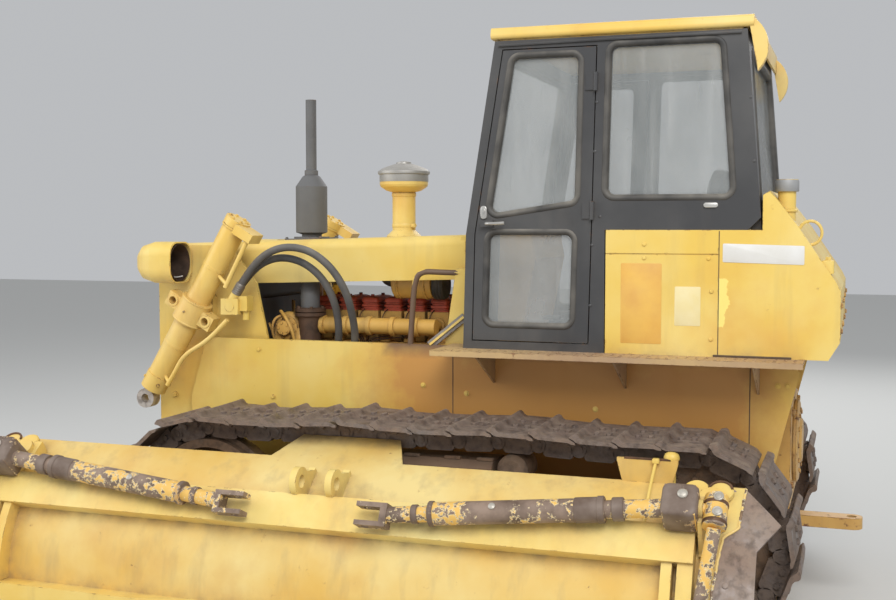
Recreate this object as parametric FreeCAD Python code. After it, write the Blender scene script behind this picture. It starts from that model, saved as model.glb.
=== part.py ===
"""Crawler bulldozer parked with its blade taken off.

The angle blade stands on the ground along the left track, back side out, and leans on it.
Frame while building: X forward, Y to the machine's left, Z up, ground at Z = 0,
X = 0 near the middle of the track's ground run, Y = 0 on the centre plane.
At the end everything moves so that the origin is under the middle of its box.
"""
import FreeCAD, Part
import math
import os

V = FreeCAD.Vector

# Clearances
RUN_FIT = 0.3
SHEET_GAP = 1.0

# Undercarriage
TRACK_GAUGE = 1880.0
SHOE_WIDTH = 508.0
SHOE_PITCH_AIM = 203.0
SHOE_PLATE = 18.0
GROUSER_HEIGHT = 28.0
GROUSER_ROOT = 30.0
GROUSER_TIP = 18.0
LINK_TOP = 56.0
LINK_NECK = 36.0
LINK_RAIL = 52.0
LINK_THICK = 46.0
LINK_INNER_GAP = 92.0
SPROCKET_X = -1165.0
SPROCKET_PITCH_R = 404.0
SPROCKET_RAISE = 18.0
SPROCKET_THICK = 72.0
TOOTH_TIP = 16.0
TOOTH_ROOT = 34.0
SPROCKET_HUB_IN = 185.0
SPROCKET_HUB_OUT = 128.0
IDLER_X = 1400.0
IDLER_PITCH_R = 410.0
IDLER_FLANGE = 22.0
IDLER_RIM = 45.0
IDLER_HUB_R = 95.0
IDLER_HUB_HALF = 110.0
IDLER_WEB_HALF = 20.0
IDLER_AXLE_R = 45.0
ROLLER_COUNT = 6
ROLLER_R = 100.0
ROLLER_FLANGE = 18.0
ROLLER_SHAFT_R = 48.0
ROLLER_FRONT_X = 970.0
ROLLER_REAR_X = -640.0
CARRIER_R = 78.0
CARRIER_X = (640.0, -290.0)
CARRIER_PITCH_Z = 945.0
CARRIER_DROP = 14.0
CARRIER_ARM_R = 34.0
TOP_SAG = 16.0
TRACK_BEAM_WIDTH = 300.0
TRACK_BEAM_HEIGHT = 205.0
ROLLER_HEADROOM = 25.0
GUARD_PLATE = 14.0
GUARD_PLATE_GAP = 24.0
GUARD_PLATE_BOTTOM = 205.0
SPRING_BOX_HALF = 125.0
SPRING_BOX_ENDS = 20.0
SPRING_BOX_ROOM = 36.0
PUSH_X = -330.0
PUSH_Z = 480.0
PUSH_R = 45.0
PUSH_LENGTH = 70.0
PUSH_PAD_R = 95.0
TRUNNION_PAD = 30.0

# Hull and body sides
HULL_HALF = 500.0
HULL_BOTTOM = 340.0
CASE_TOP = 1250.0
CASE_REAR_X = -1430.0
CASE_FRONT_X = -150.0
CASE_ROUND = 70.0
RAIL_TOP = 760.0
RAIL_WIDTH = 110.0
BELLY_PLATE = 24.0
BELLY_RISE_X = 1690.0
NOSE_X = 1960.0
NOSE_LIFT = 220.0
FINAL_DRIVE_R = 262.0
CROSS_SHAFT_X = -460.0
CROSS_SHAFT_Z = 470.0
CROSS_SHAFT_R = 75.0
CROSS_BAR_X = 930.0
CROSS_BAR_Z = 475.0
CROSS_BAR_SIZE = 135.0
TAIL_X = -1560.0
TAIL_HALF = 330.0
TAIL_BOTTOM = 420.0
TAIL_TOP = 1220.0
TAIL_BOLTS_Y = 520.0
TAIL_BOLTS_Z = 380.0
TAIL_BOLTS_MID_Z = 850.0
TAIL_BOLT_R = 12.0
TAIL_BOLT_DEPTH = 45.0
SIDE_Y = 565.0
SIDE_WALL = 12.0
SIDE_BOTTOM = 640.0
SIDE_FRONT_X = 1690.0
SIDE_REAR_X = -1610.0
SIDE_RETURN = 32.0

# Nose, hood and engine
GUARD_FRONT_X = 2030.0
GUARD_HALF = 500.0
GUARD_WALL = 16.0
GUARD_FRAME = 50.0
GUARD_BOTTOM = 830.0
GUARD_WINDOW_SIDE = 90.0
GUARD_WINDOW_LOW = 100.0
GUARD_WINDOW_HIGH = 170.0
GUARD_REAR_TOP_X = 1386.0
GUARD_REAR_X = 1317.0
HOOD_REAR_X = 155.0
HOOD_TOP_REAR = 1946.0
HOOD_TOP_FRONT = 1890.0
HOOD_BAND = 243.0
HOOD_HALF = 430.0
HOOD_WALL = 6.0
HOOD_CORNER_R = 55.0
ENGINE_FRONT_X = 1330.0
ENGINE_REAR_X = 330.0
ENGINE_HALF = 255.0
ENGINE_BOTTOM = 780.0
OIL_PAN_DEPTH = 130.0
ENGINE_BLOCK_TOP = 1330.0
ENGINE_HEAD_TOP = 1500.0
ENGINE_HEAD_HALF = 170.0
ENGINE_FOOT = 100.0
CYLINDER_COUNT = 6
GEAR_CASE = 135.0
TURBO_R = 80.0
MANIFOLD_R = 46.0
MANIFOLD_Y = 315.0
MANIFOLD_Z = 1425.0
PORT_R = 30.0
DOWNPIPE_R = 66.0
FLYWHEEL_R = 230.0
FLYWHEEL_Z = 1020.0
PUMP_R = 62.0
FAN_R = 330.0
FAN_Z = 1210.0
FAN_BLADES = 6
FAN_GAP = 72.0
RADIATOR_X = 1490.0
RADIATOR_DEPTH = 120.0
RADIATOR_HALF = 420.0
RADIATOR_CORE_TOP = 1560.0
RADIATOR_TANK = 140.0
EXHAUST_X = 1275.0
MUFFLER_R = 95.0
MUFFLER_TOP = 2290.0
STACK_R = 32.0
STACK_TOP = 2750.0
CLEANER_X = 675.0
CLEANER_BOWL_R = 142.0
CLEANER_BOWL_BOTTOM = 2200.0
CLEANER_STEM_R = 68.0
LAMP_X = 1925.0
LAMP_Y = 630.0
LAMP_Z = 1785.0
LAMP_HALF = 118.0
LAMP_CORNER_R = 78.0
LAMP_DEPTH = 250.0
LAMP_WALL = 8.0

# Deck, boxes and tank
DECK_TOP = 1366.0
DECK_PLATE = 12.0
DECK_FLANGE = 28.0
DECK_HALF = 940.0
DECK_FRONT_X = 175.0
DECK_REAR_X = -1640.0
DECK_GUSSET_X = (-1420.0, -760.0, -60.0)
DECK_GUSSET_HEIGHT = 190.0
COWL_GAP = 6.0
COWL_DEPTH = 184.0
COWL_POST_Y = 510.0
GRAB_R = 13.0
BOX_FRONT_X = -690.0
BOX_REAR_X = -1235.0
BOX_TOP = 1975.0
BOX_OUTER = 778.0
BOX_INNER = 480.0
BOX_LID = 114.0
BOX_SEAM = 6.0
TANK_FRONT_TOP_X = -1438.0
TANK_REAR_X = -1795.0
TANK_TOP = 2160.0
TANK_SHOULDER = 470.0
TANK_FOOT = 84.0
TANK_CURVE = ((0.0, 0.0), (0.40, 0.36), (0.71, 0.68), (0.935, 0.91), (1.0, 1.0))
FILLER_X = -1540.0
FILLER_R = 42.0
FILLER_TOP = 2215.0

# Cab
CAB_OUTER = 775.0
CAB_WALL = 50.0
CAB_HEIGHT = 1554.0
CAB_SILL = 40.0
CAB_KINK_RISE = 584.0
CAB_FRONT_BOTTOM_X = 50.0
CAB_FRONT_KINK_X = 35.0
CAB_FRONT_TOP_X = -118.0
CAB_REAR_TOP_X = -1355.0
CAB_REAR_LOW_X = -1430.0
PILLAR = 45.0
HEADER = 42.0
HINGE_TOP_X = -642.0
HINGE_BOTTOM_X = -606.0
REAR_POST = 78.0
DOOR_GAP = 6.0
HINGE_OUT = 14.0
HINGE_R = 11.0
HINGE_HALF = 45.0
HINGE_DROP = (220.0, 850.0)
HANDLE_OUT = 34.0
HANDLE_RISE = 640.0
GLASS = 6.0
WINDOW_ROUND = 46.0
WINDOW_HEAD = 42.0
DOOR_WINDOW_HEAD = 78.0
REAR_WINDOW_FRONT = 58.0
REAR_WINDOW_REAR = 116.0
SIDE_WINDOW_SILL = 768.0
DOOR_WINDOW_FRONT = 100.0
DOOR_WINDOW_REAR = 80.0
DOOR_WINDOW_SILL = 674.0
DOOR_WINDOW_SLANT = 70.0
LOW_WINDOW_SILL = 126.0
LOW_WINDOW_TOP = 596.0
SCREEN_SIDE = 105.0
SCREEN_SILL = 675.0
LOW_LIGHT_SIDE = 95.0
LOW_LIGHT_WIDTH = 190.0
ROOF_GAP = 8.0
ROOF_THICK = 66.0
ROOF_OVERHANG = 25.0
ROOF_FRONT_X = -100.0
ROOF_REAR_X = -1385.0
CRESCENT_WIDTH = 62.0
CRESCENT_DROP = 265.0
CRESCENT_THICK = 34.0

# Seat and controls
SEAT_X = -900.0
SEAT_LENGTH = 500.0
SEAT_HALF = 250.0
SEAT_RISE = 340.0
CUSHION = 120.0
SEAT_BACK_HEIGHT = 510.0
DASH_HALF = 330.0
DASH_TOP_RISE = 610.0
DASH_DEPTH = 190.0
LEVER_Y = (-110.0, 0.0, 110.0)
LEVER_R = 11.0

# Lift cylinders
LIFT_Y = 645.0
LIFT_TOP_X = 1415.0
LIFT_TOP_Z = 2030.0
LIFT_LEAN = 30.4
LIFT_SLEEVE_R = 69.0
LIFT_SLEEVE_LENGTH = 1035.0
LIFT_GLAND_R = 74.0
LIFT_GLAND_LENGTH = 95.0
LIFT_TRUNNION_AT = 600.0
LIFT_TRUNNION_R = 34.0
LIFT_COLLAR_R = 90.0
LIFT_COLLAR_LENGTH = 130.0
LIFT_COLLAR_GAP = 6.0
LIFT_BOSS_OUT = 118.0
LIFT_BOSS_HALF = 42.0
LIFT_BOSS_HOLE_R = 22.0
LIFT_ROD_R = 34.0
LIFT_ROD_FIT = 0.05
LIFT_EYE_AT = 1195.0
LIFT_EYE_R = 56.0
LIFT_EYE_BORE_R = 25.0
LIFT_EYE_WIDTH = 70.0
LIFT_BORE_R = 56.0
LIFT_STROKE = 760.0
PIPE_R = 13.0
PIPE_ASIDE = 78.0
LIFT_PIPES = (((30.0, -138.0), (190.0, -144.0), (352.0, -150.0)),
              ((500.0, -252.0), (664.0, -205.0), (826.0, -114.0), (955.0, -112.0), (1030.0, -108.0)))

# Hoses, by hand along their real route: X, Y, Z
HOSE_R = 21.0
HOSE_ROUTES = (
    ("outer", ((1424, 672, 1615), (1325, 674, 1775), (1165, 676, 1880), (985, 672, 1872),
               (845, 664, 1775), (765, 642, 1640), (750, 582, 1490), (772, 495, 1350),
               (800, 490, 1215))),
    ("inner", ((1456, 622, 1605), (1360, 620, 1742), (1215, 616, 1822), (1060, 612, 1808),
               (935, 600, 1722), (868, 575, 1592), (858, 533, 1460), (878, 494, 1330),
               (905, 470, 1205))),
)
UNION_R = 27.0
UNION_LENGTH = 60.0
HOSE_PIPE_R = 18.0
BLOCK_X = (1398.0, 1506.0)
BLOCK_Y = (590.0, 700.0)
BLOCK_Z = (1498.0, 1588.0)

# Blade, standing on the ground beside the left track
BLADE_LENGTH = 3960.0
BLADE_MID_X = 560.0
BLADE_R = 750.0
BLADE_CHORD = 910.0
BLADE_PLATE = 16.0
REST_FIT = 0.4
EDGE_HEIGHT = 150.0
EDGE_THICK = 22.0
HUMP_BASE_FRONT = 372.0
HUMP_BASE_REAR = 345.0
HUMP_TOP_HALF = 268.0
HUMP_RISE = 190.0
RIB_DEPTH = 95.0
RIB_HEIGHT = 150.0
TOP_RIB_ANGLE = 4.5
LOW_RIB_ANGLE = -34.0
END_RIB_IN = 180.0
END_RIB_WIDTH = 66.0
SECOND_RIB_IN = 268.0
SECOND_RIB_WIDTH = 46.0
END_PLATE = 20.0
END_PLATE_IN = 110.0
END_POINT_OUT = 163.0
END_POINT_DROP = 172.0
END_POINT_FOOT = 300.0
END_FOOT_OUT = 70.0
EAR_R = 56.0
EAR_IN = (128.0, 234.0)
EAR_ANGLE = 25.5
EAR_OUT = 100.0
PIVOT_R = 26.0
PIVOT_PLATE = 20.0
KEEPER_IN = 300.0
KEEPER_LENGTH = 280.0
KEEPER_HEIGHT = 120.0
KEEPER_PLATE = 12.0
CLEVIS_EAR = 34.0
CLEVIS_GAP = 150.0
CLEVIS_R = 70.0
CLEVIS_BORE_R = 32.0
CLEVIS_REACH = 100.0
CLEVIS_ANGLE = 20.0
CLEVIS_HALF_SPAN = 10.0
BRACE_R = 52.0
BRACE_NECK_R = 37.0
BRACE_LENGTH = 1450.0
BRACE_TUBE_START = 320.0
BRACE_TUBE_END = 1085.0
BRACE_IN = 240.0
BRACE_OUT = 176.0
BRACE_TIP_OUT = 168.0
BRACE_ANGLE = 18.0
BRACE_TIP_ANGLE = 8.2
BLOCK_SIZE = 140.0
KNUCKLE_R = 50.0
STRUT_R = 30.0
STRUT_IN = 95.0
STRUT_FOOT_IN = 145.0
STRUT_FOOT_ANGLE = -8.0
STRUT_FOOT_OUT = 75.0

# Drawbar
DRAWBAR_PIVOT_X = -1100.0
DRAWBAR_Z = 430.0
DRAWBAR_LENGTH = 760.0
DRAWBAR_WIDTH = 110.0
DRAWBAR_THICK = 60.0
DRAWBAR_ROOM = 15.0
DRAWBAR_PIN_R = 28.0
DRAWBAR_PIN_FIT = 0.05
DRAWBAR_EYE_R = 25.0


def box(x0, x1, y0, y1, z0, z1):
    """A block between two corners."""
    return Part.makeBox(x1 - x0, y1 - y0, z1 - z0, V(x0, y0, z0))


def rod(start, end, radius):
    """A round bar between two points."""
    a, b = V(*start), V(*end)
    return Part.makeCylinder(radius, (b - a).Length, a, b - a)


def flat_bar(start, end, width, thick):
    """A flat bar between two points."""
    a, b = V(*start), V(*end)
    bar = Part.makeBox(thick, width, (b - a).Length, V(-thick / 2.0, -width / 2.0, 0))
    bar.Placement = FreeCAD.Placement(a, FreeCAD.Rotation(V(0, 0, 1), b - a))
    return bar


def plane_face(points):
    return Part.Face(Part.makePolygon([V(*p) for p in points] + [V(*points[0])]))


def prism_y(outline, y0, y1):
    """An outline of (x, z) points, pulled along Y."""
    return plane_face([(x, y0, z) for x, z in outline]).extrude(V(0, y1 - y0, 0))


def prism_x(outline, x0, x1):
    """An outline of (y, z) points, pulled along X."""
    return plane_face([(x0, y, z) for y, z in outline]).extrude(V(x1 - x0, 0, 0))


def rounded_wire(points, radius):
    """A closed outline through 3-D points in one plane, each corner an arc of the radius."""
    count = len(points)
    pts = [V(*p) for p in points]
    starts, ends, middles = [], [], []
    for i in range(count):
        corner = pts[i]
        back = (pts[i - 1] - corner).normalize()
        ahead = (pts[(i + 1) % count] - corner).normalize()
        half = back.getAngle(ahead) / 2.0
        reach = radius / math.tan(half)
        inward = (back + ahead).normalize()
        starts.append(corner + back * reach)
        ends.append(corner + ahead * reach)
        middles.append(corner + inward * (radius / math.sin(half) - radius))
    edges = []
    for i in range(count):
        edges.append(Part.Arc(starts[i], middles[i], ends[i]).toShape())
        edges.append(Part.LineSegment(ends[i], starts[(i + 1) % count]).toShape())
    return Part.Wire(edges)


def rounded_prism_y(outline, radius, y0, y1):
    wire = rounded_wire([(x, y0, z) for x, z in outline], radius)
    return Part.Face(wire).extrude(V(0, y1 - y0, 0))


def rounded_prism_x(outline, radius, x0, x1):
    wire = rounded_wire([(x0, y, z) for y, z in outline], radius)
    return Part.Face(wire).extrude(V(x1 - x0, 0, 0))


def turned(profile, centre, axis):
    """A profile of (radius, height) points turned about an axis through a centre."""
    face = plane_face([(r, 0, h) for r, h in profile])
    solid = face.revolve(V(0, 0, 0), V(0, 0, 1), 360)
    solid.Placement = FreeCAD.Placement(V(*centre), FreeCAD.Rotation(V(0, 0, 1), V(*axis)))
    return solid


def joined(shapes):
    """Shapes fused into one."""
    result = shapes[0].fuse(shapes[1:]) if len(shapes) > 1 else shapes[0]
    return result.removeSplitter()


def mirrored(shape):
    """The same piece on the machine's other side."""
    return shape.mirror(V(0, 0, 0), V(0, 1, 0))


def lerp(a, b, t):
    return a + (b - a) * t


def span(a, b):
    """Two values, the lower one first."""
    return (a, b) if a < b else (b, a)


TRACK_Y = TRACK_GAUGE / 2.0
PITCH_BOTTOM_Z = GROUSER_HEIGHT + SHOE_PLATE + LINK_TOP
IDLER_Z = PITCH_BOTTOM_Z + IDLER_PITCH_R
SPROCKET_Z = PITCH_BOTTOM_Z + SPROCKET_PITCH_R + SPROCKET_RAISE
LINKS_HALF = LINK_INNER_GAP / 2.0 + LINK_THICK
ROLLER_Z = PITCH_BOTTOM_Z + LINK_RAIL + RUN_FIT + ROLLER_R
CARRIER_Z = CARRIER_PITCH_Z - LINK_RAIL - CARRIER_DROP - CARRIER_R
BEAM_BOTTOM = ROLLER_Z + ROLLER_R + ROLLER_FLANGE + ROLLER_HEADROOM
BEAM_TOP = BEAM_BOTTOM + TRACK_BEAM_HEIGHT
GUARD_PLATE_IN = LINKS_HALF + GUARD_PLATE_GAP
SIDE_TOP = DECK_TOP - DECK_PLATE
CAB_TOP = DECK_TOP + CAB_HEIGHT
CAB_KINK_Z = DECK_TOP + CAB_KINK_RISE
ROOF_TOP = CAB_TOP + ROOF_THICK


def track_path():
    """Dense points of the chain's pitch line in (x, z).

    Along the ground, up round the sprocket at the rear, forward over the carrier rollers with
    a little sag, and down round the idler.
    """
    points = []
    lift_off = ROLLER_REAR_X - 0.75 * SHOE_PITCH_AIM
    rise = math.asin(SPROCKET_RAISE / (lift_off - SPROCKET_X))
    steps = 60
    for i in range(steps):
        angle = math.radians(90) + math.radians(180) * (1.0 - i / steps) - math.radians(180)
        points.append((IDLER_X + IDLER_PITCH_R * math.cos(angle),
                       IDLER_Z + IDLER_PITCH_R * math.sin(angle)))
    points.append((IDLER_X, PITCH_BOTTOM_Z))
    points.append((lift_off, PITCH_BOTTOM_Z))
    first = math.radians(-90) + rise
    for i in range(steps + 1):
        angle = lerp(first, math.radians(-270), i / steps)
        points.append((SPROCKET_X + SPROCKET_PITCH_R * math.cos(angle),
                       SPROCKET_Z + SPROCKET_PITCH_R * math.sin(angle)))
    supports = [(SPROCKET_X, SPROCKET_Z + SPROCKET_PITCH_R)]
    supports += [(x, CARRIER_PITCH_Z) for x in reversed(CARRIER_X)]
    supports += [(IDLER_X, IDLER_Z + IDLER_PITCH_R)]
    for (x0, z0), (x1, z1) in zip(supports, supports[1:]):
        for i in range(1, 13):
            t = i / 12.0
            points.append((lerp(x0, x1, t), lerp(z0, z1, t) - TOP_SAG * 4.0 * t * (1.0 - t)))
    return points


def chain_joints():
    """The pin centres, one pitch apart round the loop."""
    path = track_path()
    path.append(path[0])
    lengths = [0.0]
    for a, b in zip(path, path[1:]):
        lengths.append(lengths[-1] + math.dist(a, b))
    count = round(lengths[-1] / SHOE_PITCH_AIM)
    joints = []
    at = 0
    for i in range(count):
        target = lengths[-1] * i / count
        while lengths[at + 1] < target:
            at += 1
        t = (target - lengths[at]) / (lengths[at + 1] - lengths[at])
        joints.append((lerp(path[at][0], path[at + 1][0], t), lerp(path[at][1], path[at + 1][1], t)))
    return joints


JOINTS = chain_joints()


def link_frame(i):
    """Start, direction, outward normal and length of link i."""
    ax, az = JOINTS[i]
    bx, bz = JOINTS[(i + 1) % len(JOINTS)]
    length = math.hypot(bx - ax, bz - az)
    ux, uz = (bx - ax) / length, (bz - az) / length
    return ax, az, ux, uz, -uz, ux, length


def loop_outline(stations):
    """A closed outline round the track: stations are (share of the pitch, height outward)."""
    outline = []
    for i in range(len(JOINTS)):
        ax, az, ux, uz, nx, nz, length = link_frame(i)
        for share, height in stations:
            along = share * length
            outline.append((ax + ux * along + nx * height, az + uz * along + nz * height))
    return outline


def ring(outer, inner, y0, y1):
    """A closed band between two outlines, pulled along Y."""
    return prism_y(outer, y0, y1).cut(prism_y(inner, y0 - 5.0, y1 + 5.0))


def make_track():
    """One closed loop: two rows of links with the grouser shoes lapped round them."""
    plate = LINK_TOP + SHOE_PLATE
    tip = plate + GROUSER_HEIGHT
    root = GROUSER_ROOT / SHOE_PITCH_AIM
    lean = (GROUSER_ROOT - GROUSER_TIP) / 2.0 / SHOE_PITCH_AIM
    shoe = ((0.05, plate), (0.90 - root, plate), (0.90 - root + lean, tip), (0.90 - lean, tip),
            (0.90, plate - 2.0), (0.97, LINK_TOP + 2.0))
    belt = ring(loop_outline(shoe), loop_outline(((0.0, LINK_TOP - 8.0),)),
                TRACK_Y - SHOE_WIDTH / 2.0, TRACK_Y + SHOE_WIDTH / 2.0)
    rail = ((0.0, -LINK_NECK), (0.16, -LINK_RAIL), (0.84, -LINK_RAIL))
    solids = [belt]
    for side in (-1.0, 1.0):
        near, far = span(TRACK_Y + side * LINK_INNER_GAP / 2.0, TRACK_Y + side * LINKS_HALF)
        solids.append(ring(loop_outline(((0.0, LINK_TOP - 4.0),)), loop_outline(rail), near, far))
    return joined(solids)


def wheel_on_y(profile, x, z):
    """A wheel turned about Y from (radius, offset from the track's middle) points."""
    return turned(profile, (x, TRACK_Y, z), (0, 1, 0))


def make_idler():
    """Idler wheel: a rim under the rails with a guide flange between them, web and hub."""
    half_angle = math.asin(SHOE_PITCH_AIM / 2.0 / IDLER_PITCH_R)
    tread = IDLER_PITCH_R * math.cos(half_angle) - LINK_RAIL - RUN_FIT
    flange = LINK_INNER_GAP / 2.0 - 6.0
    rim = tread - IDLER_RIM
    web, hub, hub_r = IDLER_WEB_HALF, IDLER_HUB_HALF, IDLER_HUB_R
    profile = ((0, -hub), (hub_r, -hub), (hub_r, -web), (rim, -web - 8.0), (rim, -LINKS_HALF),
               (tread, -LINKS_HALF), (tread, -flange), (tread + IDLER_FLANGE, -flange + 5.0),
               (tread + IDLER_FLANGE, flange - 5.0), (tread, flange), (tread, LINKS_HALF),
               (rim, LINKS_HALF), (rim, web + 8.0), (hub_r, web), (hub_r, hub), (0, hub))
    return wheel_on_y(profile, IDLER_X, IDLER_Z)


def make_sprocket():
    """Toothed ring with a bolted hub cap; the teeth stand between the two rows of links."""
    teeth = round(2.0 * math.pi * SPROCKET_PITCH_R / (SHOE_PITCH_AIM / 2.0))
    root = SPROCKET_PITCH_R - TOOTH_ROOT
    tip = SPROCKET_PITCH_R + TOOTH_TIP
    outline = []
    for i in range(teeth):
        for share, radius in ((0.0, root), (0.30, root), (0.44, tip), (0.86, tip)):
            angle = math.radians(90.0) + 2.0 * math.pi * (i + share - 0.15) / teeth
            outline.append((SPROCKET_X + radius * math.cos(angle),
                            SPROCKET_Z + radius * math.sin(angle)))
    half = SPROCKET_THICK / 2.0
    disc = prism_y(outline, TRACK_Y - half, TRACK_Y + half)
    wide = SPROCKET_PITCH_R * 0.56
    hub = wheel_on_y(((0, -SPROCKET_HUB_IN), (wide - 20.0, -SPROCKET_HUB_IN), (wide, -half), (wide, half),
                      (wide * 0.75, half + 52.0), (wide * 0.42, SPROCKET_HUB_OUT), (0, SPROCKET_HUB_OUT)),
                     SPROCKET_X, SPROCKET_Z)
    return joined([disc, hub])


def make_rollers():
    """Ground rollers and the two carrier rollers with their arms."""
    solids = []
    width = LINKS_HALF
    inner = LINK_INNER_GAP / 2.0 - 4.0
    shaft_end = GUARD_PLATE_IN - RUN_FIT
    rim = ROLLER_R + ROLLER_FLANGE
    for i in range(ROLLER_COUNT):
        x = lerp(ROLLER_FRONT_X, ROLLER_REAR_X, i / (ROLLER_COUNT - 1))
        profile = ((0, -shaft_end), (ROLLER_SHAFT_R, -shaft_end), (ROLLER_SHAFT_R, -width),
                   (ROLLER_R, -width), (ROLLER_R, -inner), (rim, -inner + 4.0), (rim, -14.0),
                   (ROLLER_R * 0.62, -10.0), (ROLLER_R * 0.62, 10.0), (rim, 14.0), (rim, inner - 4.0),
                   (ROLLER_R, inner), (ROLLER_R, width), (ROLLER_SHAFT_R, width),
                   (ROLLER_SHAFT_R, shaft_end), (0, shaft_end))
        solids.append(wheel_on_y(profile, x, ROLLER_Z))
    hub = CARRIER_R * 0.66
    for x in CARRIER_X:
        profile = ((0, -width - 30.0), (hub - 12.0, -width - 30.0), (hub, -width), (CARRIER_R, -width),
                   (CARRIER_R, width), (hub, width + 26.0), (0, width + 26.0))
        wheel = wheel_on_y(profile, x, CARRIER_Z)
        arm = rod((x, TRACK_Y - width - 70.0, CARRIER_Z), (x, TRACK_Y - width - 10.0, CARRIER_Z),
                  CARRIER_ARM_R)
        foot = box(x - CARRIER_ARM_R - 11.0, x + CARRIER_ARM_R + 11.0, TRACK_Y - width - 58.0,
                   TRACK_Y - width - 36.0, BEAM_TOP, CARRIER_Z + CARRIER_ARM_R + 6.0)
        solids.append(joined([wheel, arm, foot]))
    return Part.makeCompound(solids)


def make_track_frame():
    """Roller frame: box beam, roller guards, the idler's fork, the spring's housing and the trunnion."""
    half = TRACK_BEAM_WIDTH / 2.0
    front, rear = ROLLER_FRONT_X + 60.0, ROLLER_REAR_X - 100.0
    beam = prism_y(((rear, BEAM_BOTTOM), (front, BEAM_BOTTOM), (front, BEAM_TOP - 40.0),
                    (front - 120.0, BEAM_TOP), (rear + 100.0, BEAM_TOP), (rear, BEAM_TOP - 60.0)),
                   TRACK_Y - half, TRACK_Y + half)
    pieces = [beam]
    for side in (-1.0, 1.0):
        near, far = span(TRACK_Y + side * GUARD_PLATE_IN, TRACK_Y + side * (GUARD_PLATE_IN + GUARD_PLATE))
        pieces.append(prism_y(((rear - 20.0, GUARD_PLATE_BOTTOM), (front + 50.0, GUARD_PLATE_BOTTOM),
                               (front, BEAM_BOTTOM + 35.0), (rear - 20.0, BEAM_BOTTOM + 35.0)), near, far))
        pieces.append(box(front - 80.0, IDLER_X + 70.0, near - 4.0, far + 4.0, IDLER_Z - 62.0,
                          IDLER_Z + 62.0))
        axle_in, axle_out = span(TRACK_Y + side * (IDLER_HUB_HALF + RUN_FIT),
                                 TRACK_Y + side * (GUARD_PLATE_IN + GUARD_PLATE))
        pieces.append(rod((IDLER_X, axle_in, IDLER_Z), (IDLER_X, axle_out, IDLER_Z), IDLER_AXLE_R))
    out = TRACK_Y + half
    pieces.append(rod((PUSH_X, out - 5.0, PUSH_Z), (PUSH_X, out + TRUNNION_PAD, PUSH_Z), PUSH_PAD_R))
    pieces.append(rod((PUSH_X, out, PUSH_Z), (PUSH_X, out + TRUNNION_PAD + PUSH_LENGTH, PUSH_Z), PUSH_R))
    box_top = CARRIER_PITCH_Z - LINK_RAIL - TOP_SAG - SPRING_BOX_ROOM
    edge = 36.0
    wide = SPRING_BOX_HALF
    housing = prism_x(((TRACK_Y - wide, BEAM_TOP - 10.0), (TRACK_Y + wide, BEAM_TOP - 10.0),
                       (TRACK_Y + wide, box_top - edge), (TRACK_Y + wide - edge, box_top),
                       (TRACK_Y - wide + edge, box_top), (TRACK_Y - wide, box_top - edge)),
                      min(CARRIER_X) + CARRIER_R + SPRING_BOX_ENDS, max(CARRIER_X) - CARRIER_R - SPRING_BOX_ENDS)
    pieces.append(housing)
    return joined(pieces)


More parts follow.
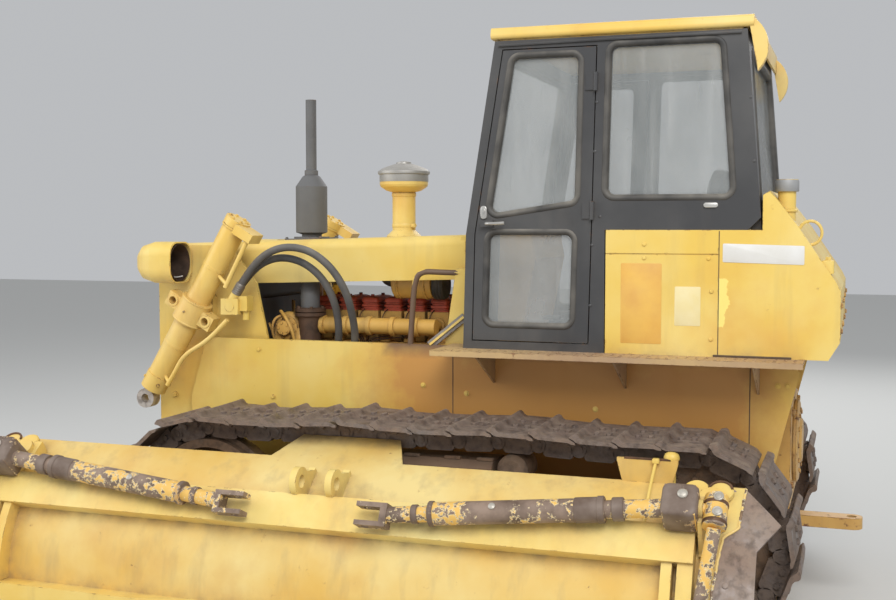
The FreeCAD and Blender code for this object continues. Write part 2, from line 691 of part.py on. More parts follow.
def make_hull():
    """Main frame, transmission case, belly guard, front cross member and final drives."""
    inside = HULL_HALF - 30.0
    case = rounded_prism_x(((-inside, HULL_BOTTOM + 20.0), (inside, HULL_BOTTOM + 20.0),
                            (inside, CASE_TOP), (-inside, CASE_TOP)), CASE_ROUND, CASE_REAR_X, CASE_FRONT_X)
    rear, nose_low = CASE_REAR_X + 40.0, HULL_BOTTOM + NOSE_LIFT
    belly = prism_y(((rear, HULL_BOTTOM), (BELLY_RISE_X, HULL_BOTTOM), (NOSE_X, nose_low),
                     (NOSE_X, RAIL_TOP), (NOSE_X - 90.0, RAIL_TOP), (NOSE_X - 90.0, nose_low + 40.0),
                     (BELLY_RISE_X - 20.0, HULL_BOTTOM + BELLY_PLATE), (rear, HULL_BOTTOM + BELLY_PLATE)),
                    -HULL_HALF, HULL_HALF)
    pieces = [case, belly]
    for side in (-1.0, 1.0):
        near, far = span(side * HULL_HALF, side * (HULL_HALF - RAIL_WIDTH))
        pieces.append(prism_y(((CASE_FRONT_X - 60.0, HULL_BOTTOM + 10.0), (BELLY_RISE_X - 10.0, HULL_BOTTOM + 10.0),
                               (NOSE_X - 20.0, nose_low + 20.0), (NOSE_X - 20.0, RAIL_TOP),
                               (CASE_FRONT_X - 60.0, RAIL_TOP)), near, far))
        inner, outer = span(side * (HULL_HALF - 60.0), side * (TRACK_Y - SPROCKET_HUB_IN - RUN_FIT))
        pieces.append(rod((SPROCKET_X, inner, SPROCKET_Z), (SPROCKET_X, outer, SPROCKET_Z), FINAL_DRIVE_R))
        inner, outer = span(side * (HULL_HALF - 40.0), side * (TRACK_Y - TRACK_BEAM_WIDTH / 2.0))
        pieces.append(rod((CROSS_SHAFT_X, inner, CROSS_SHAFT_Z), (CROSS_SHAFT_X, outer, CROSS_SHAFT_Z),
                          CROSS_SHAFT_R))
        bar = CROSS_BAR_SIZE / 2.0
        pieces.append(box(CROSS_BAR_X - bar, CROSS_BAR_X + bar, inner, outer, CROSS_BAR_Z - bar,
                          CROSS_BAR_Z + bar))
        pieces.append(make_hose_feet(side))
    tail = prism_y(((CASE_REAR_X + 60.0, TAIL_BOTTOM), (TAIL_X + 60.0, TAIL_BOTTOM), (TAIL_X, TAIL_BOTTOM + 140.0),
                    (TAIL_X, TAIL_TOP - 140.0), (CASE_REAR_X + 60.0, TAIL_TOP)), -TAIL_HALF, TAIL_HALF)
    for y in (-1.0, 1.0):
        for z in (-1.0, 1.0):
            by, bz = y * TAIL_BOLTS_Y / 2.0, TAIL_BOLTS_MID_Z + z * TAIL_BOLTS_Z / 2.0
            tail = tail.cut(rod((TAIL_X - 5.0, by, bz), (TAIL_X + TAIL_BOLT_DEPTH, by, bz), TAIL_BOLT_R))
    pieces.append(tail)
    reach = DRAWBAR_THICK / 2.0 + DRAWBAR_ROOM
    pocket = box(TAIL_X - 20.0, DRAWBAR_PIVOT_X + 170.0, -250.0, 250.0, DRAWBAR_Z - reach, DRAWBAR_Z + reach)
    pivot = rod((DRAWBAR_PIVOT_X, 0, DRAWBAR_Z - reach - 15.0), (DRAWBAR_PIVOT_X, 0, DRAWBAR_Z + reach + 15.0),
                DRAWBAR_PIN_R)
    return joined([joined(pieces).cut(pocket), pivot])


def make_side_panels():
    """Steel side sheets with turned-in edges, from the nose to the rear of the body."""
    outline = ((SIDE_FRONT_X, SIDE_TOP - 40.0), (SIDE_FRONT_X - 50.0, SIDE_TOP), (SIDE_REAR_X + 60.0, SIDE_TOP),
               (SIDE_REAR_X, SIDE_TOP - 80.0), (SIDE_REAR_X + 140.0, SIDE_BOTTOM + 60.0),
               (SIDE_FRONT_X + 90.0, SIDE_BOTTOM), (SIDE_FRONT_X + 90.0, SIDE_TOP - 340.0))
    sheet = prism_y(outline, SIDE_Y - SIDE_WALL, SIDE_Y)
    foot = box(SIDE_REAR_X + 300.0, SIDE_FRONT_X, HULL_HALF, SIDE_Y - 4.0, RAIL_TOP - 70.0, RAIL_TOP - 50.0)
    top = box(DECK_FRONT_X + 80.0, SIDE_FRONT_X - 60.0, SIDE_Y - SIDE_RETURN, SIDE_Y - 4.0,
              SIDE_TOP - SIDE_WALL, SIDE_TOP)
    panel = joined([sheet, foot, top])
    panel = panel.cut(rod((SPROCKET_X, HULL_HALF - 20.0, SPROCKET_Z), (SPROCKET_X, SIDE_Y + 20.0, SPROCKET_Z),
                          FINAL_DRIVE_R + RUN_FIT))
    return Part.makeCompound([panel, mirrored(panel)])


LIFT_BOSS_Y = LIFT_Y - LIFT_COLLAR_R - LIFT_COLLAR_GAP


def lift_point(along, across=0.0):
    """(x, z) beside the lift cylinder's axis, measured from its top end, across being forward."""
    lean = math.radians(LIFT_LEAN)
    return (LIFT_TOP_X + along * math.sin(lean) + across * math.cos(lean),
            LIFT_TOP_Z - along * math.cos(lean) + across * math.sin(lean))


def make_guard():
    """Radiator guard: heavy side plates and top round the radiator, with the lift trunnions."""
    top, front = HOOD_TOP_FRONT - 8.0, GUARD_FRONT_X
    side_outline = ((GUARD_REAR_TOP_X, HOOD_TOP_FRONT - HOOD_BAND + 20.0), (GUARD_REAR_X, SIDE_TOP),
                    (GUARD_REAR_X, RAIL_TOP), (front - 70.0, RAIL_TOP), (front, GUARD_BOTTOM),
                    (front, top - 22.0), (front - 60.0, top), (GUARD_REAR_TOP_X + 174.0, top))
    pieces = []
    tx, tz = lift_point(LIFT_TRUNNION_AT)
    for side in (-1.0, 1.0):
        near, far = span(side * GUARD_HALF, side * (GUARD_HALF - GUARD_WALL))
        pieces.append(prism_y(side_outline, near, far))
        bar_in, bar_out = span(side * (GUARD_HALF - 4.0), side * LIFT_BOSS_Y)
        pieces.append(rounded_prism_y(((tx - 75.0, tz - 95.0), (tx + 75.0, tz - 95.0), (tx + 75.0, tz + 95.0),
                                       (tx - 75.0, tz + 95.0)), 40.0, bar_in, bar_out))
    face = rounded_prism_x(((-GUARD_HALF, GUARD_BOTTOM), (GUARD_HALF, GUARD_BOTTOM),
                            (GUARD_HALF, HOOD_TOP_FRONT - 4.0), (-GUARD_HALF, HOOD_TOP_FRONT - 4.0)), 20.0,
                           front - GUARD_FRAME, front)
    half, low = GUARD_HALF - GUARD_WINDOW_SIDE, GUARD_BOTTOM + GUARD_WINDOW_LOW
    high = HOOD_TOP_FRONT - GUARD_WINDOW_HIGH
    window = rounded_prism_x(((-half, low), (half, low), (half, high), (-half, high)), 40.0,
                             front - GUARD_FRAME - 30.0, front + 20.0)
    pieces.append(face.cut(window))
    base = box(GUARD_REAR_X, front - GUARD_FRAME - 25.0, -GUARD_HALF, GUARD_HALF, RAIL_TOP, RAIL_TOP + 20.0)
    under_hood = hood_z(front - GUARD_FRAME) - HOOD_WALL - SHEET_GAP
    shelf_half = HOOD_HALF - HOOD_CORNER_R
    shelf = box(front - GUARD_FRAME - 80.0, front - GUARD_FRAME + 5.0, -shelf_half, shelf_half,
                under_hood - 14.0, under_hood)
    return joined(pieces + [base, shelf])


def make_grille():
    """Grille of crosswise bars in a flat frame, just behind the guard's front opening."""
    depth, edge, bar = 24.0, 45.0, 8.0
    x0 = GUARD_FRONT_X - GUARD_FRAME - depth - RUN_FIT
    half = HOOD_HALF - HOOD_WALL - 2.0
    low, high = GUARD_BOTTOM + 70.0, HOOD_TOP_FRONT - 140.0
    frame = box(x0, x0 + depth, -half, half, low, high)
    frame = frame.cut(box(x0 - 5.0, x0 + depth + 5.0, -half + edge, half - edge, low + edge, high - edge))
    bars = [frame]
    count = 15
    for i in range(count):
        z = lerp(low + edge + 30.0, high - edge - 30.0, i / (count - 1))
        bars.append(box(x0, x0 + depth, -half + edge - 5.0, half - edge + 5.0, z - bar, z + bar))
    for y in (-half * 0.3, half * 0.3):
        bars.append(box(x0, x0 + depth, y - bar, y + bar, low + edge - 5.0, high - edge + 5.0))
    return joined(bars)


def make_radiator():
    """Core with its header tank, standing on the guard's base."""
    half = RADIATOR_HALF
    rear, front = RADIATOR_X, RADIATOR_X + RADIATOR_DEPTH
    core = box(rear, front, -half, half, RAIL_TOP + 20.0, RADIATOR_CORE_TOP)
    top = RADIATOR_CORE_TOP + RADIATOR_TANK
    tank = rounded_prism_y(((rear - 20.0, RADIATOR_CORE_TOP), (front + 20.0, RADIATOR_CORE_TOP),
                            (front + 20.0, top), (rear - 20.0, top)), 35.0, -half, half)
    return joined([core, tank])


def make_engine():
    """Block, heads, manifold with its branches, turbocharger, dynamo, oil pan, and the fan."""
    pan_top = ENGINE_BOTTOM + OIL_PAN_DEPTH
    wide = ENGINE_HALF
    pieces = [box(ENGINE_REAR_X, ENGINE_FRONT_X, -wide, wide, pan_top - 10.0, ENGINE_BLOCK_TOP),
              prism_x(((-wide + 60.0, ENGINE_BOTTOM), (wide - 60.0, ENGINE_BOTTOM), (wide, pan_top),
                       (-wide, pan_top)), ENGINE_REAR_X + 60.0, ENGINE_FRONT_X - 60.0),
              rod((CASE_FRONT_X, 0, FLYWHEEL_Z), (ENGINE_REAR_X + 20.0, 0, FLYWHEEL_Z), FLYWHEEL_R)]
    heads_front = ENGINE_FRONT_X - GEAR_CASE
    each = (heads_front - ENGINE_REAR_X) / CYLINDER_COUNT
    for i in range(CYLINDER_COUNT):
        x = ENGINE_REAR_X + each * (i + 0.5)
        half = each / 2.0 - 9.0
        pieces.append(box(x - half, x + half, -ENGINE_HEAD_HALF, ENGINE_HEAD_HALF, ENGINE_BLOCK_TOP - 5.0,
                          ENGINE_HEAD_TOP))
        pieces.append(rod((x, ENGINE_HEAD_HALF - 15.0, MANIFOLD_Z), (x, MANIFOLD_Y - 15.0, MANIFOLD_Z), PORT_R))
    pieces.append(rod((ENGINE_REAR_X + 30.0, MANIFOLD_Y, MANIFOLD_Z), (heads_front, MANIFOLD_Y, MANIFOLD_Z),
                      MANIFOLD_R))
    turbo_z = ENGINE_BLOCK_TOP + TURBO_R - 10.0
    pieces.append(rod((heads_front - 10.0, MANIFOLD_Y, MANIFOLD_Z), (EXHAUST_X, TURBO_R, turbo_z), PORT_R + 8.0))
    pieces.append(rod((EXHAUST_X, -TURBO_R, turbo_z), (EXHAUST_X, TURBO_R, turbo_z), TURBO_R))
    flange_z = ENGINE_HEAD_TOP - 25.0
    pieces.append(rod((EXHAUST_X, 0, flange_z - 20.0), (EXHAUST_X, 0, flange_z), DOWNPIPE_R + 18.0))
    pieces.append(rod((EXHAUST_X, 0, turbo_z), (EXHAUST_X, 0, hood_z(EXHAUST_X) - HOOD_WALL - 4.0), DOWNPIPE_R))
    dynamo_z = ENGINE_BLOCK_TOP + PUMP_R - 5.0
    dynamo_y = ENGINE_HALF + PUMP_R * 0.6
    front = ENGINE_FRONT_X + 18.0
    pieces.append(rod((heads_front + 45.0, dynamo_y, dynamo_z), (front, dynamo_y, dynamo_z), PUMP_R))
    pieces.append(rod((front - 2.0, dynamo_y, dynamo_z), (front + 14.0, dynamo_y, dynamo_z), PUMP_R * 0.6))
    pieces.append(box(heads_front + 70.0, ENGINE_FRONT_X - 20.0, ENGINE_HALF - 40.0, dynamo_y, dynamo_z - PUMP_R - 20.0,
                      dynamo_z))
    for side in (-1.0, 1.0):
        near, far = span(side * (ENGINE_HALF - 20.0), side * (HULL_HALF - 60.0))
        for x in (ENGINE_REAR_X + 120.0, ENGINE_FRONT_X - 260.0):
            pieces.append(box(x, x + ENGINE_FOOT, near, far, RAIL_TOP, RAIL_TOP + 190.0))
    fan_x = ENGINE_FRONT_X + FAN_GAP
    pieces.append(rod((ENGINE_FRONT_X - 5.0, 0, FAN_Z), (fan_x + 30.0, 0, FAN_Z), 42.0))
    pieces.append(rod((fan_x - 30.0, 0, FAN_Z), (fan_x + 20.0, 0, FAN_Z), 85.0))
    for i in range(FAN_BLADES):
        blade = box(-5.0, 5.0, -62.0, 62.0, 70.0, FAN_R)
        blade.rotate(V(0, 0, 0), V(0, 0, 1), 32.0)
        blade.rotate(V(0, 0, 0), V(1, 0, 0), 360.0 * i / FAN_BLADES)
        blade.translate(V(fan_x, 0, FAN_Z))
        pieces.append(blade)
    return joined(pieces)


HOOD_LENGTH = GUARD_FRONT_X - GUARD_FRAME - RUN_FIT - HOOD_REAR_X


def hood_z(x):
    """Height of the hood's top at x."""
    return lerp(HOOD_TOP_REAR, HOOD_TOP_FRONT, (x - HOOD_REAR_X) / HOOD_LENGTH)


def hood_section(inset, drop):
    """Upright cross section of the hood: a deep channel with round upper edges."""
    half, radius = HOOD_HALF - inset, HOOD_CORNER_R - inset
    top, low = -inset, -HOOD_BAND - drop
    turn = radius * (1 - math.sqrt(0.5))
    edges = [Part.LineSegment(V(0, -half, low), V(0, -half, top - radius)).toShape(),
             Part.Arc(V(0, -half, top - radius), V(0, -half + turn, top - turn), V(0, -half + radius, top)).toShape(),
             Part.LineSegment(V(0, -half + radius, top), V(0, half - radius, top)).toShape(),
             Part.Arc(V(0, half - radius, top), V(0, half - turn, top - turn), V(0, half, top - radius)).toShape(),
             Part.LineSegment(V(0, half, top - radius), V(0, half, low)).toShape(),
             Part.LineSegment(V(0, half, low), V(0, -half, low)).toShape()]
    return Part.Face(Part.Wire(edges))


def hood_channel(hollow):
    """The hood's long channel, or the solid space it takes up."""
    outer = hood_section(0.0, 0.0).extrude(V(HOOD_LENGTH, 0, 0))
    inner = hood_section(HOOD_WALL, 20.0).extrude(V(HOOD_LENGTH + 40.0, 0, 0))
    inner.translate(V(-20.0, 0, 0))
    hood = outer.cut(inner) if hollow else outer
    slope = math.degrees(math.atan((HOOD_TOP_REAR - HOOD_TOP_FRONT) / HOOD_LENGTH))
    hood.rotate(V(0, 0, 0), V(0, 1, 0), slope)
    hood.translate(V(HOOD_REAR_X, 0, HOOD_TOP_REAR))
    return hood


def make_hood():
    """Pressed sheet hood, sloping down to the nose."""
    return hood_channel(True)


def make_cowl():
    """Wall between engine and cab, its side posts, and the grab rails that stand before it."""
    top, low = HOOD_TOP_REAR - 9.0, CASE_TOP + 6.0
    back_low, back_top = front_x(DECK_TOP) + COWL_GAP, front_x(top) + COWL_GAP
    front_low = back_low + COWL_DEPTH
    front_top = back_top + COWL_DEPTH * 0.75
    wall = prism_y(((front_low, low), (front_low, SIDE_TOP), (front_top, top), (back_top, top),
                    (back_low, DECK_TOP), (back_low, low)), -HOOD_HALF + HOOD_WALL, HOOD_HALF - HOOD_WALL)
    wall = wall.cut(box(back_top - 20.0, front_low + 20.0, -250.0, 250.0, DECK_TOP - 60.0, top - 300.0))
    pieces = [wall.cut(hood_channel(True))]
    rail_y = SIDE_Y - SIDE_RETURN / 2.0 + 2.0
    post_top = HOOD_TOP_REAR - HOOD_BAND + 62.0
    for side in (-1.0, 1.0):
        near, far = span(side * (HOOD_HALF - HOOD_WALL - 10.0), side * COWL_POST_Y)
        post = prism_y(((back_low, low), (front_low, low), (front_low, SIDE_TOP), (front_top, post_top),
                        (back_top, post_top), (back_low, DECK_TOP)), near, far)
        pieces.append(post.cut(hood_channel(False)))
        foot_in, foot_out = span(side * COWL_POST_Y, side * (SIDE_Y - SIDE_WALL))
        pieces.append(box(back_low, front_low, foot_in, foot_out, low, SIDE_TOP))
        end = side * (COWL_POST_Y - 12.0)
        route = ((front_low + 186.0, side * rail_y, SIDE_TOP), (front_low + 160.0, side * rail_y, post_top - 62.0),
                 (front_low + 124.0, side * (rail_y - 4.0), post_top - 16.0),
                 (front_top - 20.0, end, post_top - 24.0))
        wire = rounded_path(route)
        start = V(*route[0])
        circle = Part.Wire(Part.makeCircle(GRAB_R, start, V(*route[1]) - start))
        pieces.append(wire.makePipeShell([circle], True, False))
        pieces.append(flat_bar((front_low + 70.0, side * rail_y, SIDE_TOP - 2.0),
                               (front_low - 110.0, side * (COWL_POST_Y + 2.0), SIDE_TOP + 150.0), 40.0, 12.0))
    over_panels = box(front_low + 1.0, front_low + 400.0, -SIDE_Y, SIDE_Y, SIDE_TOP - 60.0, SIDE_TOP)
    return joined(pieces).cut(over_panels)


def make_exhaust():
    """Muffler with its base ring and the open stack above it."""
    top, body, stack = MUFFLER_TOP, MUFFLER_R, STACK_R
    base = hood_z(EXHAUST_X) - 10.0
    neck = body * 0.63
    profile = ((0, base), (body + 12.0, base), (body + 12.0, base + 26.0), (neck, base + 26.0),
               (neck, base + 40.0), (body, base + 52.0), (body, top - 60.0), (stack + 22.0, top),
               (stack, top + 14.0), (stack, STACK_TOP), (stack - 4.0, STACK_TOP), (stack - 4.0, top + 60.0),
               (0, top + 60.0))
    return turned(profile, (EXHAUST_X, 0, 0), (0, 0, 1)).cut(hood_channel(False))


def make_cleaner():
    """Air pre-cleaner: a cone base and stem with a shallow bowl and domed lid."""
    base = hood_z(CLEANER_X) - 10.0
    bowl, r, stem = CLEANER_BOWL_BOTTOM, CLEANER_BOWL_R, CLEANER_STEM_R
    profile = ((0, base), (stem + 34.0, base), (stem + 34.0, base + 14.0), (stem, base + 48.0),
               (stem, bowl - 10.0), (r - 40.0, bowl), (r - 6.0, bowl + 22.0), (r, bowl + 34.0),
               (r, bowl + 96.0), (r + 8.0, bowl + 100.0), (r + 8.0, bowl + 112.0), (r - 12.0, bowl + 128.0),
               (r * 0.45, bowl + 152.0), (24.0, bowl + 160.0), (0, bowl + 160.0))
    return turned(profile, (CLEANER_X, 0, 0), (0, 0, 1)).cut(hood_channel(False))


def lamp_shell(inset):
    """The pod's round-cornered shape, narrowing to the front, moved in by a wall's thickness."""
    rear = LAMP_X - LAMP_DEPTH / 2.0
    wires = []
    for share, scale in ((0.0, 1.0), (0.55, 1.0), (0.85, 0.82), (1.0, 0.52)):
        half = LAMP_HALF * scale - inset
        x = rear + LAMP_DEPTH * share - (inset if share in (0.0, 1.0) else 0.0)
        points = [(x, LAMP_Y - half, LAMP_Z - half), (x, LAMP_Y + half, LAMP_Z - half),
                  (x, LAMP_Y + half, LAMP_Z + half), (x, LAMP_Y - half, LAMP_Z + half)]
        wires.append(rounded_wire(points, (LAMP_CORNER_R * scale - inset * 0.5)))
    return Part.makeLoft(wires, True, True)


def make_lamps():
    """Lamp pods on brackets at the nose, open to the rear, with no lamp in them."""
    wall = LAMP_WALL
    pod = lamp_shell(0.0).cut(lamp_shell(wall))
    arm = box(LAMP_X - 60.0, LAMP_X + 60.0, GUARD_HALF, LAMP_Y - LAMP_HALF + wall / 2.0, LAMP_Z - 70.0,
              LAMP_Z + 40.0)
    lamp = joined([pod, arm])
    return Part.makeCompound([lamp, mirrored(lamp)])


def make_deck():
    """Platform plate with its turned-down edges, over both tracks and under the cab."""
    half = DECK_HALF
    low = DECK_TOP - DECK_PLATE
    pieces = [box(DECK_REAR_X, DECK_FRONT_X, -half, half, low, DECK_TOP)]
    for side in (-1.0, 1.0):
        near, far = span(side * half, side * (half - DECK_PLATE))
        pieces.append(box(DECK_REAR_X, DECK_FRONT_X, near, far, DECK_TOP - DECK_FLANGE, DECK_TOP))
        for x in DECK_GUSSET_X:
            inner, outer = side * SIDE_Y, side * (half - DECK_PLATE)
            pieces.append(plane_face([(x, inner, low + 1.0), (x, outer, low + 1.0),
                                      (x, inner, low - DECK_GUSSET_HEIGHT)]).extrude(V(DECK_PLATE, 0, 0)))
    notch = box(front_x(DECK_TOP) + COWL_GAP - SHEET_GAP, DECK_FRONT_X + 5.0, -SIDE_Y + 4.0, SIDE_Y - 4.0,
                0, CAB_TOP)
    return joined(pieces).cut(notch)


def make_side_box(side):
    """Locker between the door and the tank: the body and its lid with a seam."""
    y0, y1 = span(side * BOX_INNER, side * BOX_OUTER)
    body = box(BOX_REAR_X, BOX_FRONT_X, y0, y1, DECK_TOP, BOX_TOP)
    seam_y0, seam_y1 = span(side * (BOX_OUTER - 5.0), side * (BOX_OUTER + 5.0))
    seam = BOX_TOP - BOX_LID
    return body.cut(box(BOX_REAR_X - 5.0, BOX_FRONT_X + 5.0, seam_y0, seam_y1, seam - BOX_SEAM, seam))


def make_tank():
    """Fuel tank across the rear: flat sides, round rear edge, filler neck on the left."""
    front = BOX_REAR_X - RUN_FIT
    crown_x, shoulder_z = TANK_FRONT_TOP_X - 32.0, TANK_TOP - TANK_SHOULDER
    outline = [(front, DECK_TOP), (front, BOX_TOP), (TANK_FRONT_TOP_X, BOX_TOP), (TANK_FRONT_TOP_X, TANK_TOP - 20.0)]
    outline += [(lerp(crown_x, TANK_REAR_X, along), lerp(TANK_TOP, shoulder_z, down)) for along, down in TANK_CURVE]
    outline += [(TANK_REAR_X, DECK_TOP + TANK_FOOT), (TANK_REAR_X + 50.0, DECK_TOP)]
    body = prism_y(outline, -BOX_OUTER, BOX_OUTER)
    y = BOX_OUTER - 120.0
    neck = rod((FILLER_X, y, shoulder_z + 320.0), (FILLER_X, y, FILLER_TOP - 25.0), FILLER_R)
    cap = rod((FILLER_X, y, FILLER_TOP - 50.0), (FILLER_X, y, FILLER_TOP), FILLER_R + 10.0)
    return joined([body, neck, cap])


def front_x(z):
    """The cab's front edge: nearly upright to a kink, then leaning back."""
    if z < CAB_KINK_Z:
        return lerp(CAB_FRONT_BOTTOM_X, CAB_FRONT_KINK_X, (z - DECK_TOP) / CAB_KINK_RISE)
    return lerp(CAB_FRONT_KINK_X, CAB_FRONT_TOP_X, (z - CAB_KINK_Z) / (CAB_TOP - CAB_KINK_Z))


def hinge_x(z):
    """The seam between the door and the rest of the cab's side."""
    return lerp(HINGE_BOTTOM_X, HINGE_TOP_X, (z - DECK_TOP) / CAB_HEIGHT)


def rear_x(z):
    """The cab's rear edge, above the lockers."""
    return lerp(CAB_REAR_LOW_X, CAB_REAR_TOP_X, (z - BOX_TOP) / (CAB_TOP - BOX_TOP))


def window(front, rear, front_gap, rear_gap, top_front, top_rear, low_front, low_rear):
    """Four corners of a side window, each a margin away from the edges beside it."""
    return ((front(top_front) - front_gap, top_front), (rear(top_rear) + rear_gap, top_rear),
            (rear(low_rear) + rear_gap, low_rear), (front(low_front) - front_gap, low_front))


DOOR_BOTTOM = DECK_TOP + CAB_SILL
DOOR_TOP = CAB_TOP - HEADER
DOOR_HEAD = CAB_TOP - DOOR_WINDOW_HEAD
DOOR_SILL = DECK_TOP + DOOR_WINDOW_SILL
REAR_WINDOW = window(hinge_x, rear_x, REAR_WINDOW_FRONT, REAR_WINDOW_REAR, CAB_TOP - WINDOW_HEAD,
                     CAB_TOP - WINDOW_HEAD, DECK_TOP + SIDE_WINDOW_SILL, DECK_TOP + SIDE_WINDOW_SILL)
DOOR_UPPER = window(front_x, hinge_x, DOOR_WINDOW_FRONT, DOOR_WINDOW_REAR, DOOR_HEAD, DOOR_HEAD,
                    DOOR_SILL, DOOR_SILL + DOOR_WINDOW_SLANT)
DOOR_LOWER = window(front_x, hinge_x, DOOR_WINDOW_FRONT + 12.0, DOOR_WINDOW_REAR + 8.0,
                    DECK_TOP + LOW_WINDOW_TOP, DECK_TOP + LOW_WINDOW_TOP, DECK_TOP + LOW_WINDOW_SILL,
                    DECK_TOP + LOW_WINDOW_SILL)


def make_cab_side(side):
    """Side frame: front pillar, sill, header, hinge post and the rear window's surround."""
    y0, y1 = span(side * (CAB_OUTER - CAB_WALL), side * CAB_OUTER)
    post_x = hinge_x(DECK_TOP) - REAR_POST
    frame = prism_y(((front_x(CAB_TOP), CAB_TOP), (front_x(CAB_KINK_Z), CAB_KINK_Z), (front_x(DECK_TOP), DECK_TOP),
                     (post_x, DECK_TOP), (post_x, BOX_TOP), (CAB_REAR_LOW_X + 60.0, BOX_TOP),
                     (CAB_REAR_LOW_X, BOX_TOP + 60.0), (rear_x(CAB_TOP), CAB_TOP)), y0, y1)
    doorway = prism_y(((front_x(DOOR_TOP) - PILLAR, DOOR_TOP), (front_x(CAB_KINK_Z) - PILLAR, CAB_KINK_Z),
                       (front_x(DOOR_BOTTOM) - PILLAR, DOOR_BOTTOM), (hinge_x(DOOR_BOTTOM), DOOR_BOTTOM),
                       (hinge_x(DOOR_TOP), DOOR_TOP)), y0 - 5.0, y1 + 5.0)
    rear_window = rounded_prism_y(REAR_WINDOW, WINDOW_ROUND, y0 - 5.0, y1 + 5.0)
    return frame.cut(doorway).cut(rear_window)


def make_door(side):
    """Door frame with two windows, hinge knuckles outside, and a handle."""
    y0, y1 = span(side * (CAB_OUTER - CAB_WALL), side * CAB_OUTER)
    top, low = DOOR_TOP - DOOR_GAP, DOOR_BOTTOM + DOOR_GAP
    edge = PILLAR + DOOR_GAP
    door = prism_y(((front_x(top) - edge, top), (front_x(CAB_KINK_Z) - edge, CAB_KINK_Z), (front_x(low) - edge, low),
                    (hinge_x(low) + DOOR_GAP, low), (hinge_x(top) + DOOR_GAP, top)), y0, y1)
    for pane_hole in (DOOR_UPPER, DOOR_LOWER):
        door = door.cut(rounded_prism_y(pane_hole, WINDOW_ROUND, y0 - 5.0, y1 + 5.0))
    pieces = [door]
    leaf_in, leaf_out = span(side * (CAB_OUTER - 2.0), side * (CAB_OUTER + HINGE_OUT * 0.7))
    for drop in HINGE_DROP:
        z = CAB_TOP - drop
        pieces.append(rod(door_axis(z - HINGE_HALF, side), door_axis(z + HINGE_HALF, side), HINGE_R))
        pieces.append(box(hinge_x(z) + DOOR_GAP, hinge_x(z) + DOOR_GAP + 46.0, leaf_in, leaf_out,
                          z - HINGE_HALF + 5.0, z + HINGE_HALF - 5.0))
        pieces.append(box(hinge_x(z), hinge_x(z) + DOOR_GAP + 5.0,
                          *span(side * (CAB_OUTER + 2.0), side * (CAB_OUTER + HINGE_OUT * 0.7)),
                          z - HINGE_HALF + 5.0, z + HINGE_HALF - 5.0))
    handle_in, handle_out = span(side * (CAB_OUTER - 2.0), side * (CAB_OUTER + HANDLE_OUT))
    handle_z = DECK_TOP + HANDLE_RISE
    handle_x = front_x(handle_z) - edge - 38.0
    pieces.append(box(handle_x - 55.0, handle_x + 10.0, handle_in, handle_out, handle_z - 16.0, handle_z + 16.0))
    return joined(pieces)


def door_axis(z, side):
    """A point on the door's hinge line."""
    return hinge_x(z), side * (CAB_OUTER + HINGE_OUT), z


def inset(outline, gap):
    """The outline moved inwards by a small gap."""
    cx = sum(x for x, z in outline) / len(outline)
    cz = sum(z for x, z in outline) / len(outline)
    return tuple((x - math.copysign(gap, x - cx), z - math.copysign(gap, z - cz)) for x, z in outline)


def pane(outline, y_mid):
    """A flat side pane that just fits its window."""
    return rounded_prism_y(inset(outline, RUN_FIT), WINDOW_ROUND - RUN_FIT, y_mid - GLASS / 2.0,
                           y_mid + GLASS / 2.0)


def make_door_glass(side):
    middle = side * (CAB_OUTER - CAB_WALL / 2.0)
    return Part.makeCompound([pane(outline, middle) for outline in (DOOR_UPPER, DOOR_LOWER)])


def screen(half_low, half_top, low, top):
    return ((-half_low, low), (half_low, low), (half_top, top), (-half_top, top))


SCREEN_HALF = CAB_OUTER - SCREEN_SIDE
FRONT_SCREEN = screen(SCREEN_HALF, SCREEN_HALF - 30.0, DECK_TOP + SCREEN_SILL, CAB_TOP - DOOR_WINDOW_HEAD)
REAR_SCREEN = screen(SCREEN_HALF - 30.0, SCREEN_HALF - 60.0, BOX_TOP + 135.0, CAB_TOP - DOOR_WINDOW_HEAD)
CROSS_WALL_HALF = CAB_OUTER - CAB_WALL - RUN_FIT
LIGHT_OUT = CAB_OUTER - LOW_LIGHT_SIDE
LOW_LIGHTS = tuple(tuple((side * y, z) for y, z in ((LIGHT_OUT - LOW_LIGHT_WIDTH, DECK_TOP + 84.0),
                                                    (LIGHT_OUT, DECK_TOP + 84.0), (LIGHT_OUT, CAB_KINK_Z - 26.0),
                                                    (LIGHT_OUT - LOW_LIGHT_WIDTH, CAB_KINK_Z - 26.0)))
                   for side in (-1.0, 1.0))


def make_cab_front():
    """Front wall between the side frames: a windscreen above the kink, two lights below it."""
    heights = (DECK_TOP, CAB_KINK_Z, CAB_TOP)
    outline = [(front_x(z), z) for z in heights] + [(front_x(z) - CAB_WALL, z) for z in reversed(heights)]
    wall = prism_y(outline, -CROSS_WALL_HALF, CROSS_WALL_HALF)
    for hole in (FRONT_SCREEN,) + LOW_LIGHTS:
        wall = wall.cut(rounded_prism_x(hole, WINDOW_ROUND, CAB_FRONT_TOP_X - 150.0, CAB_FRONT_BOTTOM_X + 50.0))
    return wall


def make_cab_rear():
    """Rear wall above the lockers, with its screen."""
    wall = prism_y(((rear_x(BOX_TOP), BOX_TOP), (rear_x(CAB_TOP), CAB_TOP), (rear_x(CAB_TOP) + CAB_WALL, CAB_TOP),
                    (rear_x(BOX_TOP) + CAB_WALL, BOX_TOP)), -CROSS_WALL_HALF, CROSS_WALL_HALF)
    return wall.cut(rounded_prism_x(REAR_SCREEN, WINDOW_ROUND, CAB_REAR_LOW_X - 100.0, CAB_REAR_TOP_X + 100.0))


